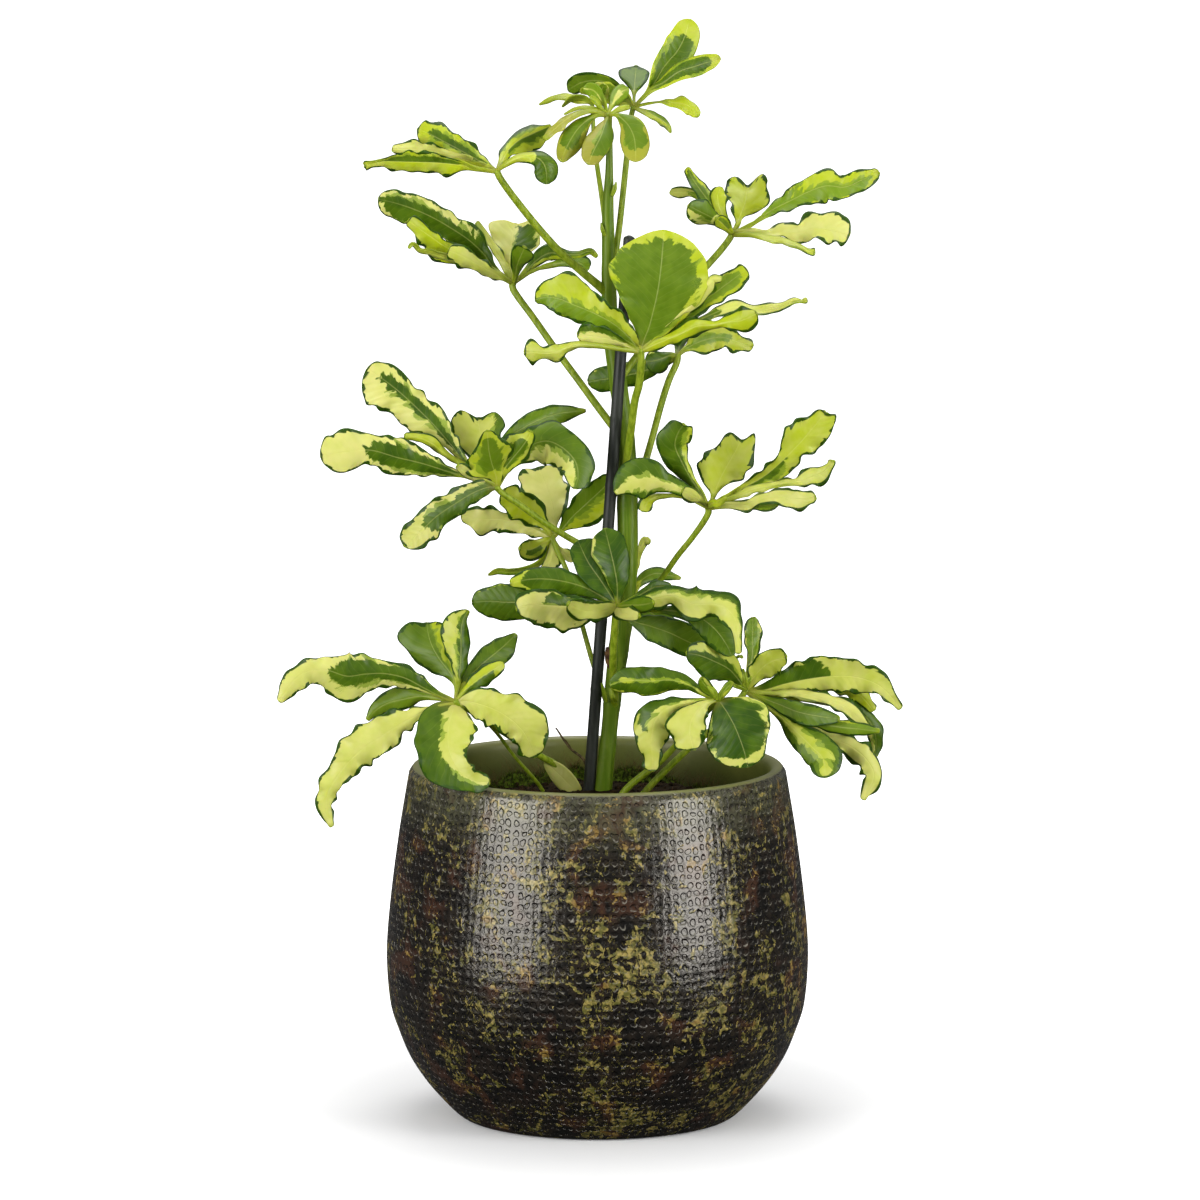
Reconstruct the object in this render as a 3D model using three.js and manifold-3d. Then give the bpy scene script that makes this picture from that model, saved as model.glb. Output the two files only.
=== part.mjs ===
import * as THREE from 'three';
import { mergeVertices } from 'three/addons/utils/BufferGeometryUtils.js';
import Module from 'manifold-3d';

const wasm = await Module();
wasm.setup();

// Front view grid: u to the right, v down, in steps of about 2/3 mm
const EYE = { distance: 5000, tilt: (8 * Math.PI) / 180, height: 348.1, shift: 1.7, focus: 7500 };
const GRID_MID = 600;
const STEP = 2 / 3;

const FIT_GAP = 0.3;
const BLADE_THICK = 1.0;
const STALK_THICK = 1.7;

const POT_SIDES = 34;
const TRUNK_SIDES = 9;
const TRUNK_RINGS = 19;
const POT_OUTER = [[88, 0], [93, 1.5], [101, 8.5], [115.4, 24.9], [126.1, 41.3], [133.1, 57.7],
  [138.9, 76], [141.4, 108], [139.1, 139.5], [132.6, 188.5], [126.4, 226.5], [125.4, 232.5],
  [122.8, 236.4], [119.6, 237.4], [116.4, 235.2], [115.4, 231]];
const POT_INNER = [[119.6, 188.5], [128, 139.5], [130.2, 108], [127, 74.1], [114.6, 41.3], [103, 24.9],
  [90, 12], [0, 12]];
const SOIL_BED = [[89.5, 12.3], [114, 41.3], [129.6, 108], [119, 188.5]];
const SOIL_TOP = [[117, 197], [97, 205], [70, 216], [0, 221]];

// Stem paths: u, v, depth away from the viewer in mm, radius in mm
const TRUNK = [[613, 812, 0.5, 7.6], [613.5, 790, 0, 7.6], [614.5, 740, 0, 7.4], [615.3, 712, 0, 7.3],
  [615.6, 703, 0, 8.2], [616, 694, 0, 7.3], [620, 650, 0, 7.2], [625, 600, 0, 7.0], [629, 550, 0, 6.8],
  [629, 500, 0, 6.6], [627, 460, 0, 6.3], [622, 410, 0, 6.0], [616, 370, 0, 5.6], [612, 340, 0, 5.3],
  [609, 290, 0, 4.8], [608.4, 250, 0, 4.2], [608, 215, 0, 3.9], [609.3, 170, 0, 2.6], [609.4, 136, 0, 2.1]];
const STAKE = [[586.5, 840, 1, 3.9], [589, 790, 0, 3.9], [629.5, 235.5, -15, 3.9]];
const TWIG = [[592, 802, 14, 1.0], [585, 762, 22, 0.9], [570, 748, 30, 0.8], [556, 728, 42, 0.6]];

const GREEN = { dark: 0x39590f, leaf: 0x5f7d22, lime: 0x9fae2c, cream: 0xcdca72 };

// Leaves: stem paths like those above, then the leaflets. A leaflet is its depth at half length and
// at the tip, the depth of its two edges, the height of the waves, the roundness of its tip and
// its rows: u, v, then its half widths to the left and to the right of the midrib. Depths are from
// the leaf's hub. A leaflet that grows from another spot ends with that spot.
const LEAVES = {
  leaf_top_right: { tone: 'leaf', hub: [633.5, 108, 24], stems: [[[633.5, 106, 24, 1.6],
    [632, 118, 24, 1.8], [628, 160, 20, 2.0], [621, 225, 11, 2.1], [617, 250, 7, 2.2], [611, 290, 0, 2.4]]],
  blades: [
    [3, 10, -3, 3, 1.2, 0.9, [[634, 107, 1.3, 1.3], [643, 98, 1.5, 1.5], [649.5, 90, 2.5, 2.5],
      [656, 80, 6.5, 6.3], [664.5, 66, 11, 11], [678, 50, 15.5, 15.5], [685, 36, 14, 14.5], [690, 19, 8, 8]]],
    [-7, -20, 6, -5, 1.2, 0.9, [[634, 107, 1.3, 1.3], [650, 91, 2, 2], [664, 82.5, 4.6, 4.6],
      [680, 71.5, 8, 8], [697, 66, 9.3, 9.3], [711, 61, 7, 7], [720, 57, 3, 3]]],
    [17, 44, 3, 3, 0.8, 0.5, [[634, 107, 1.4, 1.4], [634, 93, 1.6, 1.8], [634.5, 86, 7, 7.5],
      [635, 79, 15, 12.5], [635.5, 72, 16, 13], [636, 66.5, 10, 12.5]]],
    [-10, -27, 7, -6, 0.8, 0.9, [[634, 107, 1.2, 1.2], [648, 103.5, 1, 1], [661, 102, 1, 1],
      [672, 102.7, 4, 4], [684, 104.5, 6.6, 6.6], [693, 109, 6, 6], [698.5, 116.5, 3.5, 3.5]]],
    [-17, -41, 8, -8, 1, 0.9, [[634, 108, 1.2, 1.2], [645, 112, 2.2, 2.2], [655, 116.5, 4, 4],
      [663, 121.5, 4, 4], [668, 127, 2.5, 2.5], [671, 133, 0.7, 0.7]]],
    [28, 51, 6, -6, 1.2, 0.9, [[633, 106, 1.3, 1.3], [624, 95, 3, 3], [612, 85, 6, 5.5],
      [597, 80.5, 7, 6], [581, 81.5, 7.5, 7], [569, 88, 4.5, 4.5]]],
    [18, 34, 5, -5, 0.8, 0.9, [[633, 107, 1.3, 1.3], [625, 100, 5, 6], [610, 94, 10, 10],
      [595, 90, 6, 6], [580, 91, 2, 2]]],
  ] },
  leaf_top_front: { tone: 'leaf', hub: [608, 115.5, -4], stems: [[[609.4, 134.8, 0, 2.1],
    [608.6, 124, -2, 2.1], [608, 115.5, -4, 2.4]]],
  blades: [
    [-21, -33, 3, 3, 1, 0.9, [[608, 115.5, 1.3, 1.3], [616, 115, 1.5, 1.5], [622, 118.5, 5, 4.5],
      [629, 126, 12, 9.5], [634, 137, 14, 14], [635.5, 149, 13, 13], [635.5, 162, 8, 8]]],
    [-24, -39, 3, 3, 1, 0.9, [[608, 116, 1.3, 1.3], [606.5, 120, 3, 2], [604, 127, 9, 6],
      [600, 138, 13, 11], [594, 150, 12, 12], [588, 164.5, 7, 7]]],
    [-18, -30, 4, 4, 1, 0.9, [[608, 116, 1.3, 1.3], [597, 115.5, 1.5, 1.5], [589, 119, 4, 3.5],
      [579, 127.5, 10, 7.5], [571, 139, 13, 10.5], [565, 151, 10, 8.5], [561, 162, 3, 3]]],
    [-12, -21, -8, 8, 1, 0.9, [[608, 116, 1.3, 1.3], [598, 112, 1.2, 1.2], [588, 111.5, 1.6, 1.6],
      [577, 114.5, 2.5, 2.5], [565, 121, 4, 4], [555, 129, 4.6, 4.6], [544, 139.5, 1.6, 1.6]]],
    [6, 15, -6, 6, 0.6, 0.9, [[608, 115, 1.2, 1.2], [597, 109, 1.2, 1.2], [585, 107.5, 1.2, 1.5],
      [574, 109.5, 1.3, 1.3], [564, 114.5, 0.7, 0.7]]],
  ] },
  leaf_top_back: { tone: 'lime', hub: [592, 104, 22], stems: [[[592, 102, 22, 1.3],
    [592.5, 118, 21, 1.4], [593, 140, 19, 1.5], [595, 165, 16, 1.6], [600, 195, 9, 1.7], [606.5, 232, 0, 1.8]]],
  blades: [
    [10, 17, -5, 5, 1, 0.9, [[592, 104, 1.2, 1.2], [589, 102, 2, 2], [580, 99.5, 3.6, 3.6],
      [568, 97, 3, 3], [557, 97.5, 2, 2], [549, 100, 2.2, 2.2], [539, 105, 0.8, 0.8]]],
    [2, -2, 6, -6, 0.6, 0.9, [[592, 104, 1.5, 1.5], [584, 98.5, 2.5, 2.5], [572, 98.5, 2.2, 2.2],
      [562, 107, 0.8, 0.8]]],
    [-2, -4, 3, 3, 1, 0.6, [[592, 104, 1.5, 1.5], [596, 98, 6, 5], [601, 91, 9, 8], [605, 84, 6, 6]]],
  ] },
  leaf_upper_left: { tone: 'lime', hub: [497, 172, -42], stems: [[[496.5, 170, -42, 1.9], [500, 178, -41, 2.3],
    [515, 199, -34, 2.4], [540, 230, -23, 2.5], [560, 252, -15, 2.6], [580, 270, -8, 2.7],
    [609, 294, 0, 3]]],
  blades: [
    [-7, -18, 8, -4, 2.2, 0.3, [[497, 172, 1.6, 1.6], [478, 169, 1.8, 1.8], [464, 165.5, 5, 3],
      [452, 164, 12, 6], [438, 162.5, 11, 8], [420, 162, 8, 10], [400, 161.5, 10, 9], [384, 161, 6.5, 3],
      [372, 163, 3.5, 2], [364, 165, 5, 4]]],
    [18, 43, 4, 4, 2, 0.6, [[497, 171, 1.6, 1.6], [489, 167, 2.2, 3], [476, 159, 8, 8],
      [460, 150, 13, 13], [443, 141, 16, 13], [430, 134, 15, 13], [418, 129, 9, 9]]],
    [22, 40, 8, -2, 2, 0.6, [[497, 171, 1.4, 1.4], [470, 160, 3, 3], [440, 152, 5, 5],
      [415, 149, 5, 8], [400, 149, 4, 6], [392, 149, 3, 4]]],
    [32, 61, 5, 5, 1.6, 0.9, [[497, 171, 1.6, 1.6], [500.5, 164, 2.5, 2.5], [507, 152, 6.5, 6],
      [518, 141, 8, 9], [532, 133, 7, 11], [541, 130, 4, 9], [551, 126, 1.5, 1.5]]],
    [-14, -14, 9, 3, 1.6, 0.9, [[497, 171, 1.5, 1.5], [505, 164.5, 1.5, 2.5], [516, 158.5, 3, 4],
      [529, 156, 4, 5.5], [540, 159.5, 7, 7], [546, 168, 11, 10], [546.5, 183, 6, 6]]],
  ] },
  leaf_mid_left: { tone: 'leaf', hub: [513, 284, 30], stems: [[[512, 282, 30, 2], [514.5, 289, 29, 2.3],
    [535, 315, 23, 2.3], [560, 350, 16, 2.4], [580, 377, 10, 2.4], [600, 405, 5, 2.5], [623, 437, 0, 2.6]]],
  blades: [
    [-3, -10, 5, 2, 2, 0.8, [[513, 284, 1.8, 1.8], [500, 274, 2, 2], [490, 263, 4, 4], [483, 253, 7.5, 8],
      [469, 240, 12, 14], [451, 228, 13, 12.5], [432, 216, 13.5, 16], [411, 208, 14, 13],
      [393, 202, 13, 12], [380, 198, 6, 7]]],
    [-16, -29, 7, 3, 2.4, 0.6, [[513, 284, 1.6, 1.6], [498, 273, 2, 2], [480, 264, 3, 3],
      [462, 256, 8, 8], [446, 247, 13, 6], [430, 236, 10, 6], [416, 226, 8, 8], [408, 220, 5, 6]]],
    [-19, -26, 8, 3, 2, 0.8, [[513, 284, 1.6, 1.6], [502, 277, 3, 2], [490, 271, 8, 5],
      [475, 263, 8, 7], [460, 255, 10, 9], [448, 250, 6, 5]]],
    [-16, -35, 5, -3, 1, 0.9, [[513, 284, 1.4, 1.4], [495, 274, 2, 2], [470, 264, 3, 3], [446, 257, 3, 3],
      [432, 252.5, 3, 2.5], [420, 249.5, 2.5, 2], [413, 244.5, 2, 2], [408, 248, 1.5, 1.5]]],
    [16, 29, -6, 6, 1, 0.9, [[513, 284, 1.4, 1.4], [506, 268, 3, 3], [495, 250, 4, 5],
      [484, 233, 2.5, 3], [476, 222, 1.5, 2]]],
    [22, 45, 3, 3, 2, 0.4, [[513, 284, 1.8, 1.8], [512, 269, 3, 4], [511, 256, 8, 12],
      [512, 243, 17, 27], [514, 230, 25, 26], [515, 218, 22, 17]]],
    [-13, -26, -4, 4, 1, 0.4, [[513, 284, 1.6, 1.6], [515, 275, 2, 3], [517, 265, 6, 6],
      [521, 255, 9.5, 11], [525, 247, 10, 11]]],
    [14, 22, 3, 4, 1.2, 0.9, [[513, 284, 1.6, 1.6], [527, 270, 2.5, 2.5], [537, 260, 6, 5],
      [549, 253, 8, 8], [562, 254, 5, 7], [578, 254.5, 3, 4], [590, 251, 3, 3], [597.5, 257, 1.5, 1.5]]],
    [12, 24, 2, 1, 1, 0.9, [[513, 284, 1.5, 1.5], [535, 270, 1.5, 1.5], [556, 264, 3, 3],
      [570, 262, 5, 5], [582, 264, 8, 7], [588, 270, 5, 5]]],
  ] },
  leaf_center: { tone: 'leaf', hub: [640.5, 351, -46], stems: [[[641, 348, -46, 2.1], [640, 365, -43, 2.5],
    [638, 385, -36, 2.6], [634.8, 400, -30, 2.6], [630, 430, -19, 2.6], [626, 458, -10, 2.7],
    [623, 484, 1, 2.8]]],
  blades: [
    [-9, -4, 3, 3, 1.4, 0.9, [[640.5, 351, 2, 2], [644, 340, 5, 7], [649, 327, 15, 18],
      [653, 312, 29, 28], [657, 295, 42, 41], [660, 276, 51, 47.5], [662, 257, 45, 40], [664, 231, 26, 27]]],
    [-3, 6, 4, -3, 2.4, 0.6, [[640.5, 351, 1.8, 1.8], [630, 338, 5, 4], [614, 324, 10, 11],
      [596, 314, 13, 13], [577, 306, 15, 19], [560, 299, 16, 25], [547, 297, 9, 14], [535, 299, 4, 4]]],
    [-10, -16, 6, -4, 1.4, 0.8, [[640.5, 351, 1.8, 1.8], [626, 344, 4, 3], [608, 338.5, 7, 8],
      [591, 336, 8, 9.5], [577, 337, 6, 7]]],
    [-19, -38, 8, 3, 1.6, 0.9, [[640.5, 352, 1.6, 1.6], [605, 346.5, 2, 2], [580, 345, 2.5, 3],
      [566, 348, 7, 5], [555, 352, 10, 9], [544, 353, 6, 4], [535, 352, 8, 8], [527, 352, 7, 8]]],
    [3, 10, 4, -4, 1.4, 0.7, [[640.5, 351, 1.8, 1.8], [655, 339, 5, 4], [672, 325, 7.5, 7],
      [692, 309, 8, 9], [712, 294, 9, 10], [729, 281, 9.5, 11], [743, 271, 6.5, 6]]],
    [-6, -6, 4, 7, 1.6, 0.9, [[640.5, 351, 1.5, 1.5], [662, 329, 3, 3], [684, 311, 4, 4],
      [698, 299, 4, 7], [706, 289, 4, 7], [712, 279, 3, 6], [722, 278, 2.5, 3]]],
    [-16, -32, 6, 5, 2.4, 0.8, [[640.5, 351, 1.8, 1.8], [660, 341, 3.5, 3], [680, 333, 5, 5],
      [697, 326, 8.5, 7], [714, 325, 3.5, 3.5], [728, 322, 7, 6.5], [742, 319, 10, 12], [756, 311, 6, 6]]],
    [-3, -10, 6, -6, 2.2, 0.9, [[640.5, 350, 1.5, 1.5], [680, 330, 3, 3], [706, 318, 3, 3],
      [720, 311, 5, 5], [736, 307, 7, 5], [752, 310, 5, 4], [768, 309, 5.5, 5], [784, 305, 3, 4],
      [795, 301.5, 4, 2], [802, 301, 1, 1.5], [807.5, 300, 4.5, 4.5]]],
  ] },
  leaf_center_back: { tone: 'leaf', hub: [677.5, 356, 40], stems: [[[678, 354, 40, 1.9],
    [675, 362, 39, 2.2], [668, 380, 34, 2.3], [660, 405, 26, 2.3], [652, 435, 17, 2.3], [646, 460, 11, 2.4],
    [640, 480, 5, 2.5], [628, 504, 1, 2.6]]],
  blades: [
    [11, 20, 4, -4, 2, 0.8, [[677.5, 356, 1.8, 1.8], [686, 349, 3, 2.5], [697, 343, 10, 12],
      [711, 338.5, 11, 11], [725, 338, 11, 10], [737, 341, 6, 8], [752, 347, 3.5, 3.5]]],
    [25, 62, -4, 6, 1.4, 0.8, [[677.5, 356, 1.6, 1.6], [679, 346, 4, 4], [683, 336, 6, 6],
      [690, 325, 4, 4]]],
    [-4, -8, 4, 4, 1.4, 0.7, [[677.5, 356, 1.8, 1.8], [670, 355.5, 3, 3], [661, 359, 12, 8],
      [652, 361, 12, 9], [645, 362, 6, 5]]],
    [6, 14, 4, 4, 1.4, 0.6, [[677.5, 357, 1.6, 1.6], [658, 366, 5, 5], [636, 373, 11, 12],
      [612, 378, 12, 13], [598, 380, 11, 11], [588, 382, 5, 5]]],
  ] },
  leaf_upper_right: { tone: 'lime', hub: [732, 234, 26], stems: [[[733, 231, 26, 1.9], [729, 238, 26, 2.2],
    [720, 249, 25, 2.3], [708, 262, 23, 2.3], [690, 285, 20, 2.3], [665, 318, 15, 2.4], [640, 352, 8, 2.5],
    [614, 386, 1, 2.6]]],
  blades: [
    [-3, -14, 3, -5, 2, 0.9, [[732, 234, 1.8, 1.8], [747, 227, 1.8, 1.8], [761, 218, 2, 2],
      [773, 209.5, 5, 5], [790, 201, 9.5, 8.5], [808, 192, 13.5, 13], [826, 186, 16, 15],
      [845, 187, 10.5, 11], [862, 180, 11, 10.5], [879, 171.5, 4, 4]]],
    [-20, -37, 4, -3, 2.4, 0.7, [[732, 234, 1.8, 1.8], [748, 232, 3.5, 3], [768, 233, 3, 3],
      [784, 232, 6, 5], [799, 232, 10, 12], [815, 225, 14.5, 12], [831, 227, 14, 13], [847, 231, 12, 14]]],
    [-27, -48, 7, -5, 1.8, 0.6, [[732, 235, 1.5, 1.5], [752, 235, 2, 2.5], [768, 238, 3, 3.5],
      [786, 242, 3, 3], [800, 247, 2, 2.5], [809, 251.5, 2.5, 3.5], [815, 253, 4.5, 4]]],
    [17, 41, 3, 3, 2, 0.35, [[732, 234, 2, 2], [737, 225, 2, 2.5], [740, 216, 6.5, 4.5],
      [744, 206, 15, 17], [746.5, 195, 19.5, 21.5], [748, 179, 17, 17]]],
    [14, 31, -4, 6, 1.4, 0.9, [[732, 234, 1.6, 1.6], [724, 221, 2.5, 2.5], [714, 208, 5.5, 8],
      [704, 195, 6, 8], [694, 181, 5, 5], [686.5, 168, 3, 3]]],
    [3, 10, 6, -4, 1.4, 0.9, [[732, 234, 1.6, 1.6], [726, 221, 3, 3], [720, 208, 7, 4],
      [717, 196, 8, 6.5], [720, 187, 3, 3]]],
    [24, 51, 5, -5, 1, 0.9, [[732, 234, 1.5, 1.5], [715, 212, 2, 2], [700, 198, 2.5, 2.5],
      [690, 192.5, 4, 4], [679, 192, 6, 5], [670, 192, 3, 3]]],
    [-17, -27, 4, 4, 1.2, 0.9, [[732, 234, 1.5, 1.5], [722, 224, 2.5, 2.5], [711, 217, 9, 8],
      [701, 212, 14, 12], [688, 205, 9, 9]]],
    [-24, -41, 3, 3, 1, 0.7, [[732, 234, 1.5, 1.5], [728, 229, 4, 4], [722, 223, 7, 7],
      [716, 218, 5, 5]]],
  ] },
  leaf_left: { tone: 'cream', hub: [497, 488, -38], stems: [[[496.5, 485, -38, 2], [499, 490.5, -37, 2],
    [520, 505, -30, 2.1], [545, 523, -20, 2.1], [578, 543, -6, 2.2], [600, 554, 2, 2.3],
    [626, 568, 2, 2.4]]],
  blades: [
    [-6, -16, 4, 2, 2.2, 0.8, [[497, 488, 1.8, 1.8], [478, 480, 2, 2], [461, 475.5, 2, 2.5],
      [445, 470.5, 5.5, 6], [421, 463, 13, 13], [396, 457, 18, 19], [370, 450, 13.5, 16],
      [346, 452, 20, 22], [320, 455.5, 13, 14]]],
    [13, 19, 4, 2, 2.2, 0.8, [[497, 487, 1.8, 1.8], [481, 476, 2, 2], [466, 463.5, 2.5, 3],
      [452, 446, 6, 8], [434, 425, 12, 15], [417, 408, 19, 14.5], [402, 394, 19, 14], [388, 383, 24, 14],
      [370, 371, 15, 12]]],
    [2, -5, 7, 4, 1.6, 0.6, [[497, 487, 1.4, 1.4], [472, 470, 1.8, 1.8], [444, 453, 3, 3],
      [432, 443, 4, 8], [418, 437.5, 4.5, 4], [404, 436, 3.5, 3.5]]],
    [19, 38, 3, 3, 2, 0.35, [[497, 488, 1.8, 1.8], [491, 472, 4, 4], [485, 454, 15, 14],
      [481, 437, 23, 21], [479, 421, 26, 25], [478, 409, 22, 22]]],
    [-19, -35, 4, 6, 1.4, 0.9, [[497, 487, 1.6, 1.6], [496, 474, 4, 4], [490, 463, 21, 10],
      [487, 451, 13, 11], [486, 430, 3, 4]]],
    [-13, -22, 6, 4, 1.4, 0.9, [[497, 487, 1.6, 1.6], [502, 472, 3, 3], [512, 459, 9, 8],
      [521, 448, 8, 9], [527, 431, 5, 3.5]]],
    [30, 50, 2, 4, 1.4, 0.9, [[497, 487, 1.6, 1.6], [498, 462, 2.5, 2.5], [506, 440, 4, 5],
      [521, 427, 9, 9], [541, 417, 10.5, 11], [561, 411.5, 8.5, 9.5], [586, 409.5, 1, 1.2]]],
    [3, -6, 8, 8, 1.4, 0.9, [[497, 487, 1.8, 1.8], [506, 471, 2.5, 2.5], [517, 458, 5, 4],
      [530, 446, 14, 12], [547, 441, 18.5, 20], [563, 448, 18, 19], [574, 461, 16, 15],
      [577, 475, 14, 13], [574, 489, 7, 7]]],
    [-26, -54, 5, -3, 2.2, 0.8, [[497, 487, 2, 2], [488, 488, 7, 6], [471, 495, 9, 10],
      [453, 504, 12, 14], [438, 514, 12, 13], [425, 526, 15, 13], [409, 543, 10, 12]]],
    [-6, -14, 5, -4, 1, 0.8, [[497.3, 486.6, 1.4, 1.6], [478, 479, 3, 3], [467, 473, 5, 6],
      [457, 465, 4, 4]]],
  ] },
  leaf_left_low: { tone: 'lime', hub: [552.6, 538, 46], stems: [[[552, 535, 46, 1.8], [554, 543, 45, 1.8],
    [567.5, 573, 38, 1.7], [583, 628, 25, 1.7], [593, 663, 16, 1.8], [604, 695, 8, 1.9],
    [614, 722, 1, 2.2]]],
  blades: [
    [9, 15, 5, -4, 1.8, 0.9, [[552.6, 538, 1.6, 1.6], [537, 530, 3, 3], [518, 524, 6.5, 6],
      [500, 518, 9, 9], [482, 518, 14, 13], [461, 514, 4, 3]]],
    [-6, -12, 3, -3, 1.8, 0.7, [[552.6, 538, 1.6, 1.6], [546, 528, 3, 4], [536, 517, 6, 12],
      [525, 507, 10, 11], [514, 499, 10, 10], [504, 491, 6, 6]]],
    [18, 39, 3, 3, 1.6, 0.4, [[552.6, 538, 1.8, 1.8], [554, 524, 5, 4], [553, 508, 13, 13],
      [548, 491, 22, 20], [542, 475, 24, 16], [539, 467, 17, 13]]],
    [-8, -20, -3, 5, 1.4, 0.9, [[552.6, 538, 1.8, 1.8], [561, 530, 3, 2.5], [572, 517, 8, 5],
      [587, 503, 11, 9], [601, 490, 11, 11], [613, 477, 5, 5]]],
    [-9, -21, 4, 4, 1.8, 0.7, [[552.6, 538, 1.5, 1.5], [545, 545, 3, 3], [537, 552, 8, 8],
      [529, 553, 9, 9], [519, 548, 6, 6]]],
    [-6, -15, 4, 4, 1.2, 0.6, [[552.6, 539, 1.5, 1.5], [552, 552, 6, 4], [549, 563, 9, 6],
      [543, 574, 6, 6]]],
    [21, 45, 5, -5, 1, 0.9, [[552.6, 539, 1.4, 1.4], [542, 560, 2, 2], [528, 569, 3, 3],
      [510, 571.5, 3.5, 2.5], [498, 571, 3, 2.5], [488, 575, 0.8, 0.8]]],
    [18, 39, 3, 3, 0.8, 0.7, [[552.6, 539, 1.5, 1.5], [560, 550, 3, 3], [567, 556, 6, 5],
      [572, 561, 4, 4]]],
  ] },
  leaf_right: { tone: 'lime', hub: [708, 508, -26], stems: [[[708.5, 505, -26, 2], [705, 514, -25, 2.2],
    [690, 535, -18, 2], [675, 555, -11, 2], [662, 575, -5, 2], [645, 597, 1, 2.1], [622, 624, 1, 2.3]]],
  blades: [
    [-6, -6, 2, 3, 1.6, 0.9, [[708, 508, 1.8, 1.8], [697, 496, 2.5, 2.5], [683, 489, 7, 6],
      [666, 483, 9, 10], [649, 478.5, 18, 19.5], [634, 480, 18.5, 20], [624, 485, 12, 13],
      [615, 493, 2, 2]]],
    [7, -3, 4, 3, 1.2, 0.6, [[708, 508, 1.8, 1.8], [701, 494, 3, 3], [690, 477, 7, 6],
      [680, 460, 14, 9], [674, 445, 18, 14], [676, 431, 15, 14], [685, 420, 9, 8]]],
    [17, 34, 3, 3, 2, 0.5, [[708, 507, 1.8, 1.8], [714, 494, 2.5, 2.5], [718, 482, 13, 7],
      [725, 468, 24, 18], [733, 453, 20, 20], [742, 438, 14, 13]]],
    [-3, -10, -4, 4, 2, 0.9, [[708, 507, 1.8, 1.8], [727, 497, 2.5, 2.5], [745, 487, 4, 5],
      [762, 474, 6.5, 11], [779, 460, 9, 14], [795, 445, 16, 9.5], [811, 432, 18, 16],
      [822, 422, 13, 11], [832, 416, 5, 4]]],
    [-17, -34, 6, -5, 2, 0.9, [[708, 507, 1.6, 1.6], [730, 499, 2, 2], [755, 489, 4, 4],
      [780, 487, 4, 3], [797, 484, 4, 5], [810, 477, 11, 9], [820, 473, 8, 9], [828, 467, 3, 3],
      [832, 460, 4, 4]]],
    [-31, -54, 4, -4, 2.2, 0.9, [[708, 508, 1.8, 1.8], [727, 505.5, 3, 3], [745, 505, 5, 6.5],
      [760, 499, 4.5, 5], [776, 496, 6, 7], [792, 499, 11, 11.5], [804, 499, 9, 9],
      [816, 497, 4.5, 4.5]]],
    [-14, -31, 6, -4, 1, 0.9, [[708, 508, 1.6, 1.6], [735, 504, 3, 3], [755, 505, 5, 5],
      [770, 505, 4, 5], [779, 503, 2, 2]]],
    [-24, -37, 3, 3, 0.8, 0.9, [[708, 508, 1.5, 1.5], [700, 500, 2.5, 2.5], [692, 495, 7, 7],
      [682, 490, 7, 7]]],
    [-24, -34, 3, -3, 0.8, 0.9, [[708, 508, 1.6, 1.6], [712, 503, 4, 4], [718, 503, 4, 3],
      [727, 497, 1.8, 1.8]]],
    [2, 4, 4, 3, 1, 0.7, [[708, 508, 1.4, 1.4], [685, 497, 1.5, 1.5], [662, 497, 3, 3],
      [650, 503, 6, 5], [642, 509, 6, 6], [636, 518, 3, 3]]],
  ] },
  leaf_front: { tone: 'dark', hub: [617, 606, -44], stems: [[[617, 603, -44, 2.2], [617, 612, -43, 2.5],
    [616.5, 640, -32, 2.6], [615.5, 672, -18, 2.6], [615, 694, -6, 2.8], [615, 712, 1, 3]]],
  blades: [
    [-3, 12, 4, 4, 1, 0.8, [[617, 606, 1.8, 1.8], [617.5, 596, 3, 4], [617, 583, 8.5, 10],
      [614, 566, 13, 15], [610, 549, 18, 17], [605, 529, 12, 12]]],
    [3, 18, -2, 4, 1, 0.6, [[617, 606, 1.8, 1.8], [609, 593, 5, 3], [599, 578, 13, 6.5],
      [588, 562, 14, 10], [577, 541, 9, 10]]],
    [15, 27, 6, 4, 1.4, 0.8, [[617, 606, 1.6, 1.6], [590, 603, 4, 4], [560, 601, 10, 9],
      [532, 602, 16, 14], [505, 602, 18, 18], [488, 601, 15, 14], [472, 602, 8, 8]]],
    [3, 3, 2, 5, 1.4, 0.8, [[617, 606, 1.6, 1.6], [601, 596, 4, 4], [581, 586, 10, 8],
      [556, 580, 14, 12], [532, 579, 12, 10], [510, 583, 4, 4]]],
    [-15, -33, 6, 3, 2, 0.7, [[617, 606, 1.8, 1.8], [602, 607, 5, 4], [583, 607, 20, 8],
      [563, 606, 25, 12], [543, 605, 18, 17], [529, 605, 17, 14], [517, 609, 9, 8]]],
    [-24, -51, 4, -3, 1.6, 0.7, [[617, 606, 2, 2], [606, 606, 7, 6], [594, 609, 8, 8],
      [582, 609, 9, 8], [569, 603, 5, 5]]],
    [-18, -39, 3, 3, 1.2, 0.8, [[617, 606, 2, 2], [624, 611, 6, 5], [632, 614, 6, 5],
      [641, 615, 3, 3]]],
    [-21, -39, 6, 2, 2.2, 0.9, [[617, 606, 1.8, 1.8], [636, 602, 4, 4], [655, 599, 9, 10],
      [674, 596, 9, 9], [693, 604, 18, 18], [712, 604, 12, 11], [727, 609, 14, 14], [737, 624, 5, 11],
      [738, 640, 4, 4], [738, 654, 3, 3]]],
    [6, 12, 3, -3, 1.2, 0.9, [[617, 607, 1.8, 1.8], [631, 620, 3, 3], [650, 626, 9.5, 9],
      [670, 634, 12, 11], [689, 644, 11, 11], [708, 651, 6, 6]]],
    [-6, -3, 4, -2, 1.2, 0.9, [[617, 607, 1.5, 1.5], [660, 612, 3, 3], [695, 618, 6, 7],
      [712, 625, 9, 9], [724, 638, 10, 8], [733, 653, 5, 4]]],
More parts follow.
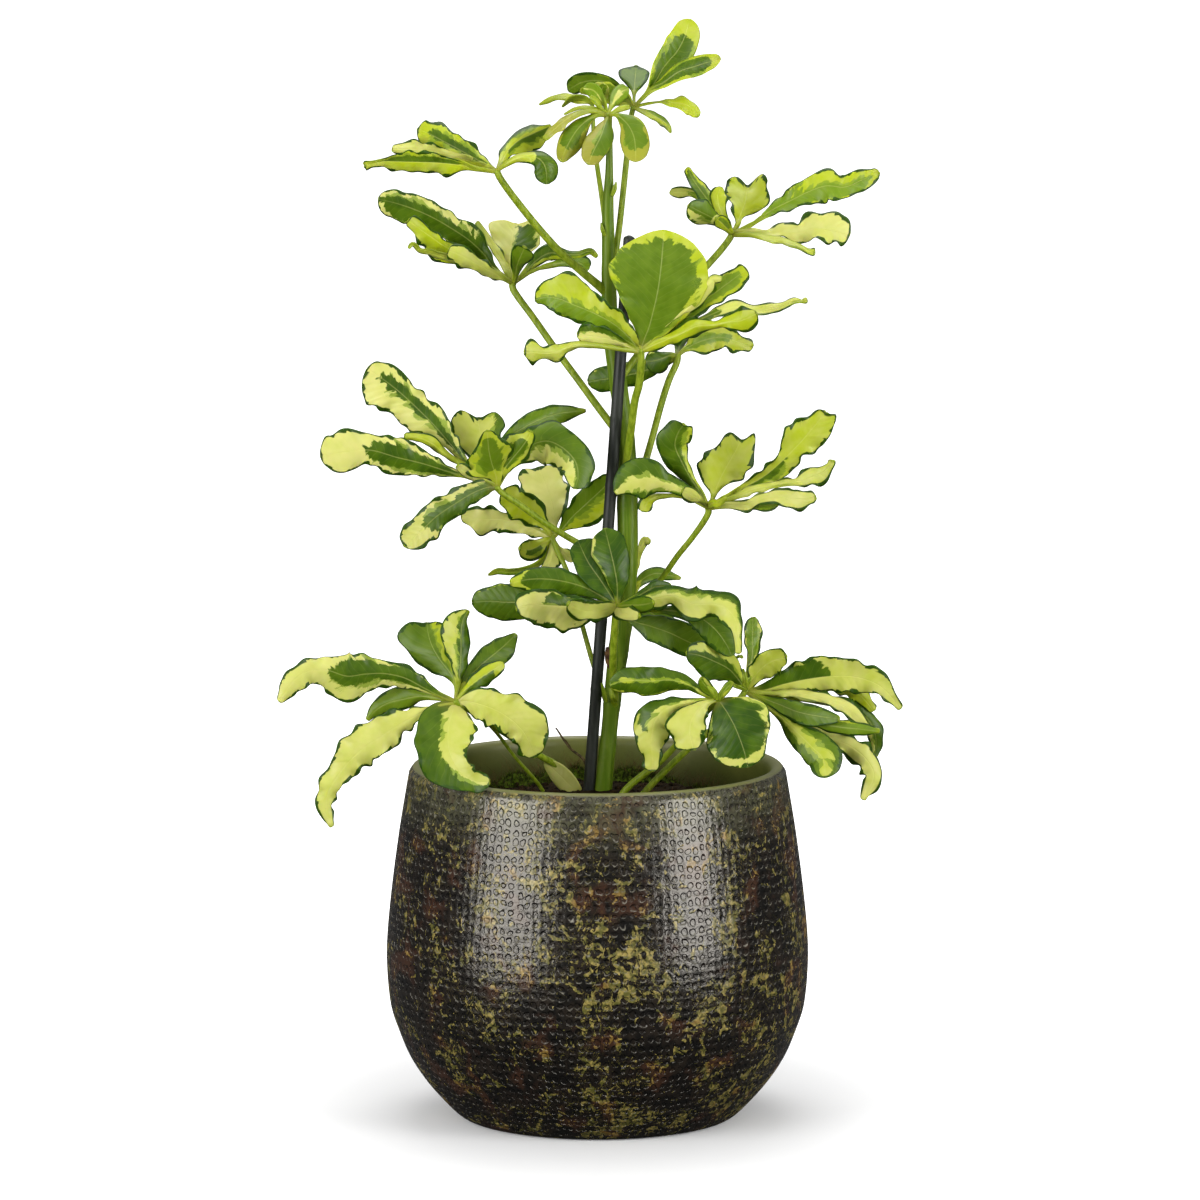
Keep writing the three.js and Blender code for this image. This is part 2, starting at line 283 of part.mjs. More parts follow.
    [3, 12, 2, 4, 1, 0.9, [[617, 606, 1.6, 1.6], [632, 600, 2.5, 2.5], [645, 592, 4, 5],
      [657, 586.5, 5.5, 5], [671, 586, 3, 3]]],
    [-27, -48, 2, 4, 1, 0.8, [[617, 606, 1.6, 1.6], [627, 605, 4, 4], [637, 605, 8, 8],
      [646, 604, 8, 8], [654, 602, 4, 5]]],
  ] },
  leaf_rear: { tone: 'leaf', hub: [632, 600, 30], stems: [[[632.5, 597, 30, 1.8], [631, 607, 28, 2],
    [627, 625, 16, 2.1], [621, 652, 0, 2.3]]],
  blades: [
    [4, 10, 4, -4, 1.2, 0.9, [[632, 600, 1.4, 1.4], [637, 586, 3, 3], [646, 577, 6, 6],
      [657, 573.5, 6, 6], [668, 575.5, 4.5, 4.5], [681, 578.5, 1, 1]]],
    [-4, -8, 5, 4, 1, 0.9, [[632, 600, 1.4, 1.4], [634, 578, 2, 2], [637, 561, 5, 3],
      [641, 549, 4, 3], [645, 540, 4, 4], [650.5, 543, 2.5, 2.5]]],
    [34, 62, -4, 6, 1.6, 0.8, [[632, 600, 1.5, 1.5], [624, 588, 5, 5], [614, 578, 13, 12],
      [604, 572, 15, 14], [592, 570, 8, 8]]],
    [36, 64, 4, -4, 1.6, 0.8, [[632, 600, 1.5, 1.5], [640, 606, 5, 5], [650, 612, 12, 9],
      [662, 620, 11, 10], [674, 628, 5, 5]]],
  ] },
  leaf_low_left: { tone: 'cream', hub: [456, 702, -75], stems: [[[455, 700, -75, 2], [460, 704.5, -74, 2.3],
    [475, 713, -68, 2.3], [505, 733, -48, 2.3], [537, 754, -25, 2.3], [563.5, 771, -6, 2.4],
    [573, 792, 3, 2.5], [575, 806, 5, 2.5]],
  [[457, 702, -75, 1.2], [478, 715, -60, 1.2], [495, 731, -43, 1.2], [515, 757, -22, 1.2],
    [541, 788, 0, 1.3], [549, 808, 8, 1.3]]],
  blades: [
    [-6, -13, 5, 3, 1.8, 0.9, [[456, 702, 1.8, 1.8], [440, 696, 2, 2], [425, 688.5, 4, 4],
      [405, 678, 10, 10], [385, 673.5, 13.5, 13], [365, 674, 18, 18], [347, 676, 24, 22],
      [326, 669, 14, 13], [306, 671, 10, 10], [291, 684, 10, 9.5], [279, 702, 3, 3]]],
    [13, 22, 4, 4, 1.4, 0.9, [[456, 702, 1.5, 1.5], [436, 698, 2, 2], [420, 696, 4, 5],
      [404, 700, 9, 8], [388, 704, 8, 7], [376, 711, 5, 6], [367, 720, 1.5, 1.5]]],
    [-13, -19, 4, 3, 2, 0.9, [[456, 703, 1.8, 1.8], [440, 706, 2, 2], [421, 713, 6, 6],
      [399, 725, 12, 13], [379, 738, 18, 18], [360, 751, 16, 17], [343, 769, 11, 13],
      [330, 789, 7, 12], [326, 807, 6.5, 8], [332, 827, 2, 2]]],
    [-17, -28, -3, -3, 1.2, 0.7, [[456, 703, 2, 2], [453.5, 709, 12, 17], [450, 720, 20, 29],
      [448, 735, 21, 32], [449, 750, 18, 32], [455, 764, 14, 29], [465, 776, 12, 18], [475, 781, 10, 11],
      [490, 782, 5, 6]]],
    [-6, 6, 3, 3, 1.6, 0.7, [[457, 702, 2, 2], [466, 701, 7, 6], [480, 704, 15, 16],
      [496, 710, 19, 17], [511, 720, 22, 14], [523, 734, 21, 15], [533, 757, 9, 10]]],
    [13, 32, 4, 2, 1.2, 0.5, [[456, 702, 1.6, 1.6], [455.5, 684, 1.8, 1.8], [450, 673, 7, 5],
      [440, 660, 15, 13], [432, 646, 23, 20], [429, 633, 26, 25], [428, 620, 18, 22]]],
    [10, 19, -5, 5, 1, 0.9, [[456, 702, 1.5, 1.5], [458, 684, 1.8, 1.8], [460, 668, 5, 6],
      [462, 650, 7, 7.5], [463, 632, 7, 6.5], [464, 620, 5, 4], [469, 610, 1.8, 1.8]]],
    [19, 42, 3, 4, 1.4, 0.9, [[456, 702, 1.5, 1.5], [461, 690, 1.8, 1.8], [468, 678, 6, 5],
      [480, 666, 10, 9], [493, 655, 12, 13], [505, 645, 9, 12], [516, 634, 2, 2]]],
    [3, 13, 3, 3, 1.2, 0.8, [[456, 702, 1.5, 1.5], [464, 690, 2, 2], [473, 683, 7, 5],
      [483, 681, 8, 6], [493, 685, 3, 3]]],
    [66, 58, 3, -3, 0.4, 0.9, [[571, 783, 3, 3], [567, 780, 6, 5], [558, 773, 8, 6],
      [546, 766, 2, 2]], [571, 783, -1]],
  ] },
  leaf_low_right: { tone: 'lime', hub: [718, 700, -55], stems: [[[720, 697, -55, 1.9],
    [712, 706, -52, 2.1], [690, 730, -38, 2.1], [660, 762, -19, 2.2], [648, 771, -13, 2.3],
    [624, 792, -10, 2.4], [619, 808, -11, 2.4]]],
  blades: [
    [4, 12, 5, 3, 1.6, 0.8, [[718, 700, 1.8, 1.8], [704, 694, 2, 2.5], [688, 684.5, 5.5, 6.5],
      [670, 680, 10, 10], [651, 681, 14.5, 14], [630, 680, 12, 12], [619, 682, 10, 9.5],
      [610, 685, 4, 4]]],
    [-4, -2, 4, 6, 1.4, 0.8, [[718, 700, 1.8, 1.8], [700, 700.5, 2.5, 2], [681, 703, 6, 5],
      [664, 710, 9, 12], [654, 723, 13, 20], [653, 738, 17, 14], [654, 754, 11, 9],
      [654.5, 772, 8, 8]]],
    [-12, -16, 3, 4, 1.2, 0.8, [[718, 700, 1.8, 1.8], [709, 702, 3, 2.5], [699, 709, 6, 10],
      [692, 720, 12, 20], [690, 733, 13, 21], [694, 750, 9, 10]]],
    [-13, -16, 3, 3, 1.2, 0.6, [[718, 700, 2, 2], [722, 705, 14, 12], [728, 714, 27, 23],
      [735, 727, 34, 31], [741, 742, 29, 32], [745, 754, 22, 27], [748, 767, 14, 17]]],
  ] },
  leaf_far_right: { tone: 'lime', hub: [746, 691, -20], stems: [[[747, 688, -20, 1.9],
    [742, 696, -20, 2.1], [725, 715, -18, 2.1], [700, 740, -14, 2.1], [688, 749, -12, 2.2],
    [645, 792, -3, 2.3], [636, 808, 0, 2.3]]],
  blades: [
    [6, 15, -3, 5, 1.2, 0.9, [[746, 690, 1.6, 1.6], [749, 672, 2.5, 2.5], [752, 655, 4.5, 5],
      [752.5, 640, 7.5, 8.5], [753, 628, 8.5, 8], [753, 617, 4, 4]]],
    [-6, -15, -3, 5, 1.4, 0.7, [[746, 690, 1.6, 1.6], [752, 679, 3, 4], [761, 668, 10, 9],
      [772, 660, 9, 10], [788, 654, 5, 5]]],
    [-21, -36, 2, 3, 1.2, 0.7, [[746, 690, 1.6, 1.6], [737, 681, 4, 4], [725, 671, 10, 12],
      [711, 663, 14, 14], [697, 656, 12, 10], [685, 654, 6, 6]]],
    [-6, -15, -3, 3, 2, 0.9, [[746, 690, 1.8, 1.8], [763, 690, 2, 2.5], [784, 684, 12, 6],
      [808, 679, 19, 10], [833, 676, 17, 14], [857, 677, 13, 15], [876, 684, 11, 10],
      [889, 694, 7, 7], [901, 709, 2.5, 2.5]]],
    [3, 6, 3, 3, 1.6, 0.8, [[746, 690, 1.5, 1.5], [790, 689, 3, 3], [820, 686, 6, 5],
      [845, 688, 8, 7], [862, 697, 8, 7], [874, 711, 4, 4]]],
    [-21, -36, 4, -3, 1.2, 0.9, [[746, 692, 1.6, 1.6], [761, 698, 2, 2], [778, 704, 6, 6],
      [798, 712, 10, 10], [817, 716, 9, 10], [840, 719, 3, 3]]],
    [-12, -24, 5, -2, 1.8, 0.9, [[746, 691, 1.6, 1.6], [770, 693, 2, 2], [800, 694, 4, 4],
      [825, 699, 6, 5], [845, 707, 7, 7], [858, 717, 6, 6], [868, 728, 2, 2]]],
    [-27, -45, 3, 3, 1.8, 0.8, [[746, 692, 1.6, 1.6], [764, 704, 2, 2], [781, 717, 4, 4],
      [796, 731, 10, 11], [811, 746, 15, 13], [822, 759, 17, 14], [825, 777, 9, 10]]],
    [-18, -27, 5, 3, 1.8, 0.9, [[746, 692, 1.6, 1.6], [780, 712, 2, 2], [812, 728, 3, 3],
      [832, 738, 6, 6], [852, 749, 8, 7], [867, 761, 10, 7], [874, 776, 10, 8], [863, 799, 2, 2]]],
    [3, 6, 3, 3, 1.6, 0.9, [[746, 691, 1.6, 1.6], [790, 697, 2, 2], [830, 703, 3, 3],
      [856, 710, 5, 5], [870, 722, 8, 8], [876, 738, 7, 7], [875, 757, 2.5, 2.5]]],
    [-24, -36, 3, 2, 1, 0.9, [[746, 692, 1.5, 1.5], [785, 708, 2, 2], [815, 722, 4, 4],
      [840, 727, 7, 7], [860, 729, 6, 6], [880, 731, 2, 2]]],
  ] },
};

// Grid point and depth to a point in mm
function place(u, v, depth) {
  const cos = Math.cos(EYE.tilt);
  const sin = Math.sin(EYE.tilt);
  let z = EYE.height;
  let reach = EYE.distance;
  for (let pass = 0; pass < 4; pass += 1) {
    reach = EYE.distance + depth * cos - (z - EYE.height) * sin;
    z = EYE.height + (((GRID_MID - v) * reach) / EYE.focus - depth * sin) / cos;
  }
  return new THREE.Vector3(EYE.shift + ((u - GRID_MID) * reach) / EYE.focus, depth, z);
}

// Smooth curve through rows of numbers, at share t of its length in the grid
function curveOf(rows) {
  const at = [0];
  for (let i = 1; i < rows.length; i += 1) {
    at.push(at[i - 1] + Math.hypot(rows[i][0] - rows[i - 1][0], rows[i][1] - rows[i - 1][1]));
  }
  const total = at[at.length - 1];
  const slope = (i, k) => {
    const a = Math.max(i - 1, 0);
    const b = Math.min(i + 1, rows.length - 1);
    return (rows[b][k] - rows[a][k]) / (at[b] - at[a]);
  };
  const sample = (t) => {
    const s = Math.min(Math.max(t, 0), 1) * total;
    let i = 0;
    while (i < rows.length - 2 && s > at[i + 1]) i += 1;
    const h = at[i + 1] - at[i];
    const q = (s - at[i]) / h;
    const [q2, q3] = [q * q, q * q * q];
    return rows[i].map((value, k) => (2 * q3 - 3 * q2 + 1) * value + (q3 - 2 * q2 + q) * h * slope(i, k)
      + (3 * q2 - 2 * q3) * rows[i + 1][k] + (q3 - q2) * h * slope(i + 1, k));
  };
  return { total, sample };
}

// Closed mesh of a strip or a tube: rings of points, each ring with the same count, capped at its ends
function loft(rings) {
  const count = rings[0].length;
  const points = rings.flat();
  const faces = [];
  for (let r = 0; r + 1 < rings.length; r += 1) {
    for (let k = 0; k < count; k += 1) {
      const a = r * count + k;
      const b = r * count + ((k + 1) % count);
      faces.push([a, b, b + count], [a, b + count, a + count]);
    }
  }
  const last = (rings.length - 1) * count;
  for (let k = 1; k + 1 < count; k += 1) {
    faces.push([0, k + 1, k], [last, last + k, last + k + 1]);
  }
  return solidOf(points, faces);
}

function solidOf(points, faces) {
  const make = (turned) => new wasm.Manifold(new wasm.Mesh({
    numProp: 3,
    vertProperties: new Float32Array(points.flatMap((p) => [p.x, p.y, p.z])),
    triVerts: new Uint32Array(faces.flatMap((f) => (turned ? [f[0], f[2], f[1]] : f))),
  }));
  const solid = make(false);
  return solid.volume() > 0 ? solid : make(true);
}

function joined(solids) {
  return solids.reduce((all, one) => all.add(one));
}

// Round stem along rows of u, v, depth and radius, swollen by a clearance
function stem(rows, sides, rings, clearance = 0) {
  const curve = curveOf(rows);
  const spots = Array.from({ length: rings + 1 }, (_, i) => curve.sample(i / rings));
  const points = spots.map((s) => place(s[0], s[1], s[2]));
  const aside = new THREE.Vector3(1, 0, 0);
  return loft(points.map((point, i) => {
    const ahead = points[Math.min(i + 1, rings)].clone().sub(points[Math.max(i - 1, 0)]).normalize();
    const across = aside.clone().addScaledVector(ahead, -aside.dot(ahead)).normalize();
    const up = ahead.clone().cross(across);
    const radius = spots[i][3] + clearance;
    return Array.from({ length: sides }, (__, k) => {
      const turn = (2 * Math.PI * k) / sides;
      return point.clone().addScaledVector(across, radius * Math.cos(turn))
        .addScaledVector(up, radius * Math.sin(turn));
    });
  }));
}

// Leaflet: midrib and two waved edges, given a thickness
function leaflet(hubDepth, blade, order) {
  const [mid, tip, leftDepth, rightDepth, wave, cap, rows, start] = blade;
  const base = start ? start[2] - hubDepth : 0;
  const curve = curveOf(rows);
  const end = rows[rows.length - 1];
  const capAt = 1 - (cap * (end[2] + end[3])) / 2 / curve.total;
  const count = Math.min(Math.max(Math.round((curve.total * STEP) / 18), 3), 6);
  const shares = Array.from({ length: count }, (_, i) => (i / count) * capAt)
    .concat(end[2] + end[3] < 9 ? [capAt, 1] : [capAt, capAt + (1 - capAt) * 0.72, 1]);
  const waves = Math.max((curve.total * STEP) / 30, 1);
  const depthAt = (t) => hubDepth + (1 - t) * (1 - 2 * t) * base + 4 * t * (1 - t) * mid
    + t * (2 * t - 1) * tip;
  const lines = shares.map((t) => {
    const [u, v, left, right] = curve.sample(t);
    const [u0, v0] = curve.sample(t - 0.01);
    const [u1, v1] = curve.sample(t + 0.01);
    const size = Math.hypot(u1 - u0, v1 - v0);
    const [du, dv] = [(v1 - v0) / size, -(u1 - u0) / size];
    const close = t > capAt ? Math.sqrt(Math.max(1 - ((t - capAt) / (1 - capAt)) ** 2, 0.01)) : 1;
    const lift = Math.sin(Math.PI * Math.min(t * 0.9 + 0.02, 1)) * close;
    const angle = 2 * Math.PI * waves * t + order * 2.4;
    const edge = (half, sign, depth, phase) => place(u + sign * du * Math.max(half, 0.8) * close,
      v + sign * dv * Math.max(half, 0.8) * close,
      depthAt(t) + lift * (depth + wave * Math.sin(angle + phase)));
    return [edge(left, 1, leftDepth, 0), place(u, v, depthAt(t)), edge(right, -1, rightDepth, 2.1)];
  });
  const rings = lines.map((line, i) => {
    const ahead = lines[Math.min(i + 1, lines.length - 1)][1].clone()
      .sub(lines[Math.max(i - 1, 0)][1]).normalize();
    const thick = shares[i] < 0.12 ? STALK_THICK : BLADE_THICK;
    const sides = [line[1].clone().sub(line[0]), line[2].clone().sub(line[0]), line[2].clone().sub(line[1])];
    const offsets = sides.map((side) => side.cross(ahead).normalize().multiplyScalar(thick / 2));
    return [...line.map((p, k) => p.clone().add(offsets[k])),
      ...line.map((p, k) => p.clone().sub(offsets[k])).reverse()];
  });
  return bladeMesh(rings);
}

// Strip mesh whose upper and lower faces are split alike
function bladeMesh(rings) {
  const faces = [];
  const at = (r, k) => r * 6 + (k % 6);
  for (let r = 0; r + 1 < rings.length; r += 1) {
    for (let k = 0; k < 6; k += 1) {
      const [a, b, c, d] = [at(r, k), at(r, k + 1), at(r + 1, k + 1), at(r + 1, k)];
      if (k === 3 || k === 4) faces.push([a, b, d], [b, c, d]);
      else faces.push([a, b, c], [a, c, d]);
    }
  }
  const last = (rings.length - 1) * 6;
  faces.push([0, 5, 4], [0, 4, 1], [1, 4, 3], [1, 3, 2]);
  faces.push([last, last + 4, last + 5], [last, last + 1, last + 4],
    [last + 1, last + 3, last + 4], [last + 1, last + 2, last + 3]);
  return solidOf(rings.flat(), faces);
}

// Solid of revolution about Z from a profile that starts and ends on the axis
function turned(profile, sides) {
  const geometry = new THREE.LatheGeometry(profile.map(([r, z]) => new THREE.Vector2(r, z)), sides);
  geometry.rotateX(Math.PI / 2);
  return solidFrom(geometry);
}

function solidFrom(geometry) {
  geometry.deleteAttribute('normal');
  geometry.deleteAttribute('uv');
  const merged = mergeVertices(geometry, 1e-3);
  const spot = merged.attributes.position;
  const pointAt = (i) => new THREE.Vector3().fromBufferAttribute(spot, i);
  const points = Array.from({ length: spot.count }, (_, i) => pointAt(i));
  const index = Array.from(merged.index.array);
  const faces = [];
  for (let i = 0; i < index.length; i += 3) {
    const face = index.slice(i, i + 3);
    if (new Set(face).size === 3) faces.push(face);
  }
  return solidOf(points, faces);
}

function nodeOf(name, solid, color, roughness) {
  const { vertProperties, triVerts } = solid.getMesh();
  const geometry = new THREE.BufferGeometry();
  geometry.setAttribute('position', new THREE.BufferAttribute(new Float32Array(vertProperties), 3));
  geometry.setIndex(new THREE.BufferAttribute(new Uint32Array(triVerts), 1));
  geometry.computeVertexNormals();
  const material = new THREE.MeshStandardMaterial({ color, roughness, metalness: 0 });
  const mesh = new THREE.Mesh(geometry, material);
  mesh.name = name;
  return mesh;
}

const plant = new THREE.Group();

// Stems that stand in the soil
const trunk = stem(TRUNK, TRUNK_SIDES, TRUNK_RINGS);
const trunkRoom = stem(TRUNK, TRUNK_SIDES, TRUNK_RINGS, FIT_GAP);
const stake = stem(STAKE, 12, 1);
const stakeRoom = stem(STAKE, 12, 1, FIT_GAP);
const twig = stem(TWIG, 6, 5);
const rootRooms = [trunkRoom, stakeRoom, stem(TWIG, 6, 5, FIT_GAP)];

for (const [name, leaf] of Object.entries(LEAVES)) {
  const rings = (rows) => Math.round(curveOf(rows).total / 45) + 2;
  const stems = leaf.stems.map((rows) => stem(rows, 6, rings(rows)));
  const blades = leaf.blades.map((blade, order) => leaflet(leaf.hub[2], blade, order));
  const whole = joined([...stems, ...blades]).subtract(trunkRoom).decompose()
    .find((body) => body.volume() > 1);
  plant.add(nodeOf(name, whole, GREEN[leaf.tone], 0.45));
  for (const rows of leaf.stems) {
    if (rows[rows.length - 1][1] > 790) rootRooms.push(stem(rows, 6, rings(rows), FIT_GAP));
  }
}

// Pot, and the soil that fills it
const pot = turned([[0, 0], ...POT_OUTER, ...POT_INNER], POT_SIDES);
let soil = turned([[0, 12 + FIT_GAP], ...SOIL_BED, ...SOIL_TOP], POT_SIDES);
for (const room of rootRooms) soil = soil.subtract(room);

plant.add(nodeOf('pot', pot, 0x3a3427, 0.3));
plant.add(nodeOf('soil', soil, 0x35291c, 0.95));
plant.add(nodeOf('trunk', trunk, 0x6d7a2a, 0.5));
plant.add(nodeOf('stake', stake, 0x20242a, 0.5));
plant.add(nodeOf('twig', twig, 0x6b5240, 0.8));

export default plant;
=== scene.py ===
"""Looks of a potted umbrella plant, built around its fixed frame.

Leaves, stems and the pot are shaped at full detail in the places that the frame gives, in metres.
Leaf rows are read on a front view grid, as in the part's own source, and are put in place from it.
"""
import logging
import math
import random
from dataclasses import dataclass
from enum import Enum
from functools import reduce
from typing import Callable, Sequence

import bpy
import numpy as np
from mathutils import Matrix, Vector, noise


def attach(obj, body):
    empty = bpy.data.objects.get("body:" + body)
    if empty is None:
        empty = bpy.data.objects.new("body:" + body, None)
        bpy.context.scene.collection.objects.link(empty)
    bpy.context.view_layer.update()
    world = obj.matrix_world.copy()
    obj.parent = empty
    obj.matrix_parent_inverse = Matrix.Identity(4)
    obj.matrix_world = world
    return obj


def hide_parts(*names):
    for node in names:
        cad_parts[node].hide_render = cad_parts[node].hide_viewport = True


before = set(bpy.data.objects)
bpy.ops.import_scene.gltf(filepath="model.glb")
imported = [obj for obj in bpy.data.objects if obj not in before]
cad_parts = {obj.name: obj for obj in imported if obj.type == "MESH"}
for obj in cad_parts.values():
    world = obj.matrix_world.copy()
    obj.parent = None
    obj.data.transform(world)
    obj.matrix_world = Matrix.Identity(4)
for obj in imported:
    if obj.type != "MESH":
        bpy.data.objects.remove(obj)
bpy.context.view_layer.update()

LOG = logging.getLogger("umbrella_plant")
MM = 0.001
MERGE = 1e-6
BODY = "root"
Rows = Sequence[Sequence[float]]
Rgb = tuple[float, float, float]
Shade = tuple[int, int, int]
Piece = bpy.types.Object
Material = bpy.types.Material
Socket = bpy.types.NodeSocket
Given = dict[str, Socket]


class Slot(Enum):
    """Kinds of finish, one for each piece; hand_over takes one but doesn't use it."""

    LEAF = "leaf"
    STEM = "stem"
    CANE = "cane"
    GLAZE = "glaze"
    SOIL = "soil"
    MOSS = "moss"
    DRY = "dry"


@dataclass(frozen=True)
class FrontView:
    """Front view grid of the plant: u to the right, v down, one step is about 2/3 mm."""

    distance: float = 5000.0
    tilt: float = math.radians(8)
    height: float = 348.1
    shift: float = 1.7
    focus: float = 7500.0
    middle: float = 600.0
    step: float = 2 / 3

    def place(self, u: np.ndarray, v: np.ndarray, depth: np.ndarray) -> np.ndarray:
        """Turns grid points and depths into points in mm.

        Args:
            u: Places to the right on the grid.
            v: Places down on the grid.
            depth: Depths away from the viewer, in mm.

        Returns:
            An array of points with x, y and z in its last axis.
        """
        cos, sin = math.cos(self.tilt), math.sin(self.tilt)
        z = np.full_like(depth, self.height)
        reach = np.full_like(depth, self.distance)
        for _ in range(4):
            reach = self.distance + depth * cos - (z - self.height) * sin
            z = self.height + ((self.middle - v) * reach / self.focus - depth * sin) / cos
        return np.stack([self.shift + (u - self.middle) * reach / self.focus, depth, z], axis=-1)

    def place_one(self, u: float, v: float, depth: float) -> Vector:
        """Turns one grid point and its depth into a point in mm."""
        return Vector(self.place(np.array(u), np.array(v), np.array(depth, float)).tolist())


VIEW = FrontView()


class Curve:
    """Smooth curve through rows of numbers, by the share of its length on the grid."""

    def __init__(self, rows: Rows) -> None:
        """Measures the rows and finds their slopes.

        Args:
            rows: Rows of numbers, the first two of each its place on the grid.
        """
        self.rows = np.array(rows, float)
        steps = np.hypot(*(self.rows[1:, :2] - self.rows[:-1, :2]).T)
        self.at = np.concatenate([[0.0], np.cumsum(steps)])
        self.total = float(self.at[-1])
        index = np.arange(len(rows))
        low, high = np.maximum(index - 1, 0), np.minimum(index + 1, len(rows) - 1)
        self.slopes = (self.rows[high] - self.rows[low]) / (self.at[high] - self.at[low])[:, None]

    def sample(self, share: np.ndarray) -> np.ndarray:
        """Finds the rows at shares of the length.

        Args:
            share: Shares from 0 to 1.

        Returns:
            One row for each share.
        """
        s = np.clip(share, 0, 1) * self.total
        i = np.clip(np.searchsorted(self.at, s, side="left") - 1, 0, len(self.at) - 2)
        h = (self.at[i + 1] - self.at[i])[:, None]
        q = (s - self.at[i])[:, None] / h
        return ((2 * q**3 - 3 * q**2 + 1) * self.rows[i]
                + (q**3 - 2 * q**2 + q) * h * self.slopes[i]
                + (3 * q**2 - 2 * q**3) * self.rows[i + 1]
                + (q**3 - q**2) * h * self.slopes[i + 1])


def smooth_step(value: np.ndarray, low: float, high: float) -> np.ndarray:
    """Rises smoothly from 0 at low to 1 at high."""
    t = np.clip((value - low) / (high - low), 0, 1)
    return t * t * (3 - 2 * t)


def by_side(q: np.ndarray, left: np.ndarray, right: np.ndarray) -> np.ndarray:
    """Takes the left values where q is over 0 and the right ones elsewhere, along by across."""
    return np.where(q > 0, left[:, None], right[:, None])


def pick(*pieces: Piece) -> None:
    """Selects these pieces and no others.

    Args:
        pieces: The pieces, the first of them to be active.
    """
    bpy.ops.object.select_all(action="DESELECT")
    for piece in pieces:
        piece.select_set(True)
    bpy.context.view_layer.objects.active = pieces[0]


def set_points(piece: Piece, points: np.ndarray) -> None:
    """Writes points, in mm, to a piece's vertices."""
    piece.data.vertices.foreach_set("co", (points * MM).astype(np.float32).ravel())
    piece.data.update()


def get_points(piece: Piece) -> np.ndarray:
    """Reads a piece's vertices.

    Args:
        piece: The piece.

    Returns:
        One point in mm for each vertex.
    """
    points = np.zeros(len(piece.data.vertices) * 3, np.float32)
    piece.data.vertices.foreach_get("co", points)
    return points.reshape(-1, 3).astype(float) / MM


def get_uv(piece: Piece) -> np.ndarray:
    """Reads a piece's UV map.

    Args:
        piece: The piece.

    Returns:
        One place on the map for each face corner.
    """
    spots = np.zeros(len(piece.data.loops) * 2, np.float32)
    piece.data.uv_layers[0].uv.foreach_get("vector", spots)
    return spots.reshape(-1, 2)


def set_uv(piece: Piece, spots: np.ndarray) -> None:
    """Writes places on a piece's UV map."""
    piece.data.uv_layers[0].uv.foreach_set("vector", spots.ravel())


def grid_index(columns: int, rows: int) -> tuple[np.ndarray, np.ndarray]:
    """Returns the column and the row of each vertex of a grid primitive, in its own order."""
    order = np.arange((columns + 1) * (rows + 1))
    return order % (columns + 1), order // (columns + 1)


def shaped_grid(name: str, points: np.ndarray) -> Piece:
    """Adds a grid primitive and moves its vertices to a net of points.

    Args:
        name: Name of the new piece.
        points: Net of points in mm, columns by rows by 3.

    Returns:
        The piece, with a UV map that runs from 0 to 1 along both ways of the net.
    """
    columns, rows = points.shape[0] - 1, points.shape[1] - 1
    bpy.ops.mesh.primitive_grid_add(x_subdivisions=columns, y_subdivisions=rows, size=1)
    piece = bpy.context.object
    piece.name = name
    i, j = grid_index(columns, rows)
    set_points(piece, points[i, j])
    return piece


def set_marks(piece: Piece, name: str, values: np.ndarray) -> None:
    """Stores a vector on each of a piece's vertices, under a name that a finish reads."""
    mark = piece.data.attributes.new(name, "FLOAT_VECTOR", "POINT")
    mark.data.foreach_set("vector", values.astype(np.float32).ravel())


def join_all(pieces: list[Piece], name: str) -> Piece:
    """Joins pieces into one.

    Args:
        pieces: The pieces.
        name: Name of the whole.

    Returns:
        The whole.
    """
    pick(*pieces)
    if len(pieces) > 1:
        bpy.ops.object.join()
    piece = bpy.context.object
    piece.name = name
    piece.data.name = name
    return piece


def seal(piece: Piece, outward: bool) -> None:
    """Merges seams, closes open ends and shades the piece smooth.

    Args:
        piece: The piece to close.
        outward: Whether the faces are turned to point outwards.
    """
    pick(piece)
    bpy.ops.object.mode_set(mode="EDIT")
    bpy.ops.mesh.select_all(action="SELECT")
    bpy.ops.mesh.remove_doubles(threshold=MERGE)
    bpy.ops.mesh.fill_holes(sides=0)
    if outward:
        bpy.ops.mesh.select_all(action="SELECT")
        bpy.ops.mesh.normals_make_consistent(inside=False)
    bpy.ops.object.mode_set(mode="OBJECT")
    bpy.ops.object.shade_smooth()


def dress(piece: Piece, material: Material) -> None:
    """Gives a piece one material."""
    piece.data.materials.clear()
    piece.data.materials.append(material)


def hand_over(piece: Piece, slot: Slot, *nodes: str,
              material: Material | None = None, outward: bool = True) -> None:
    """Closes a piece, dresses it, rides it on the body and hides the frame's nodes that it stands
    for.

    Args:
        piece: The shaped piece.
        slot: Kind of finish of the piece; not used.
        nodes: Names of the frame's nodes that the piece stands for.
        material: Its finish, unless it is dressed already.
        outward: Whether its faces are turned to point outwards.
    """
    if material:
        dress(piece, material)
    seal(piece, outward)
    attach(piece, BODY)
    if nodes:
        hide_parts(*nodes)
    LOG.info("%s: %d faces", piece.name, len(piece.data.polygons))


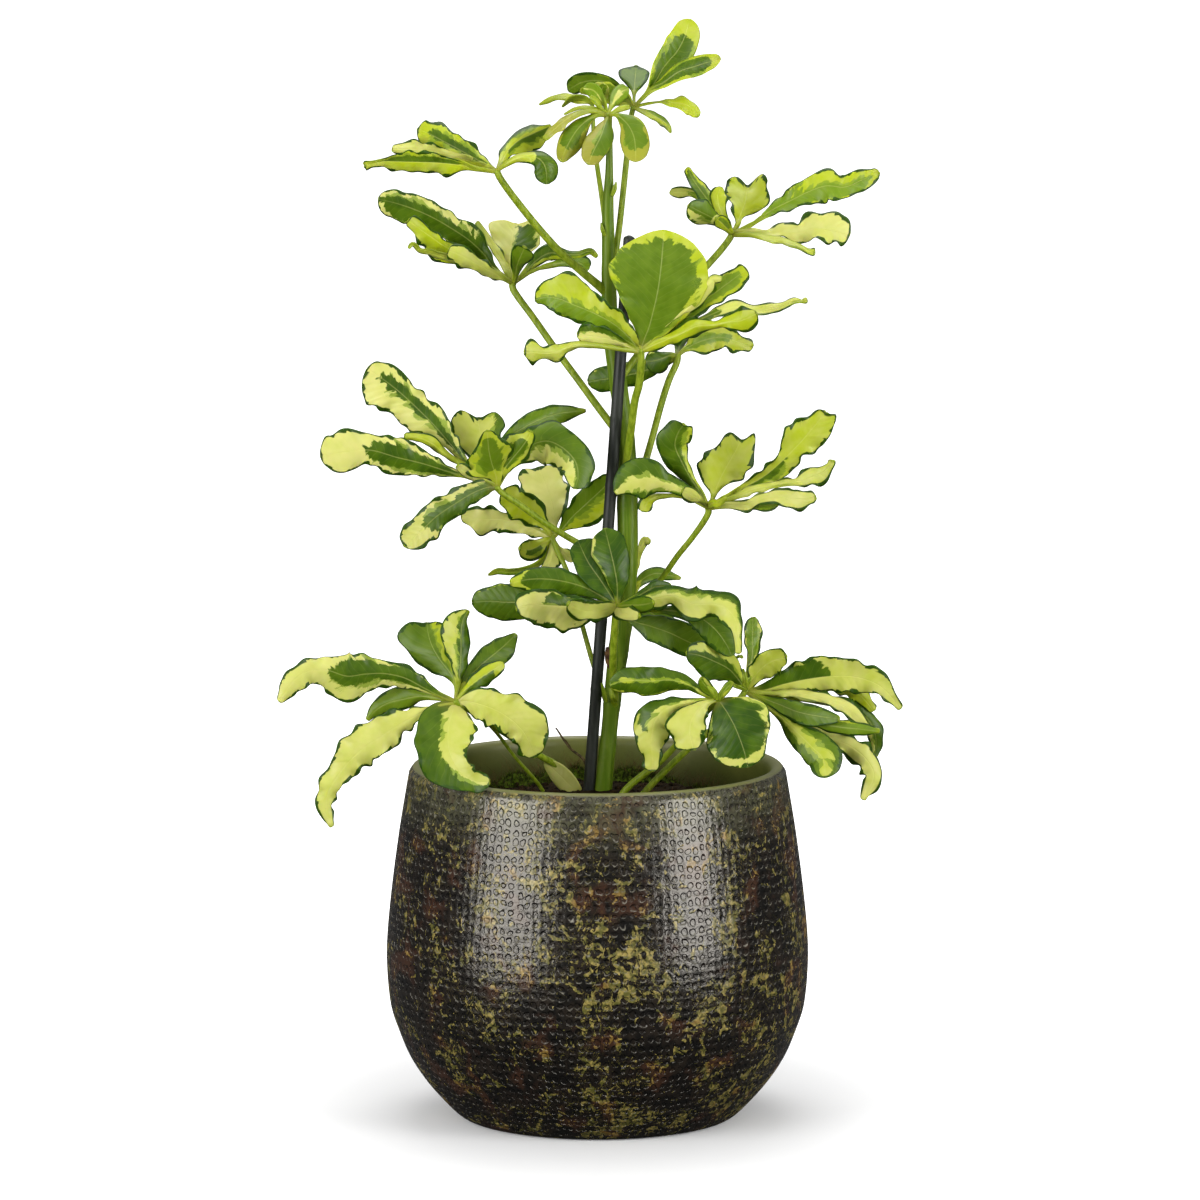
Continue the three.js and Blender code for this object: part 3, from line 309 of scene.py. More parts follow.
def tube(name: str, centers: np.ndarray, radii: np.ndarray, sides: int) -> Piece:
    """Makes a round tube along a path.

    Args:
        name: Name of the piece.
        centers: Points of the path in mm.
        radii: Radius at each point in mm, or one radius for each point and side.
        sides: Count of sides.

    Returns:
        The tube, open at its seam and its ends until it is sealed.
    """
    ahead = np.gradient(centers, axis=0)
    ahead /= np.linalg.norm(ahead, axis=1)[:, None]
    aside = np.array([1.0, 0.0, 0.0]) - ahead * ahead[:, :1]
    aside /= np.linalg.norm(aside, axis=1)[:, None]
    up = np.cross(ahead, aside)
    turn = np.linspace(0, math.tau, sides + 1)
    reach = radii if radii.ndim == 2 else np.repeat(radii[:, None], sides + 1, axis=1)
    net = (centers[:, None] + aside[:, None] * (reach * np.cos(turn))[..., None]
           + up[:, None] * (reach * np.sin(turn))[..., None])
    return shaped_grid(name, net)


@dataclass(frozen=True)
class Pattern:
    """Variegation of one leaflet, in shares of its half width and of its length.

    left and right are where the green band starts and ends, margins are the shares of the length
    from which the pale margins start, span is the band's stretch along the blade. green lightens
    the band, tone takes the margins from cream at 0 over lime at 1 to bronze at 2, and rim widens
    the dark rim, which is partly the leaf's green edge and partly painted shade of curled edges.
    """

    left: tuple[float, float] = (0, 0)
    right: tuple[float, float] = (0, 0)
    span: tuple[float, float] = (0, 1.1)
    green: float = 0.0
    tone: float = 0.9
    rim: float = 0.07
    margins: tuple[float, float] = (0, 0)


@dataclass(frozen=True)
class Blade:
    """One leaflet: depths (middle, tip, left edge, right edge), wave height, tip roundness, rows.

    A row is a place on the midrib and the half widths to its left and right, or one for both.
    horns are how far the tip's left corner, middle and right corner reach out, in grid steps.
    """

    depths: tuple[float, float, float, float]
    wave: float
    cap: float
    rows: Rows
    start: tuple[float, float, float] | None = None
    horns: tuple[float, float, float] = (0, 0, 0)

    @property
    def full_rows(self) -> Rows:
        """Rows with both half widths written out."""
        return [(*row, row[-1]) if len(row) == 3 else row for row in self.rows]


@dataclass(frozen=True)
class Leaf:
    """One compound leaf: its hub, its stems and its leaflets.

    The hub is a place on the grid and its depth; a stem's row adds the radius, both in mm.
    """

    hub: tuple[float, float, float]
    stems: list[Rows]
    blades: list[Blade]


LEAVES: dict[str, Leaf] = {
    "leaf_top_right": Leaf(hub=(633.5, 108, 24), stems=[
        [(633.5, 106, 24, 1.6), (631, 118, 24, 1.8), (626.5, 160, 20, 2), (619.5, 225, 11, 2.1),
         (616, 250, 7, 2.2), (611, 290, 0, 2.4)],
    ], blades=[
        Blade((3, 10, -3, 3), 0.5, 0.9, [(634, 107, 1.3), (643, 98, 1.5), (649.5, 90, 2.5),
              (656, 80, 6.5, 6.3), (664.5, 66, 11), (678, 50, 15.5), (685, 36, 14, 14.5),
              (690, 19, 8)]),
        Blade((-7, -20, 6, -5), 0.5, 0.9, [(634, 107, 1.3), (650, 91, 2), (664, 82.5, 4.6),
              (680, 71.5, 8), (697, 66, 9.3), (711, 61, 7), (720, 57, 3)]),
        Blade((17, 44, 3, 3), 0.8, 0.5, [(634, 107, 1.4), (634, 93, 1.6, 1.8), (634.5, 86, 7, 7.5),
              (635, 79, 15, 12.5), (635.5, 72, 16, 13), (636, 66.5, 10, 12.5)]),
        Blade((-10, -27, 7, -6), 0.8, 0.9, [(634, 107, 1.2), (648, 103.5, 1), (661, 102, 1),
              (672, 102.7, 4), (684, 104.5, 6.6), (693, 109, 6), (698.5, 116.5, 3.5)]),
        Blade((-17, -41, 8, -8), 1, 0.9, [(634, 108, 1.2), (645, 112, 2.2), (655, 116.5, 4),
              (663, 121.5, 4), (668, 127, 2.5), (671, 133, 0.7)]),
        Blade((28, 51, 6, -6), 0.5, 0.9, [(633, 106, 1.3), (624, 95, 3), (612, 85, 6, 5.5),
              (597, 80.5, 7.5, 7), (581, 82.5, 9), (568, 90, 7)]),
        Blade((18, 34, 5, -5), 0.8, 0.9, [(633, 107, 1.3), (625, 100, 5, 6), (610, 94, 10),
              (595, 90, 6), (580, 91, 2)]),
    ]),
    "leaf_top_front": Leaf(hub=(608, 115.5, -4), stems=[
        [(609.4, 134.8, 0, 2.1), (608.6, 124, -2, 2.1), (608, 115.5, -4, 2.4)],
    ], blades=[
        Blade((-21, -33, 3, 3), 0.5, 0.9, [(608, 115.5, 1.3), (616, 115, 1.5), (622, 118.5, 5, 4.5),
              (629, 126, 12, 9.5), (634, 137, 14), (635.5, 149, 13), (635.5, 162, 8)]),
        Blade((-24, -39, 3, 3), 0.5, 0.9, [(608, 116, 1.3), (606.5, 120, 3, 2), (604, 127, 9, 6),
              (600, 138, 13, 11), (594, 150, 12), (588, 164.5, 7)]),
        Blade((-18, -30, 4, 4), 0.5, 0.9, [(608, 116, 1.3), (597, 115.5, 1.5), (589, 119, 4, 3.5),
              (579, 127.5, 10, 7.5), (571, 139, 13, 10.5), (565, 151, 10, 8.5), (561, 162, 3)]),
        Blade((-12, -21, -8, 8), 1, 0.9, [(608, 116, 1.3), (598, 112, 1.2), (588, 111.5, 1.6),
              (577, 114.5, 2.5), (565, 121, 4), (555, 129, 4.6), (544, 139.5, 1.6)]),
        Blade((6, 15, -6, 6), 0.6, 0.9, [(608, 115, 1.2), (597, 109, 1.2), (585, 107.5, 1.2, 1.5),
              (574, 109.5, 1.3), (564, 114.5, 0.7)]),
        Blade((12, 26, 3, -3), 0.8, 0.8, [(607, 115, 1.3), (605, 106, 1.6), (600, 97, 4),
              (593, 90, 7, 6), (584, 88, 4)]),
        Blade((12, 24, 3, 3), 0.8, 0.7, [(608, 115, 1.3), (611, 107, 2), (616, 99, 6),
              (622, 92, 8, 7), (628, 89, 5)]),
        Blade((4, 6, 2, 2), 0.4, 0.9, [(608, 116, 1.3), (614, 112, 1.5), (622, 108.5, 2.6),
              (630, 107, 1.6)]),
        Blade((2, 4, 2, 2), 0.4, 0.9, [(607, 115, 1.3), (601, 108, 1.4), (596, 101, 3, 2.4),
              (590, 96, 1.2)]),
    ]),
    "leaf_top_back": Leaf(hub=(592, 104, 22), stems=[
        [(592, 102, 22, 1.3), (593, 118, 21, 1.4), (594, 140, 19, 1.5), (597, 165, 16, 1.6),
         (601.5, 195, 9, 1.7), (606.5, 232, 0, 1.8)],
    ], blades=[
        Blade((10, 17, -5, 5), 1, 0.9, [(592, 104, 1.2), (589, 102, 2), (580, 99.5, 3.6),
              (568, 97, 3), (557, 97.5, 2), (549, 100, 2.2), (539, 105, 0.8)]),
        Blade((2, -2, 6, -6), 0.6, 0.9, [(592, 104, 1.5), (584, 98.5, 2.5), (572, 98.5, 2.2),
              (562, 107, 0.8)]),
        Blade((-2, -4, 3, 3), 1, 0.6, [(592, 104, 1.5), (596, 98, 6, 5), (601, 91, 9, 8),
              (605, 84, 6)]),
    ]),
    "leaf_upper_left": Leaf(hub=(497, 172, -42), stems=[
        [(496.5, 170, -42, 1.9), (500, 178, -41, 2.3), (515, 199, -34, 2.4), (540, 230, -23, 2.5),
         (560, 252, -15, 2.6), (580, 270, -8, 2.7), (609, 294, 0, 3)],
    ], blades=[
        Blade((-7, -18, 8, -4), 2.2, 0.3, [(497, 172, 1.6), (478, 169, 1.8), (464, 165.5, 5, 3),
              (452, 164, 12, 6), (438, 162.5, 11, 8), (420, 162, 8, 10), (400, 161.5, 10, 9),
              (384, 161, 6.5, 3), (372, 163, 3.5, 2), (364, 165, 5, 4)]),
        Blade((18, 43, 4, 4), 2, 0.6, [(497, 171, 1.6), (489, 167, 2.2, 3), (476, 159, 8),
              (460, 150, 13), (443, 141, 16, 13), (430, 134, 15, 13), (418, 129, 9)]),
        Blade((22, 40, 8, -2), 2, 0.6, [(497, 171, 1.4), (470, 160, 3), (440, 152, 5),
              (415, 149, 5, 8), (400, 149, 4, 6), (392, 149, 3, 4)]),
        Blade((32, 61, 5, 5), 1.6, 0.9, [(497, 171, 1.6), (500.5, 164, 2.5), (507, 152, 6.5, 6),
              (518, 141, 8, 14), (532, 134, 8, 17), (541, 130, 5, 12), (551, 126, 1.5)]),
        Blade((-14, -14, 9, 3), 1.6, 0.9, [(497, 171, 1.5), (505, 164.5, 1.5, 2.5),
              (516, 158.5, 3, 4), (529, 156, 4, 7), (540, 159.5, 8, 9), (546, 169, 12),
              (546.5, 184, 7, 8)]),
    ]),
    "leaf_mid_left": Leaf(hub=(513, 284, 30), stems=[
        [(512, 282, 30, 2), (513.5, 290, 29, 2.3), (532.5, 316.5, 23, 2.3), (557.5, 352, 16, 2.4),
         (577.5, 379, 10, 2.4), (598, 407, 5, 2.5), (623, 440, 0, 2.6)],
    ], blades=[
        Blade((-3, -10, 5, 2), 2, 0.8, [(513, 284, 1.8), (500, 274, 2), (490, 263, 4),
              (483, 253, 7.5, 8), (469, 240, 12, 14), (451, 228, 13, 12.5), (432, 217, 14),
              (411, 208, 16, 13), (392, 202, 15, 12), (378, 199, 8)]),
        Blade((-16, -29, 7, 3), 2.4, 0.6, [(513, 284, 1.6), (498, 273, 2), (480, 264, 3),
              (462, 256, 11, 8), (446, 247, 16, 6), (430, 236, 13, 6), (416, 226, 8),
              (408, 220, 5, 6)]),
        Blade((-19, -26, 8, 3), 2, 0.8, [(513, 284, 1.6), (502, 277, 3, 2), (490, 271, 8, 5),
              (475, 263, 8, 7), (460, 255, 10, 9), (448, 250, 6, 5)]),
        Blade((-16, -35, 5, -3), 1, 0.9, [(513, 284, 1.4), (495, 274, 2), (470, 264, 3),
              (446, 257, 3), (432, 252.5, 3, 2.5), (420, 249.5, 2.5, 2), (413, 244.5, 2),
              (408, 248, 1.5)]),
        Blade((16, 29, -6, 6), 1, 0.9, [(513, 284, 1.4), (506, 268, 3), (495, 250, 4, 5),
              (484, 233, 2.5, 3), (476, 222, 1.5, 2)]),
        Blade((22, 45, 3, 3), 2, 0.4, [(513, 284, 1.8), (512, 269, 3, 4), (511, 256, 8, 12),
              (512, 243, 17, 27), (514, 231, 25, 27), (516, 221, 22, 20)], horns=(0, -3, 6)),
        Blade((-13, -26, -4, 4), 1, 0.4, [(513, 284, 1.6), (515, 275, 2, 3), (517, 265, 6),
              (521, 255, 9.5, 11), (525, 247, 10, 11)]),
        Blade((14, 22, 3, 4), 1.2, 0.9, [(513, 284, 1.6), (527, 270, 2.5), (537, 260, 6, 5),
              (549, 253, 8), (562, 254, 5, 7), (578, 254.5, 3, 4), (590, 251, 3),
              (597.5, 257, 1.5)]),
        Blade((12, 24, 2, 1), 1, 0.9, [(513, 284, 1.5), (535, 270, 1.5), (556, 264, 3),
              (570, 262, 5), (582, 264, 8, 7), (588, 270, 5)]),
    ]),
    "leaf_center": Leaf(hub=(640.5, 351, -46), stems=[
        [(641, 348, -46, 2.1), (641, 365, -43, 2.5), (639, 385, -36, 2.6), (635, 400, -30, 2.6),
         (631, 430, -19, 2.6), (627, 458, -10, 2.7), (625, 484, 1, 2.8)],
    ], blades=[
        Blade((-9, -4, 3, 3), 1.4, 0.9, [(640.5, 351, 2), (644, 340, 7, 9), (649, 327, 18, 20),
              (653, 312, 30), (657, 295, 43, 42), (660, 276, 51, 49), (662, 257, 45, 43),
              (664, 230, 27, 29)]),
        Blade((-3, 6, 4, -3), 2.4, 0.6, [(640.5, 351, 1.8), (630, 338, 5, 9), (614, 324, 10, 13),
              (596, 314, 13, 16), (577, 306, 15, 24), (560, 299, 16, 28), (547, 297, 9, 16),
              (535, 299, 5)]),
        Blade((-10, -16, 6, -4), 1.4, 0.8, [(640.5, 351, 1.8), (626, 344, 4, 3), (608, 338.5, 7, 9),
              (591, 336, 8, 12), (577, 335, 6, 10)]),
        Blade((-19, -38, 8, 3), 1.6, 0.9, [(640.5, 352, 1.6), (605, 346.5, 2), (580, 345, 2.5, 3),
              (566, 348, 4, 5), (555, 352, 10, 9), (544, 353, 7, 5), (534, 352, 11),
              (524, 352, 11, 12)]),
        Blade((3, 10, 4, -4), 1.4, 0.7, [(640.5, 351, 1.8), (655, 339, 5, 4), (672, 325, 7.5, 7),
              (692, 309, 8, 9), (712, 295, 9, 10), (731, 281, 9.5, 11), (747, 269, 8, 7.5)]),
        Blade((-6, -6, 4, 7), 1.6, 0.9, [(640.5, 351, 1.5), (662, 329, 3), (684, 311, 4),
              (698, 299, 4, 7), (706, 289, 4, 7), (712, 279, 3, 6), (722, 278, 2.5, 3)]),
        Blade((-16, -32, 6, 5), 2.4, 0.8, [(640.5, 351, 1.8), (660, 342, 4, 6), (680, 334, 6, 8),
              (697, 326, 8.5, 7), (714, 325, 3.5), (728, 322, 7, 6.5), (742, 320, 11, 13),
              (757, 313, 6)]),
        Blade((-3, -10, 6, -6), 2.2, 0.9, [(640.5, 350, 1.5), (680, 330, 3), (706, 318, 3),
              (720, 311, 5), (736, 307, 7, 5), (752, 310, 5, 4), (768, 309, 5.5, 5),
              (784, 305, 3, 4), (795, 301.5, 4, 2), (802, 301, 1, 1.5), (807.5, 300, 4.5)]),
    ]),
    "leaf_center_back": Leaf(hub=(677.5, 356, 40), stems=[
        [(678, 354, 40, 1.9), (677, 362, 39, 2.2), (669, 380, 34, 2.3), (661, 405, 26, 2.3),
         (653, 435, 17, 2.3), (646, 460, 11, 2.4), (641, 482, 5, 2.5), (628, 506, 1, 2.6)],
    ], blades=[
        Blade((11, 20, 4, -4), 2, 0.8, [(677.5, 356, 1.8), (686, 349, 3, 2.5), (697, 343, 10, 12),
              (711, 338.5, 11), (725, 338, 11, 10), (737, 342, 8, 10), (753, 347, 4.5)]),
        Blade((25, 62, -4, 6), 1.4, 0.8, [(677.5, 356, 1.6), (679, 346, 4), (683, 336, 6),
              (690, 325, 4)]),
        Blade((-4, -8, 4, 4), 1.4, 0.7, [(677.5, 356, 1.8), (670, 355.5, 3), (661, 359, 12, 8),
              (652, 361, 12, 9), (645, 362, 6, 5)]),
        Blade((6, 14, 4, 4), 1.4, 0.6, [(677.5, 357, 1.6), (658, 366, 5), (636, 373, 11, 12),
              (612, 378, 12, 13), (598, 380, 11), (588, 382, 5)]),
    ]),
    "leaf_upper_right": Leaf(hub=(732, 234, 26), stems=[
        [(733, 231, 26, 1.9), (730, 238, 26, 2.2), (721, 250, 25, 2.3), (709.5, 263, 23, 2.3),
         (690, 285, 20, 2.3), (665, 318, 15, 2.4), (640, 352, 8, 2.5), (614, 386, 1, 2.6)],
    ], blades=[
        Blade((-3, -14, 3, -5), 2, 0.9, [(732, 234, 1.8), (747, 227, 1.8), (761, 218, 2),
              (773, 209.5, 5), (790, 201, 9.5, 8.5), (808, 192, 13.5, 13), (826, 186, 16, 15),
              (845, 187, 10.5, 11), (862, 180, 11, 10.5), (879, 171.5, 4)]),
        Blade((-20, -37, 4, -3), 2.4, 0.7, [(732, 234, 1.8), (748, 232, 3.5, 3), (768, 233, 3),
              (784, 232, 9, 5), (799, 233, 11, 12), (815, 228, 15, 11), (832, 230, 16, 12),
              (850, 235, 15, 13)]),
        Blade((-27, -48, 7, -5), 1.8, 0.6, [(732, 235, 1.5), (752, 235, 2, 2.5), (768, 238, 3, 3.5),
              (786, 242, 3), (800, 247, 2, 2.5), (809, 251.5, 2.5, 3.5), (815, 253, 4.5, 4)]),
        Blade((17, 41, 3, 3), 2, 0.3, [(732, 234, 2), (737, 225, 2, 2.5), (740, 216, 6.5, 4.5),
              (744, 206, 16, 18), (746.5, 195, 19.5, 21.5), (748, 178, 18)], horns=(2, -8, 7)),
        Blade((14, 31, -4, 6), 1.4, 0.9, [(732, 234, 1.6), (724, 221, 2.5), (714, 208, 5.5, 8),
              (704, 195, 6, 8), (694, 181, 5), (686.5, 168, 3)]),
        Blade((3, 10, 6, -4), 1.4, 0.9, [(732, 234, 1.6), (726, 221, 3), (720, 208, 7, 8),
              (718, 196, 8, 10), (721, 187, 4)]),
        Blade((24, 51, 5, -5), 1, 0.9, [(732, 234, 1.5), (715, 212, 2), (700, 198, 2.5),
              (690, 192.5, 4), (679, 192, 6, 5), (670, 192, 3)]),
        Blade((-17, -27, 4, 4), 1.2, 0.9, [(732, 234, 1.5), (722, 224, 2.5), (711, 217, 9, 8),
              (701, 212, 14, 12), (688, 205, 9)]),
        Blade((-24, -41, 3, 3), 1, 0.7, [(732, 234, 1.5), (728, 229, 4), (722, 223, 7),
              (716, 218, 5)]),
    ]),
    "leaf_left": Leaf(hub=(497, 488, -38), stems=[
        [(496.5, 485, -38, 2), (499, 490.5, -37, 2), (520, 505, -30, 2.1), (545, 523, -20, 2.1),
         (578, 543, -6, 2.2), (600, 554, 2, 2.3), (626, 568, 2, 2.4)],
    ], blades=[
        Blade((-6, -16, 4, 2), 2.2, 0.8, [(497, 488, 1.8), (478, 480, 2), (461, 475.5, 2, 2.5),
              (445, 470.5, 5.5, 6), (421, 463, 13), (396, 457, 18, 19), (370, 450, 13.5, 16),
              (346, 452, 20, 22), (320, 455.5, 13, 14)]),
        Blade((13, 19, 4, 2), 2.2, 0.8, [(497, 487, 1.8), (481, 476, 2), (466, 463.5, 2.5, 3),
              (452, 446, 6, 8), (434, 425, 15), (417, 408, 23, 14.5), (402, 394, 23, 15),
              (387, 382, 28, 16), (367, 368, 20, 14)]),
        Blade((2, -5, 7, 4), 1.6, 0.6, [(497, 487, 1.4), (472, 470, 1.8), (444, 453, 3),
              (432, 443, 4, 8), (418, 437.5, 4.5, 4), (404, 436, 3.5)]),
        Blade((19, 38, 3, 3), 2, 0.35, [(497, 488, 1.8), (491, 472, 4), (485, 454, 15, 14),
              (481, 437, 23, 21), (479, 423, 29, 25), (479, 413, 25, 24)], horns=(5, -5, 4)),
        Blade((-17, -31, 4, 6), 2.4, 0.9, [(497, 487, 1.6), (496, 476, 9, 8), (492, 464, 27, 20),
              (489, 451, 18, 23), (488, 441, 9, 15), (487, 430, 3, 4)]),
        Blade((-11, -19, 6, 4), 2.4, 0.9, [(497, 487, 1.6), (502, 473, 8, 5), (511, 460, 17, 9),
              (521, 448, 19, 10), (528, 438, 9, 6), (531, 431, 4, 3.5)]),
        Blade((30, 50, 2, 4), 1.4, 0.9, [(497, 487, 1.6), (498, 462, 2.5), (506, 440, 4, 5),
              (521, 429, 8.5, 9), (541, 419, 10, 11), (561, 413, 8, 9.5), (586, 410.5, 1, 1.2)]),
        Blade((3, -6, 8, 8), 1.4, 0.9, [(497, 487, 1.8), (506, 471, 2.5, 3), (517, 458, 5, 8),
              (530, 446, 14, 19), (547, 441, 19, 25), (563, 448, 19, 21), (575, 461, 17, 16),
              (578, 475, 15, 14), (575, 489, 8)]),
        Blade((-26, -54, 5, -3), 2.2, 0.8, [(497, 487, 2), (488, 487, 7, 8), (471, 494, 9, 12),
              (453, 505, 12, 13), (437, 516, 13, 15), (423, 529, 15), (405, 547, 9, 14)]),
        Blade((-6, -14, 5, -4), 1, 0.8, [(497.3, 486.6, 1.4, 1.6), (478, 479, 3), (467, 473, 5, 6),
              (457, 465, 4)]),
    ]),
    "leaf_left_low": Leaf(hub=(552.6, 538, 46), stems=[
        [(552, 535, 46, 1.8), (554, 543, 45, 1.8), (567.5, 573, 38, 1.7), (583, 628, 25, 1.7),
         (593, 663, 16, 1.8), (604, 695, 8, 1.9), (614, 722, 1, 2.2)],
    ], blades=[
        Blade((9, 15, 5, -4), 1.8, 0.9, [(552.6, 538, 1.6), (537, 530, 7, 3), (518, 524, 10, 6),
              (500, 519, 11, 9), (482, 519, 15, 13), (461, 515, 5, 4)]),
        Blade((-6, -12, 3, -3), 1.8, 0.7, [(552.6, 538, 1.6), (546, 528, 3, 4), (536, 517, 10, 12),
              (525, 507, 16, 12), (514, 499, 16, 12), (503, 490, 11, 9)]),
        Blade((18, 39, 3, 3), 1.6, 0.4, [(552.6, 538, 1.8), (554, 524, 5, 4), (553, 508, 13),
              (548, 491, 22, 20), (542, 475, 25, 18), (539, 467, 19, 15)], horns=(6, 0, 0)),
        Blade((-8, -20, -3, 5), 1.4, 0.9, [(552.6, 538, 1.8), (561, 530, 3, 2.5), (572, 517, 9, 15),
              (587, 503, 13, 22), (601, 490, 13, 20), (614, 477, 6)]),
        Blade((-9, -21, 4, 4), 1.8, 0.7, [(552.6, 538, 1.5), (545, 542, 4), (537, 547, 10),
              (529, 550, 11), (519, 548, 7)]),
        Blade((-6, -15, 4, 4), 1.2, 0.6, [(552.6, 539, 1.5), (552, 552, 6, 4), (549, 563, 9, 6),
              (543, 574, 6)]),
        Blade((21, 45, 5, -5), 1, 0.9, [(552.6, 539, 1.4), (542, 560, 2), (528, 569, 3),
              (510, 571.5, 3.5, 2.5), (498, 571, 3, 2.5), (488, 575, 0.8)]),
        Blade((18, 39, 3, 3), 0.8, 0.7, [(552.6, 539, 1.5), (560, 550, 3), (567, 556, 6, 5),
              (572, 561, 4)]),
    ]),
    "leaf_right": Leaf(hub=(708, 508, -26), stems=[
        [(708.5, 505, -26, 2), (708, 514, -25, 2.2), (693.5, 536, -18, 2), (677.5, 556, -11, 2),
         (663.5, 576, -5, 2), (645.5, 598, 1, 2.1), (622, 625, 1, 2.3)],
    ], blades=[
        Blade((-6, -6, 2, 3), 1.6, 0.9, [(708, 508, 1.8), (697, 496, 2.5), (683, 489, 7, 6),
              (666, 483, 9, 10), (649, 478.5, 18, 19.5), (634, 480, 18.5, 20), (624, 485, 12, 13),
              (615, 493, 2)]),
        Blade((7, -3, 4, 3), 1.2, 0.6, [(708, 508, 1.8), (701, 494, 3), (690, 477, 7, 4),
              (681, 460, 14, 7), (675, 445, 18, 14), (678, 433, 15), (684, 424, 12, 10)],
              horns=(0, 0, 5)),
        Blade((17, 34, 3, 3), 2, 0.5, [(708, 507, 1.8), (713.5, 495, 2.5), (717, 486, 14, 7),
              (722, 475, 27, 15), (729, 462, 22, 21), (736.5, 449, 17, 19), (742, 437, 16, 14)],
              horns=(2, -3, 11)),
        Blade((-3, -10, -4, 4), 2, 0.5, [(708, 507, 1.8), (727, 497, 2.5), (745, 487, 4, 5),
              (763, 477, 6.5, 12), (780, 463, 8, 15), (793, 450, 15, 12), (805, 437, 20, 17),
              (817, 423, 12, 19), (826, 412, 9, 10)], horns=(0, 0, 6)),
        Blade((-17, -34, 6, -5), 2, 0.9, [(708, 507, 1.6), (730, 499, 2), (755, 489, 4),
              (780, 485, 5, 2), (798, 482, 5, 4), (812, 477, 11, 9), (822, 473, 8), (830, 466, 4),
              (833, 460, 5)]),
        Blade((-31, -54, 4, -4), 2.2, 0.9, [(708, 508, 1.8), (727, 505.5, 3), (745, 505, 5, 6.5),
              (760, 499, 4.5, 5), (776, 496, 6, 7), (792, 499, 11, 11.5), (804, 499, 9),
              (816, 497, 4.5)]),
        Blade((-14, -31, 6, -4), 1, 0.9, [(708, 508, 1.6), (735, 504, 3), (755, 505, 5),
              (770, 505, 4, 5), (779, 503, 2)]),
        Blade((-24, -37, 3, 3), 0.8, 0.9, [(708, 508, 1.5), (700, 500, 2.5), (692, 495, 7),
              (682, 490, 7)]),
        Blade((-24, -34, 3, -3), 0.8, 0.9, [(708, 508, 1.6), (712, 503, 4), (718, 503, 4, 3),
              (727, 497, 1.8)]),
        Blade((2, 4, 4, 3), 1, 0.7, [(708, 508, 1.4), (685, 497, 1.5), (662, 496, 2), (652, 499, 4),
              (646, 504, 7, 6), (644, 512, 5)]),
    ]),
    "leaf_front": Leaf(hub=(617, 606, -44), stems=[
        [(617, 603, -44, 2.2), (616, 612, -43, 2.5), (614, 640, -32, 2.5), (613, 672, -18, 2.5),
         (614.5, 694, -7, 2.7), (613, 712, 0, 3)],
    ], blades=[
        Blade((-3, 12, 4, 4), 1, 0.8, [(617, 606, 1.8), (617.5, 596, 3, 4), (617, 583, 8.5, 10),
              (614, 566, 13, 15), (610, 549, 18, 17), (605, 529, 12)]),
        Blade((3, 18, -2, 4), 1, 0.6, [(617, 606, 1.8), (609, 593, 5, 6), (599, 578, 13, 12),
              (588, 562, 14, 18), (578, 541, 10, 16)]),
        Blade((15, 27, 6, 4), 1.4, 0.8, [(617, 606, 1.6), (590, 603, 4), (560, 601, 10, 9),
              (532, 602, 16, 14), (505, 602, 18), (488, 601, 15, 14), (472, 602, 8)]),
        Blade((3, 3, 2, 5), 1.4, 0.8, [(617, 606, 1.6), (601, 596, 4), (581, 586, 10, 8),
              (556, 580, 14, 12), (532, 579, 12, 10), (510, 583, 4)]),
        Blade((-15, -33, 6, 3), 2, 0.7, [(617, 606, 1.8), (602, 607, 5, 4), (583, 607, 20, 8),
              (563, 606, 25, 12), (543, 605, 20, 17), (529, 605, 19, 14), (516, 609, 10, 9)]),
        Blade((-24, -51, 4, -3), 1.6, 0.7, [(617, 606, 2), (607, 609, 9, 8), (595, 611, 9),
              (581, 610, 10, 9), (568, 603, 5)]),
        Blade((-18, -39, 3, 3), 1.2, 0.8, [(616, 606, 3), (621, 611, 8), (630, 615, 7),
              (640, 616, 4)]),
        Blade((-21, -39, 6, 2), 2.2, 0.9, [(617, 606, 1.8), (636, 602, 4), (655, 599, 9, 10),
              (674, 596, 9), (693, 604, 18), (712, 604, 12, 11), (727, 609, 14), (737, 624, 5, 11),
              (738, 640, 4), (738, 654, 3)]),
        Blade((6, 12, 3, -3), 1.2, 0.9, [(617, 607, 1.8), (631, 620, 3), (650, 626, 11, 13),
              (670, 633, 15), (689, 642, 16, 15), (710, 650, 9, 8)]),
        Blade((-6, -3, 4, -2), 1.2, 0.9, [(617, 607, 1.5), (660, 610, 3), (688, 613, 8),
              (704, 620, 12, 13), (717, 631, 14, 15), (727, 645, 12), (732, 656, 5)]),
        Blade((3, 12, 2, 4), 1, 0.9, [(617, 606, 1.6), (632, 600, 2.5), (645, 592, 4, 5),
              (657, 586.5, 5.5, 5), (671, 586, 3)]),
        Blade((-27, -48, 2, 4), 1, 0.8, [(617, 606, 1.6), (627, 605, 4), (637, 605, 8),
              (646, 604, 8), (654, 602, 4, 5)]),
    ]),
    "leaf_rear": Leaf(hub=(632, 600, 30), stems=[
        [(632.5, 597, 30, 1.8), (631, 607, 28, 2), (627, 625, 16, 2.1), (621, 652, 0, 2.3)],
    ], blades=[
        Blade((4, 10, 4, -4), 1.2, 0.9, [(632, 600, 1.4), (637, 586, 3), (646, 577, 6),
              (657, 573.5, 6), (668, 575.5, 4.5), (681, 578.5, 1)]),
        Blade((-4, -8, 5, 4), 1, 0.9, [(632, 600, 1.4), (634, 578, 2), (637, 561, 5, 3),
              (641, 549, 4, 3), (645, 540, 4), (650.5, 543, 2.5)]),
        Blade((34, 62, -4, 6), 1.6, 0.8, [(632, 600, 1.5), (624, 588, 5), (614, 578, 13, 12),
              (604, 572, 15, 14), (592, 570, 8)]),
        Blade((36, 64, 4, -4), 1.6, 0.8, [(632, 600, 1.5), (640, 606, 5), (650, 612, 12, 9),
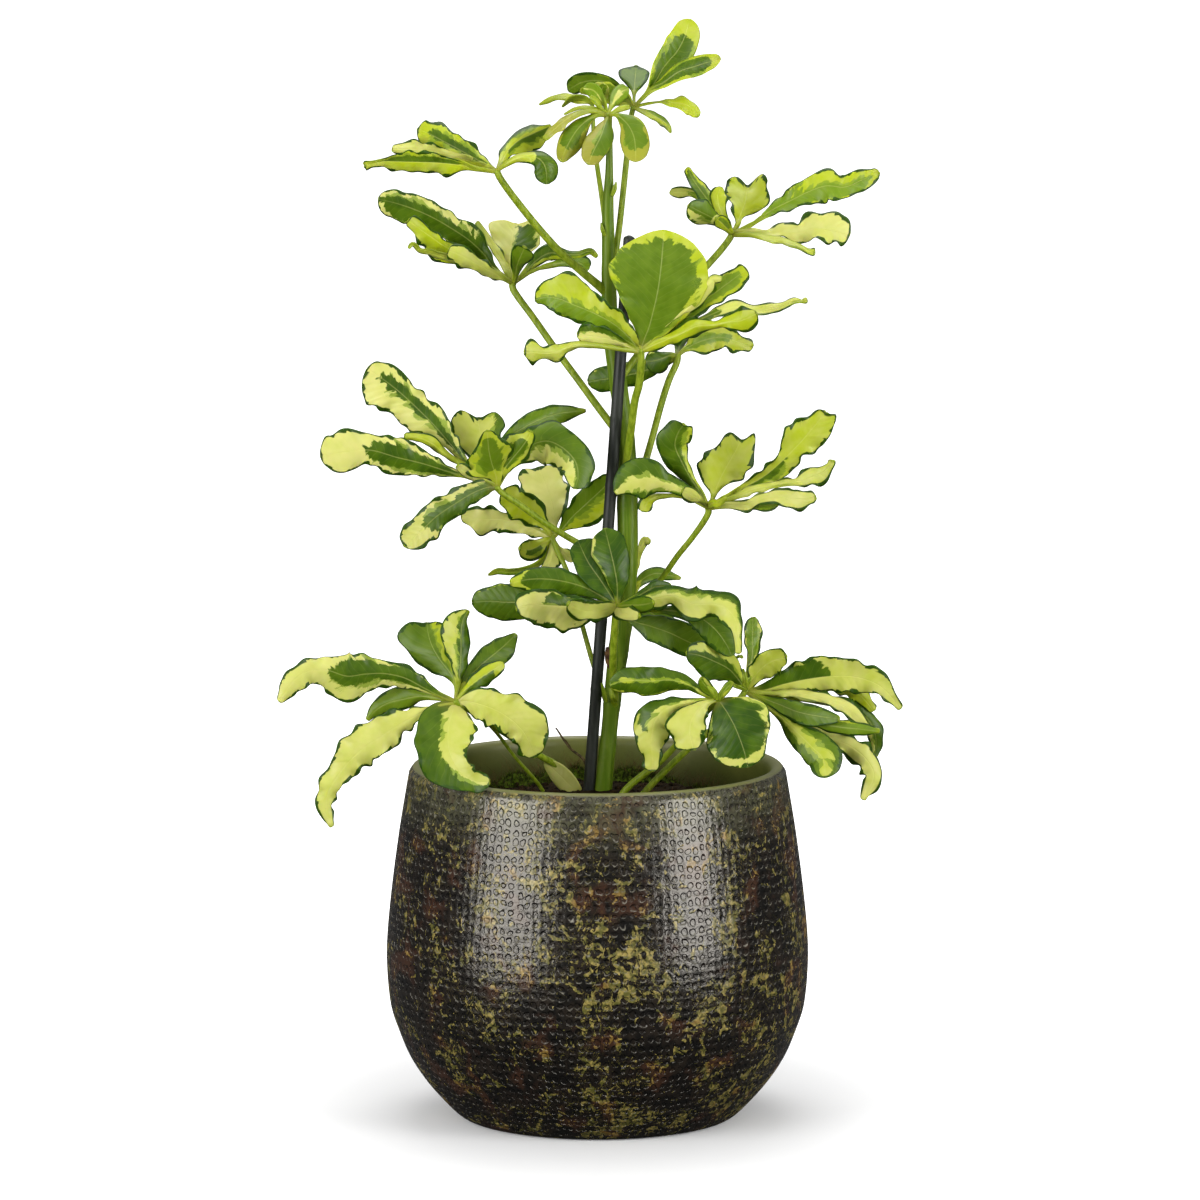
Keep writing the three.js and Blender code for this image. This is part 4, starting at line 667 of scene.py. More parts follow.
              (662, 620, 11, 10), (674, 628, 5)]),
    ]),
    "leaf_low_left": Leaf(hub=(456, 702, -75), stems=[
        [(455, 700, -75, 2), (460, 704.5, -74, 2.3), (475, 713, -68, 2.3), (505, 733, -48, 2.3),
         (537, 754, -25, 2.3), (563.5, 771, -6, 2.4), (573, 792, 3, 2.5), (575, 806, 5, 2.5)],
        [(457, 702, -75, 1.2), (478, 715, -60, 1.2), (495, 731, -43, 1.2), (515, 757, -22, 1.2),
         (541, 788, 0, 1.3), (549, 808, 8, 1.3)],
    ], blades=[
        Blade((-6, -13, 5, 3), 1.3, 0.9, [(456, 702, 1.8), (440, 696, 2, 4), (425, 688.5, 4, 7),
              (405, 678, 10, 12), (385, 673.5, 13.5, 13), (365, 674, 19), (347, 676, 25, 23),
              (326, 670, 18, 14), (306, 672, 13, 11), (291, 684, 11, 10), (279, 702, 3)]),
        Blade((13, 22, 4, 4), 1.4, 0.9, [(456, 702, 1.5), (436, 698, 2), (420, 696, 5, 6),
              (404, 699, 10, 12), (388, 703, 9, 11), (376, 710, 6, 7), (367, 720, 1.5)]),
        Blade((-13, -19, 4, 3), 1.1, 0.9, [(456, 703, 1.8), (440, 706, 2), (421, 713, 6),
              (399, 725, 10, 16), (379, 738, 17, 21), (360, 751, 16, 20), (343, 769, 12, 15),
              (330, 789, 9, 12), (326, 807, 6.5, 8), (332, 827, 2)]),
        Blade((-17, -28, -3, -3), 1.2, 0.7, [(456, 703, 2), (453.5, 709, 17), (450, 720, 27, 29),
              (448, 735, 26, 32), (449, 750, 19, 32), (455, 764, 14, 29), (465, 776, 12, 18),
              (475, 781, 10, 11), (490, 782, 5, 6)]),
        Blade((-6, 6, 3, 3), 1.0, 0.7, [(457, 702, 2), (466, 701, 7, 6), (480, 704, 15, 16),
              (496, 710, 20, 17), (512, 720, 25, 14), (525, 734, 24, 15), (535, 757, 11, 10)]),
        Blade((13, 32, 4, 2), 1.2, 0.5, [(456, 702, 1.6), (455.5, 684, 1.8), (450, 673, 7, 5),
              (440, 660, 15, 13), (432, 646, 23, 19), (428, 633, 29, 23), (427, 621, 24, 20)],
              horns=(3, -2, 1)),
        Blade((10, 17, -5, 5), 1, 0.9, [(456, 702, 1.5), (458, 684, 1.8), (460, 668, 8, 6),
              (461, 650, 16, 7.5), (461, 632, 20, 7), (463, 620, 14, 4), (468, 610, 2.5, 2)]),
        Blade((19, 42, 3, 4), 1.4, 0.9, [(456, 702, 1.5), (461, 690, 1.8), (468, 678, 6, 5),
              (480, 666, 10, 9), (493, 655, 12, 13), (505, 645, 9, 12), (516, 634, 2)]),
        Blade((3, 13, 3, 3), 2.2, 0.8, [(456, 702, 1.5), (466, 690, 3), (476, 681, 7, 8),
              (488, 673, 8, 9), (498, 667, 7, 6), (504, 664, 4)]),
        Blade((66, 58, 3, -3), 0.4, 0.9, [(578, 793, 5), (570, 785, 9, 8), (558, 773, 9),
              (545, 761, 3)], start=(578, 793, -1)),
    ]),
    "leaf_low_right": Leaf(hub=(718, 700, -55), stems=[
        [(720, 697, -55, 1.9), (712, 706, -52, 2.1), (690, 730, -38, 2.1), (660, 762, -19, 2.2),
         (648, 771, -13, 2.3), (624, 792, -10, 2.4), (619, 808, -11, 2.4)],
    ], blades=[
        Blade((4, 12, 5, 3), 1.6, 0.8, [(718, 700, 1.8), (704, 694, 2, 2.5), (688, 684.5, 5.5, 6.5),
              (670, 680, 10), (651, 681, 14.5, 14), (630, 680, 12), (619, 682, 10, 9.5),
              (610, 685, 4)]),
        Blade((-4, -2, 4, 6), 1.4, 0.8, [(718, 700, 1.8), (700, 700.5, 2.5, 2), (681, 703, 6, 5),
              (664, 710, 10, 12), (654, 723, 14, 21), (652, 738, 15, 17), (652, 754, 9, 10),
              (652.5, 771, 8.5)]),
        Blade((-12, -16, 3, 4), 1.2, 0.8, [(718, 700, 1.8), (709, 702, 3, 2.5), (699, 709, 10),
              (692, 720, 16, 20), (690, 733, 13, 21), (694, 750, 9, 10)]),
        Blade((-13, -16, 3, 3), 1.2, 0.6, [(718, 700, 2), (722, 705, 14, 12), (728, 714, 30, 23),
              (735, 727, 37, 31), (741, 742, 29, 32), (745, 754, 22, 27), (748, 767, 14, 17)]),
        Blade((-4, -8, 3, -3), 0.8, 0.8, [(718, 700, 1.5), (713, 694, 4), (706, 686, 6),
              (700, 678, 4, 5)]),
        Blade((-6, -10, 3, -3), 0.8, 0.8, [(718, 700, 1.5), (722, 694, 3.5), (728, 687, 4.5, 4),
              (733, 682, 2.5)]),
    ]),
    "leaf_far_right": Leaf(hub=(746, 691, -20), stems=[
        [(747, 688, -20, 1.9), (742, 696, -20, 2.1), (725, 715, -18, 2.1), (700, 740, -14, 2.1),
         (688, 749, -12, 2.2), (645, 792, -3, 2.3), (636, 808, 0, 2.3)],
    ], blades=[
        Blade((6, 15, -3, 5), 1.2, 0.9, [(746, 690, 1.6), (749, 672, 2.5), (752, 655, 4.5, 5),
              (752.5, 640, 7.5, 8.5), (753, 628, 8.5, 8), (753, 617, 4)]),
        Blade((-6, -15, -3, 5), 1.4, 0.7, [(746, 690, 1.6), (753, 679, 5, 7), (761, 669, 13, 14),
              (772, 661, 12, 14), (787, 657, 8)]),
        Blade((-21, -36, 2, 3), 1.2, 0.7, [(746, 690, 1.6), (739, 680, 5), (729, 669, 14),
              (714, 661, 19, 17), (699, 655, 15, 13), (686, 653, 8, 9)]),
        Blade((-6, -15, -3, 3), 2, 0.9, [(746, 690, 1.8), (763, 690, 5, 2.5), (784, 684, 14, 6),
              (808, 679, 19, 11), (833, 676, 20, 15), (857, 677, 15), (877, 684, 13, 10),
              (889, 694, 7), (901, 709, 2.5)]),
        Blade((3, 6, 3, 3), 1.6, 0.8, [(746, 690, 1.5), (790, 689, 3), (820, 686, 6, 5),
              (845, 688, 8, 7), (862, 697, 8, 7), (874, 711, 4)]),
        Blade((-21, -36, 4, -3), 1.2, 0.9, [(746, 692, 1.6), (761, 698, 2), (778, 704, 6),
              (798, 712, 10), (817, 716, 9, 10), (840, 719, 3)]),
        Blade((-12, -24, 5, -2), 1.8, 0.9, [(746, 691, 1.6), (770, 693, 2), (800, 694, 4),
              (825, 699, 6, 5), (845, 707, 7), (858, 717, 6), (868, 728, 2)]),
        Blade((-27, -45, 3, 3), 1.8, 0.8, [(746, 692, 1.6), (764, 704, 2), (781, 717, 4),
              (796, 731, 10, 11), (811, 746, 17, 14), (823, 759, 19, 15), (826, 778, 11)]),
        Blade((-18, -27, 5, 3), 1.8, 0.9, [(746, 692, 1.6), (780, 712, 2), (812, 728, 3),
              (832, 738, 6), (852, 747, 10), (867, 760, 11), (874, 776, 9, 11),
              (863, 800, 2, 2.5)]),
        Blade((3, 6, 3, 3), 1.6, 0.9, [(746, 691, 1.6), (790, 697, 2), (830, 703, 3), (856, 710, 5),
              (870, 722, 8), (876, 738, 7), (875, 757, 2.5)]),
        Blade((-24, -36, 3, 2), 1, 0.9, [(746, 692, 1.5), (785, 708, 2), (815, 722, 4),
              (840, 727, 7), (860, 729, 6), (880, 731, 2)]),
    ]),
}

# One side of a leaflet green from its midrib to past its edge.
GREEN = (0, 1.3)
PATTERNS: dict[str, list[Pattern]] = {
    "leaf_top_right": [
        Pattern((0, .6), (0, .65), (0, .84), .15, .9, 0),
        Pattern((0, .7), (0, .65), (0, .9), .1, .9, 0), Pattern(GREEN, (0, .8), green=.3),
        Pattern(tone=1, rim=0), Pattern(GREEN, (0, 0), green=.7),
        Pattern((0, .8), (0, .9), (0, 1.1), .45, 1, .03),
        Pattern((0, .3), (0, .7), green=1, tone=.9, rim=0),
    ],
    "leaf_top_front": [
        Pattern((0, .85), (0, .6), (.1, .8), .4, 1.9, 0),
        Pattern((0, .9), (0, .15), (0, .8), .3, 2.1, .0),
        Pattern((0, .5), (0, .8), (0, .8), .4, 1.8, .0), Pattern(tone=1.9, rim=0),
        Pattern(tone=1.7, rim=0), Pattern((.2, 1.3), (.1, 1.3), green=1, tone=.4, rim=0),
        Pattern((.4, 1.3), (.3, 1.3), green=1, tone=.2, rim=0), Pattern(tone=.7, rim=0),
        Pattern((0, .5), (0, .5), green=.8, rim=0),
    ],
    "leaf_top_back": [
        Pattern(tone=.8, rim=.02), Pattern(GREEN, GREEN, green=.5),
        Pattern((0, .4), (0, .4), green=1, tone=.6, rim=0),
    ],
    "leaf_upper_left": [
        Pattern((0, 0), (0, .6), (.3, .85), .1, .85, .04),
        Pattern((0, .15), (0, .45), (.15, .85), .0, .85, .04), Pattern(tone=.35, rim=.04),
        Pattern((.6, 1.3), (0, .4), (.3, .95), .2, .95, .06),
        Pattern(GREEN, (0, .85), (.6, 1.1), .1, .85, .05),
    ],
    "leaf_mid_left": [
        Pattern((0, .92), (0, .45), (0, .97), .0, .1, .02, (0, .45)), Pattern(),
        Pattern(tone=.45, rim=.12), Pattern(tone=.6, rim=.15), Pattern(tone=.5),
        Pattern((0, 0), (.15, .85), (.5, .95), .0, .25, 0), Pattern(GREEN, GREEN, green=.75),
        Pattern(GREEN, (0, .3), green=.1), Pattern(GREEN, GREEN, green=.6),
    ],
    "leaf_center": [
        Pattern((0, .95), (0, .74), (0, .92), .34, .9, 0), Pattern((0, .95), (0, .05), green=.7),
        Pattern((0, 0), (.35, 1.3), (.1, 1.1), .1, .15), Pattern(tone=.7, rim=.12),
        Pattern((0, .5), (0, .6), (0, .93), 1, 1, .1), Pattern(tone=.3, rim=.2),
        Pattern(tone=1, rim=.3), Pattern((0, .7), (0, 1), (.38, .5), .2, .45, .3),
    ],
    "leaf_center_back": [
        Pattern((0, .3), (0, .35), (0, .7), .8, .8, .06), Pattern(GREEN, GREEN),
        Pattern(GREEN, (0, .8), tone=.3),
        Pattern(GREEN, (0, .75), green=.1, tone=.3, margins=(0, .4)),
    ],
    "leaf_upper_right": [
        Pattern((0, .1), (0, .85), (0, .95), .85, .95, .04, (.5, .15)), Pattern(tone=.25, rim=.07),
        Pattern(tone=.7, rim=.12), Pattern(tone=.95, rim=.1),
        Pattern(GREEN, (0, .45), (0, .95), .35, .95), Pattern(rim=.2),
        Pattern(GREEN, GREEN, (0, .75), .9, .5), Pattern((0, .3), GREEN, (.5, 1.1), .4, .35),
        Pattern((0, 0), (0, .6), (.3, .9), .6, 1, .1),
    ],
    "leaf_left": [
        Pattern((0, .6), (0, .6), (.1, .74), -.05, .1, .06),
        Pattern((0, .15), (0, .5), (.15, .9), -.05, .15, .08), Pattern(rim=.15),
        Pattern((0, 0), (.7, 1.3), (.7, 1.1), .1, .5, .1),
        Pattern((0, .45), (0, .5), (.3, .85), .5, .9, .12),
        Pattern((0, .5), (0, .35), (.35, .82), .3, .9, .1), Pattern(GREEN, GREEN, green=.5),
        Pattern(GREEN, (0, .15), green=.25, tone=.3, rim=.08),
        Pattern((0, .8), (0, .35), (0, .74), .1, .2, .1), Pattern(tone=.2, rim=.15),
    ],
    "leaf_left_low": [
        Pattern(tone=.15), Pattern(tone=.85, rim=.1), Pattern(tone=.1),
        Pattern(GREEN, (0, .2), green=.6), Pattern((0, .4), (0, 0), (.4, .8), .2, .9, .3),
        Pattern(tone=.3, rim=.1), Pattern(GREEN, GREEN, green=1), Pattern(tone=.4),
    ],
    "leaf_right": [
        Pattern((.75, 1.3), (.25, 1.3), (.05, 1.1), .1, .3),
        Pattern(GREEN, (0, .35), green=.1, tone=.8), Pattern(tone=.75, rim=.12),
        Pattern((0, 0), (0, .35), (.25, .6), .1, .8, .15), Pattern(tone=.55, rim=.28),
        Pattern(tone=.35, rim=.3), Pattern((0, .6), (0, .6), green=.8), Pattern(tone=.25, rim=.3),
        Pattern(rim=.3), Pattern(tone=.8, rim=.3),
    ],
    "leaf_front": [
        Pattern((0, .86), GREEN, green=-.12, tone=.25, rim=0),
        Pattern(GREEN, GREEN, green=-.12, tone=.1),
        Pattern(GREEN, (0, .85), (.0, 1.1), .15, .8, .05, (0, .3)),
        Pattern(GREEN, GREEN, (0, .9), .05, .8),
        Pattern((0, 0), (.1, .8), (.42, .72), .05, .2, .35), Pattern(tone=.4, rim=.25),
        Pattern(tone=.2, rim=.2), Pattern((.62, 1.3), (0, 0), (.1, 1.1), .05, .45, .35),
        Pattern(GREEN, GREEN, green=.3), Pattern(GREEN, GREEN, green=.15), Pattern(GREEN, GREEN),
        Pattern(GREEN, GREEN, green=.4),
    ],
    "leaf_rear": [
        Pattern(GREEN, GREEN, (.35, 1.1), .5), Pattern(tone=.6, rim=.2),
        Pattern(GREEN, GREEN, green=.3), Pattern(GREEN, GREEN, green=.3),
    ],
    "leaf_low_left": [
        Pattern((0, .42), (0, .74), (0, .66), .0, .2, .05),
        Pattern(GREEN, GREEN, green=.85, tone=.6), Pattern(tone=.35, rim=.1),
        Pattern((0, 0), (.3, 1.3), (.05, 1.1), .05, .45), Pattern(tone=.45, rim=.1),
        Pattern(GREEN, (0, .25), green=.4), Pattern((0, .2), GREEN, tone=.6),
        Pattern(GREEN, GREEN, (.25, 1.1), .25), Pattern((0, 0), (.05, 1.3), (0, .8), .1, .95, .2),
        Pattern(tone=.1, rim=0),
    ],
    "leaf_low_right": [
        Pattern((.14, .86), (.22, 1.3), tone=.85, rim=0),
        Pattern((0, 0), (.3, 1.3), (0, .68), .0, .45), Pattern(tone=.4, rim=.1),
        Pattern((0, .82), (0, .85), (0, .85), -.1, .35, .02),
        Pattern(GREEN, (0, .3), green=.7, tone=.7), Pattern((0, .5), (0, .3), green=.8, tone=.9),
    ],
    "leaf_far_right": [
        Pattern((0, .8), (0, .5), (.4, 1.1), .7, .35, .04), Pattern(tone=.7),
        Pattern(GREEN, (0, .35), tone=.7), Pattern((0, .85), (0, 0), (.05, .5), .0, .5), Pattern(),
        Pattern(GREEN, GREEN, green=.35), Pattern(tone=.25, rim=.2),
        Pattern((.5, 1.3), (.42, 1.3), (0, 1.1), .3, .75), Pattern(tone=.3, rim=.3),
        Pattern(GREEN, (0, .2), green=.1, tone=.3), Pattern((0, .7), GREEN, green=.6),
    ],
}


class Shader:
    """Short ways to add and link nodes in one material or node group."""

    def __init__(self, tree: bpy.types.NodeTree) -> None:
        """Takes the node tree to build in."""
        self.tree = tree

    def add(self, kind: str, **settings: object) -> bpy.types.Node:
        """Adds a node and sets its own options.

        Args:
            kind: Blender's name of the node's type.
            settings: Options by name.

        Returns:
            The node.
        """
        node = self.tree.nodes.new(kind)
        for key, value in settings.items():
            setattr(node, key, value)
        return node

    def fill(self, node: bpy.types.Node, values: dict[int | str, object]) -> bpy.types.Node:
        """Feeds a node's inputs, each with a link where it is given a socket.

        Args:
            node: The node to feed.
            values: Sockets or plain values by the input's name or number.

        Returns:
            The node.
        """
        for key, value in values.items():
            if isinstance(value, Socket):
                self.tree.links.new(value, node.inputs[key])
            else:
                node.inputs[key].default_value = value
        return node

    def math(self, operation: str, *values: object, clamp: bool = False) -> Socket:
        """Adds a math node and returns its result."""
        node = self.add("ShaderNodeMath", operation=operation, use_clamp=clamp)
        return self.fill(node, dict(enumerate(values))).outputs[0]

    def plus(self, a: object, b: object, clamp: bool = False) -> Socket:
        """Adds two numbers, and holds the sum between 0 and 1 if told to."""
        return self.math("ADD", a, b, clamp=clamp)

    def minus(self, a: object, b: object) -> Socket:
        """Takes the second number from the first."""
        return self.math("SUBTRACT", a, b)

    def times(self, first: object, *more: object) -> Socket:
        """Multiplies numbers, from the first on."""
        return reduce(lambda a, b: self.math("MULTIPLY", a, b), more, first)

    def swing(self, value: object, reach: object) -> Socket:
        """Turns a number around 0.5 into a swing around 0."""
        return self.times(self.minus(value, 0.5), reach)

    def vector(self, operation: str, *values: object) -> bpy.types.Node:
        """Adds a vector math node and returns it."""
        node = self.add("ShaderNodeVectorMath", operation=operation)
        return self.fill(node, dict(enumerate(values)))

    def step(self, value: object, low: object, high: object, start: float = 0.0,
             end: float = 1.0) -> Socket:
        """Goes smoothly from start to end while value goes from low to high."""
        node = self.add("ShaderNodeMapRange", interpolation_type="SMOOTHSTEP")
        return self.fill(node, dict(enumerate((value, low, high, start, end)))).outputs[0]

    def fall(self, value: object, low: object, high: object, end: float = 0.0) -> Socket:
        """Falls smoothly from 1 to end while value goes from low to high."""
        return self.step(value, low, high, 1.0, end)

    def rise_at(self, value: object, limit: object, before: object, after: object) -> Socket:
        """Rises from 0 to 1 while value goes from before a limit to after it."""
        return self.step(value, self.minus(limit, before), self.plus(limit, after))

    def fall_at(self, value: object, limit: object, before: object, after: object) -> Socket:
        """Falls from 1 to 0 while value goes from before a limit to after it."""
        return self.fall(value, self.minus(limit, before), self.plus(limit, after))

    def mix(self, share: object, a: object, b: object) -> Socket:
        """Mixes two colours by a share."""
        node = self.add("ShaderNodeMix", data_type="RGBA")
        return self.fill(node, {0: share, 6: a, 7: b}).outputs[2]

    def blend(self, share: object, a: object, b: object) -> Socket:
        """Mixes two numbers by a share."""
        node = self.add("ShaderNodeMix", data_type="FLOAT")
        return self.fill(node, {0: share, 2: a, 3: b}).outputs[0]

    def noise(self, vector: object, scale: object, detail: float = 3, rough: float = 0.5,
              warp: float = 0.0) -> Socket:
        """Adds a noise texture.

        Args:
            vector: Coordinates.
            scale: Count of lumps in a metre or unit.
            detail: Count of finer layers.
            rough: Strength of each finer layer.
            warp: How far the lumps are bent.

        Returns:
            Its value, about 0.5 in the middle.
        """
        values = {"Vector": vector, "Scale": scale, "Detail": detail, "Roughness": rough,
                  "Distortion": warp}
        return self.fill(self.add("ShaderNodeTexNoise"), values).outputs["Fac"]

    def random(self, vector: object) -> Socket:
        """Returns a random number from 0 to 1 for each value of a vector."""
        node = self.add("ShaderNodeTexWhiteNoise", noise_dimensions="3D")
        return self.fill(node, {"Vector": vector}).outputs["Value"]

    def split(self, vector: object) -> list[Socket]:
        """Splits a vector into x, y and z."""
        return list(self.fill(self.add("ShaderNodeSeparateXYZ"), {0: vector}).outputs)

    def combine(self, x: object, y: object, z: object) -> Socket:
        """Joins three numbers into a vector."""
        return self.fill(self.add("ShaderNodeCombineXYZ"), {0: x, 1: y, 2: z}).outputs[0]

    def place(self, name: str = "Object") -> Socket:
        """Returns object or UV coordinates."""
        return self.add("ShaderNodeTexCoord").outputs[name]

    def squeezed(self, share: float) -> Socket:
        """Returns object coordinates with their height cut to a share, for long upright streaks."""
        x, y, z = self.split(self.place())
        return self.combine(x, y, self.times(z, share))

    def mark(self, name: str) -> Socket:
        """Returns a vector that is stored on the vertices."""
        return self.add("ShaderNodeAttribute", attribute_name=name).outputs["Vector"]

    def group(self, effect: "Effect", **values: object) -> Given:
        """Places a shared effect with its own values.

        Args:
            effect: The shared effect.
            values: Input values or links, with spaces in their names written as underscores.

        Returns:
            The effect's outputs by name.
        """
        node = self.add("ShaderNodeGroup", node_tree=effect.tree)
        self.fill(node, {key.replace("_", " "): value for key, value in values.items()})
        return {socket.name: socket for socket in node.outputs}

    def bump(self, height: object, distance: float, strength: float = 1.0) -> Socket:
        """Turns a height into a normal."""
        values = {"Strength": strength, "Distance": distance, "Height": height}
        return self.fill(self.add("ShaderNodeBump"), values).outputs[0]


class Effect:
    """Shader node group with named inputs and outputs."""

    def __init__(self, name: str, inputs: dict[str, object], outputs: Sequence[str],
                 build: Callable[[Shader, Given], dict[str, object]]) -> None:
        """Makes the group.

        Args:
            name: Name of the group.
            inputs: Input names with their default values; a tuple of 4 is a colour, of 3 a vector.
            outputs: Output names; "Colour" is a colour, any other a number.
            build: Function that builds the nodes and returns what feeds each output.
        """
        self.tree = bpy.data.node_groups.new(name, "ShaderNodeTree")
        for key, value in inputs.items():
            wide = len(value) if isinstance(value, tuple) else 1
            kind = {1: "NodeSocketFloat", 3: "NodeSocketVector", 4: "NodeSocketColor"}[wide]
            socket = self.tree.interface.new_socket(key, in_out="INPUT", socket_type=kind)
            socket.default_value = value
        for key in outputs:
            kind = "NodeSocketColor" if key == "Colour" else "NodeSocketFloat"
            self.tree.interface.new_socket(key, in_out="OUTPUT", socket_type=kind)
        shader = Shader(self.tree)
        entry, leave = shader.add("NodeGroupInput"), shader.add("NodeGroupOutput")
        given = {socket.name: socket for socket in entry.outputs if socket.name}
        shader.fill(leave, build(shader, given))


def new_material(name: str, colour: Rgb, **constants: object) -> tuple[Material, Shader,
                                                                      bpy.types.Node]:
    """Starts a material with one surface shader.

    Args:
        name: Name of the material.
        colour: Plain colour that viewers without nodes show.
        constants: Values set straight on the shader's sockets, spaces written as underscores.

    Returns:
        The material, its node builder and its surface shader.
    """
    material = bpy.data.materials.new(name)
    material.use_nodes = True
    material.diffuse_color = (*colour, 1)
    surface = material.node_tree.nodes["Principled BSDF"]
    for key, value in constants.items():
        surface.inputs[key.replace("_", " ")].default_value = value
    return material, Shader(material.node_tree), surface


def linear(shade: Shade) -> tuple[float, float, float, float]:
    """Turns a colour from 0 to 255 as seen on a screen into the shader's linear values.

    Args:
        shade: Red, green and blue.

    Returns:
        The linear colour, opaque.
    """
    seen = [value / 255 for value in shade]
    red, green, blue = (v / 12.92 if v <= 0.04045 else ((v + 0.055) / 1.055) ** 2.4 for v in seen)
    return red, green, blue, 1.0


class Variegation:
    """Leaf pattern: a green heart with a jagged coast in a lime or cream blade.

    Places along and across are in mm, sides in half widths and shares in blade lengths. The jags
    say how far the coast wanders by side vein, by broad noise and at the heart's ends.
    """

    VEIN_LEAN = 0.75
    SEED_GAP = 37.0
    VEIN_BEND = 6.0
    SECTOR_JAG = 0.16
    WIDE_JAG = 0.2
    END_JAG = 0.16
    END_ROUND = 0.12
    NO_LIMIT = 1.5
    HALO_SHARE = 0.3
    HALO_MM = 3.4
    # the dark rim is partly the leaf's green edge and partly painted shade of curled edges
    RIM_LEAST = 0.75
    RIM_WIDEN = 7.0
    SIDE_VEIN = 0.05

    def __init__(self, s: Shader, given: Given) -> None:
        """Reads the leaflet's marks and makes the noises that more than one step uses.

        Args:
            s: Builder of the group's nodes.
            given: The group's inputs.
        """
        self.s, self.given, self.share = s, given, given["Share"]
        self.along, across, self.half = s.split(given["Spot"])
        self.aside = s.math("ABSOLUTE", across)
        self.side = s.math("DIVIDE", self.aside, self.half)
        is_left = s.math("GREATER_THAN", across, 0.0)
        self.inner, self.outer, self.margin = (
            s.blend(is_left, right, left)
            for right, left in zip(s.split(given["Right"]), s.split(given["Left"])))
        self.start, self.end, self.green = s.split(given["Span"])
        self.tone, self.rim, seed = s.split(given["Tint"])
        slant = s.minus(self.along, s.times(self.aside, self.VEIN_LEAN))
        self.flat = s.combine(slant, s.times(across, 0.7), s.times(seed, self.SEED_GAP))
        self.wide = s.noise(s.combine(self.along, across, seed), 0.1, 2)
        self.coast = s.noise(self.flat, 0.24, 2, 0.55)
        bent = s.swing(s.noise(self.flat, 0.12, 2), self.VEIN_BEND)
        self.vein = s.math("DIVIDE", s.plus(slant, bent), given["Vein Gap"])
        self.sector = s.random(s.combine(s.math("FLOOR", self.vein), is_left, seed))

    def masks(self) -> tuple[Socket, Socket]:
        """Finds where the dark heart and the grey-green halo round it lie.

        Returns:
            The masks of the heart and of the halo.
        """
        s = self.s
        shift = s.plus(s.swing(self.coast, self.given["Jag"]),
                       s.plus(s.swing(self.sector, self.SECTOR_JAG),
                              s.swing(self.wide, self.WIDE_JAG)))
        place = s.plus(self.side, shift)
        at_margin = s.rise_at(s.plus(self.share, shift), self.margin, 0.03, 0.001)
        limit = s.blend(at_margin, self.NO_LIMIT, self.outer)
        jagged = s.plus(s.swing(self.coast, self.END_JAG),
                        s.times(s.times(self.side, self.side), self.END_ROUND))
        lengthwise = s.plus(self.share, jagged)
        in_span = s.times(s.rise_at(lengthwise, self.start, 0.02, 0.001),
                          s.fall(lengthwise, self.end, s.plus(self.end, 0.02)))
        from_rib = s.fall(self.inner, 0.0, 0.02)
        has_band = s.step(self.outer, 0.01, 0.05)
        band = s.times(s.fall_at(place, limit, 0.02, 0.02),
                       s.math("MAXIMUM", s.rise_at(place, self.inner, 0.03, 0.001), from_rib))
        heart = s.times(band, in_span, has_band)
        reach = s.times(s.step(s.noise(self.flat, 0.13, 1), 0.4, 0.62),
                        s.math("MINIMUM", self.HALO_SHARE,
                               s.math("DIVIDE", self.HALO_MM, self.half)))
        near_rib = s.step(s.plus(place, reach), s.minus(self.inner, 0.03), self.inner)
        halo = s.times(s.fall_at(s.minus(place, reach), limit, 0.03, 0.01),
                       s.math("MAXIMUM", near_rib, from_rib))
        return heart, s.times(halo, s.times(in_span, has_band))

    def fields(self) -> Socket:
        """Colours the pale blade, the halo and the heart.

        Returns:
            The colour.
        """
        s, given = self.s, self.given
        heart, halo = self.masks()
        tone = s.plus(self.tone, s.swing(self.wide, 0.9), True)
        pale = s.mix(tone, given["Cream"], given["Lime"])
        pale = s.mix(s.step(self.tone, 1.2, 2.2, 0.0, 0.85), pale, given["Young"])
        middle = s.mix(s.step(self.wide, 0.25, 0.75, 0.1, 0.7), given["Middle"], given["Grey"])
        deep = s.mix(s.plus(self.green, 0.12, True), given["Dark"], middle)
        deep = s.mix(s.times(s.step(self.wide, 0.3, 0.7), 0.3), deep, given["Middle"])
        return s.mix(heart, s.mix(s.times(halo, 0.8), pale, middle), deep)

    def edge(self) -> Socket:
        """Finds the dark rim, partly the leaf's green edge and partly painted shade of curled
        edges, left out of the thin foot of the blade.

        Returns:
            The rim's mask.
        """
        s = self.s
        broad = s.times(s.plus(self.RIM_LEAST, s.times(self.rim, self.RIM_WIDEN)),
                        s.step(s.noise(self.flat, 0.15, 2), 0.42, 0.66, 0.6, 2.5),
                        s.step(self.share, 0.8, 1.0, 1.0, 1.7))
        broad = s.math("MINIMUM", broad, s.times(self.half, 0.3))
        length = s.math("DIVIDE", self.along, s.math("MAXIMUM", self.share, 0.02))
        inset = s.math("MINIMUM", s.minus(self.half, self.aside), s.minus(length, self.along))
        return s.times(s.fall(inset, s.times(broad, 0.8), s.plus(broad, 0.12)),
                       s.math("GREATER_THAN", self.rim, 0.001),
                       s.step(s.math("MAXIMUM", self.half, s.times(self.share, 4.0)), 1.8, 3.4))

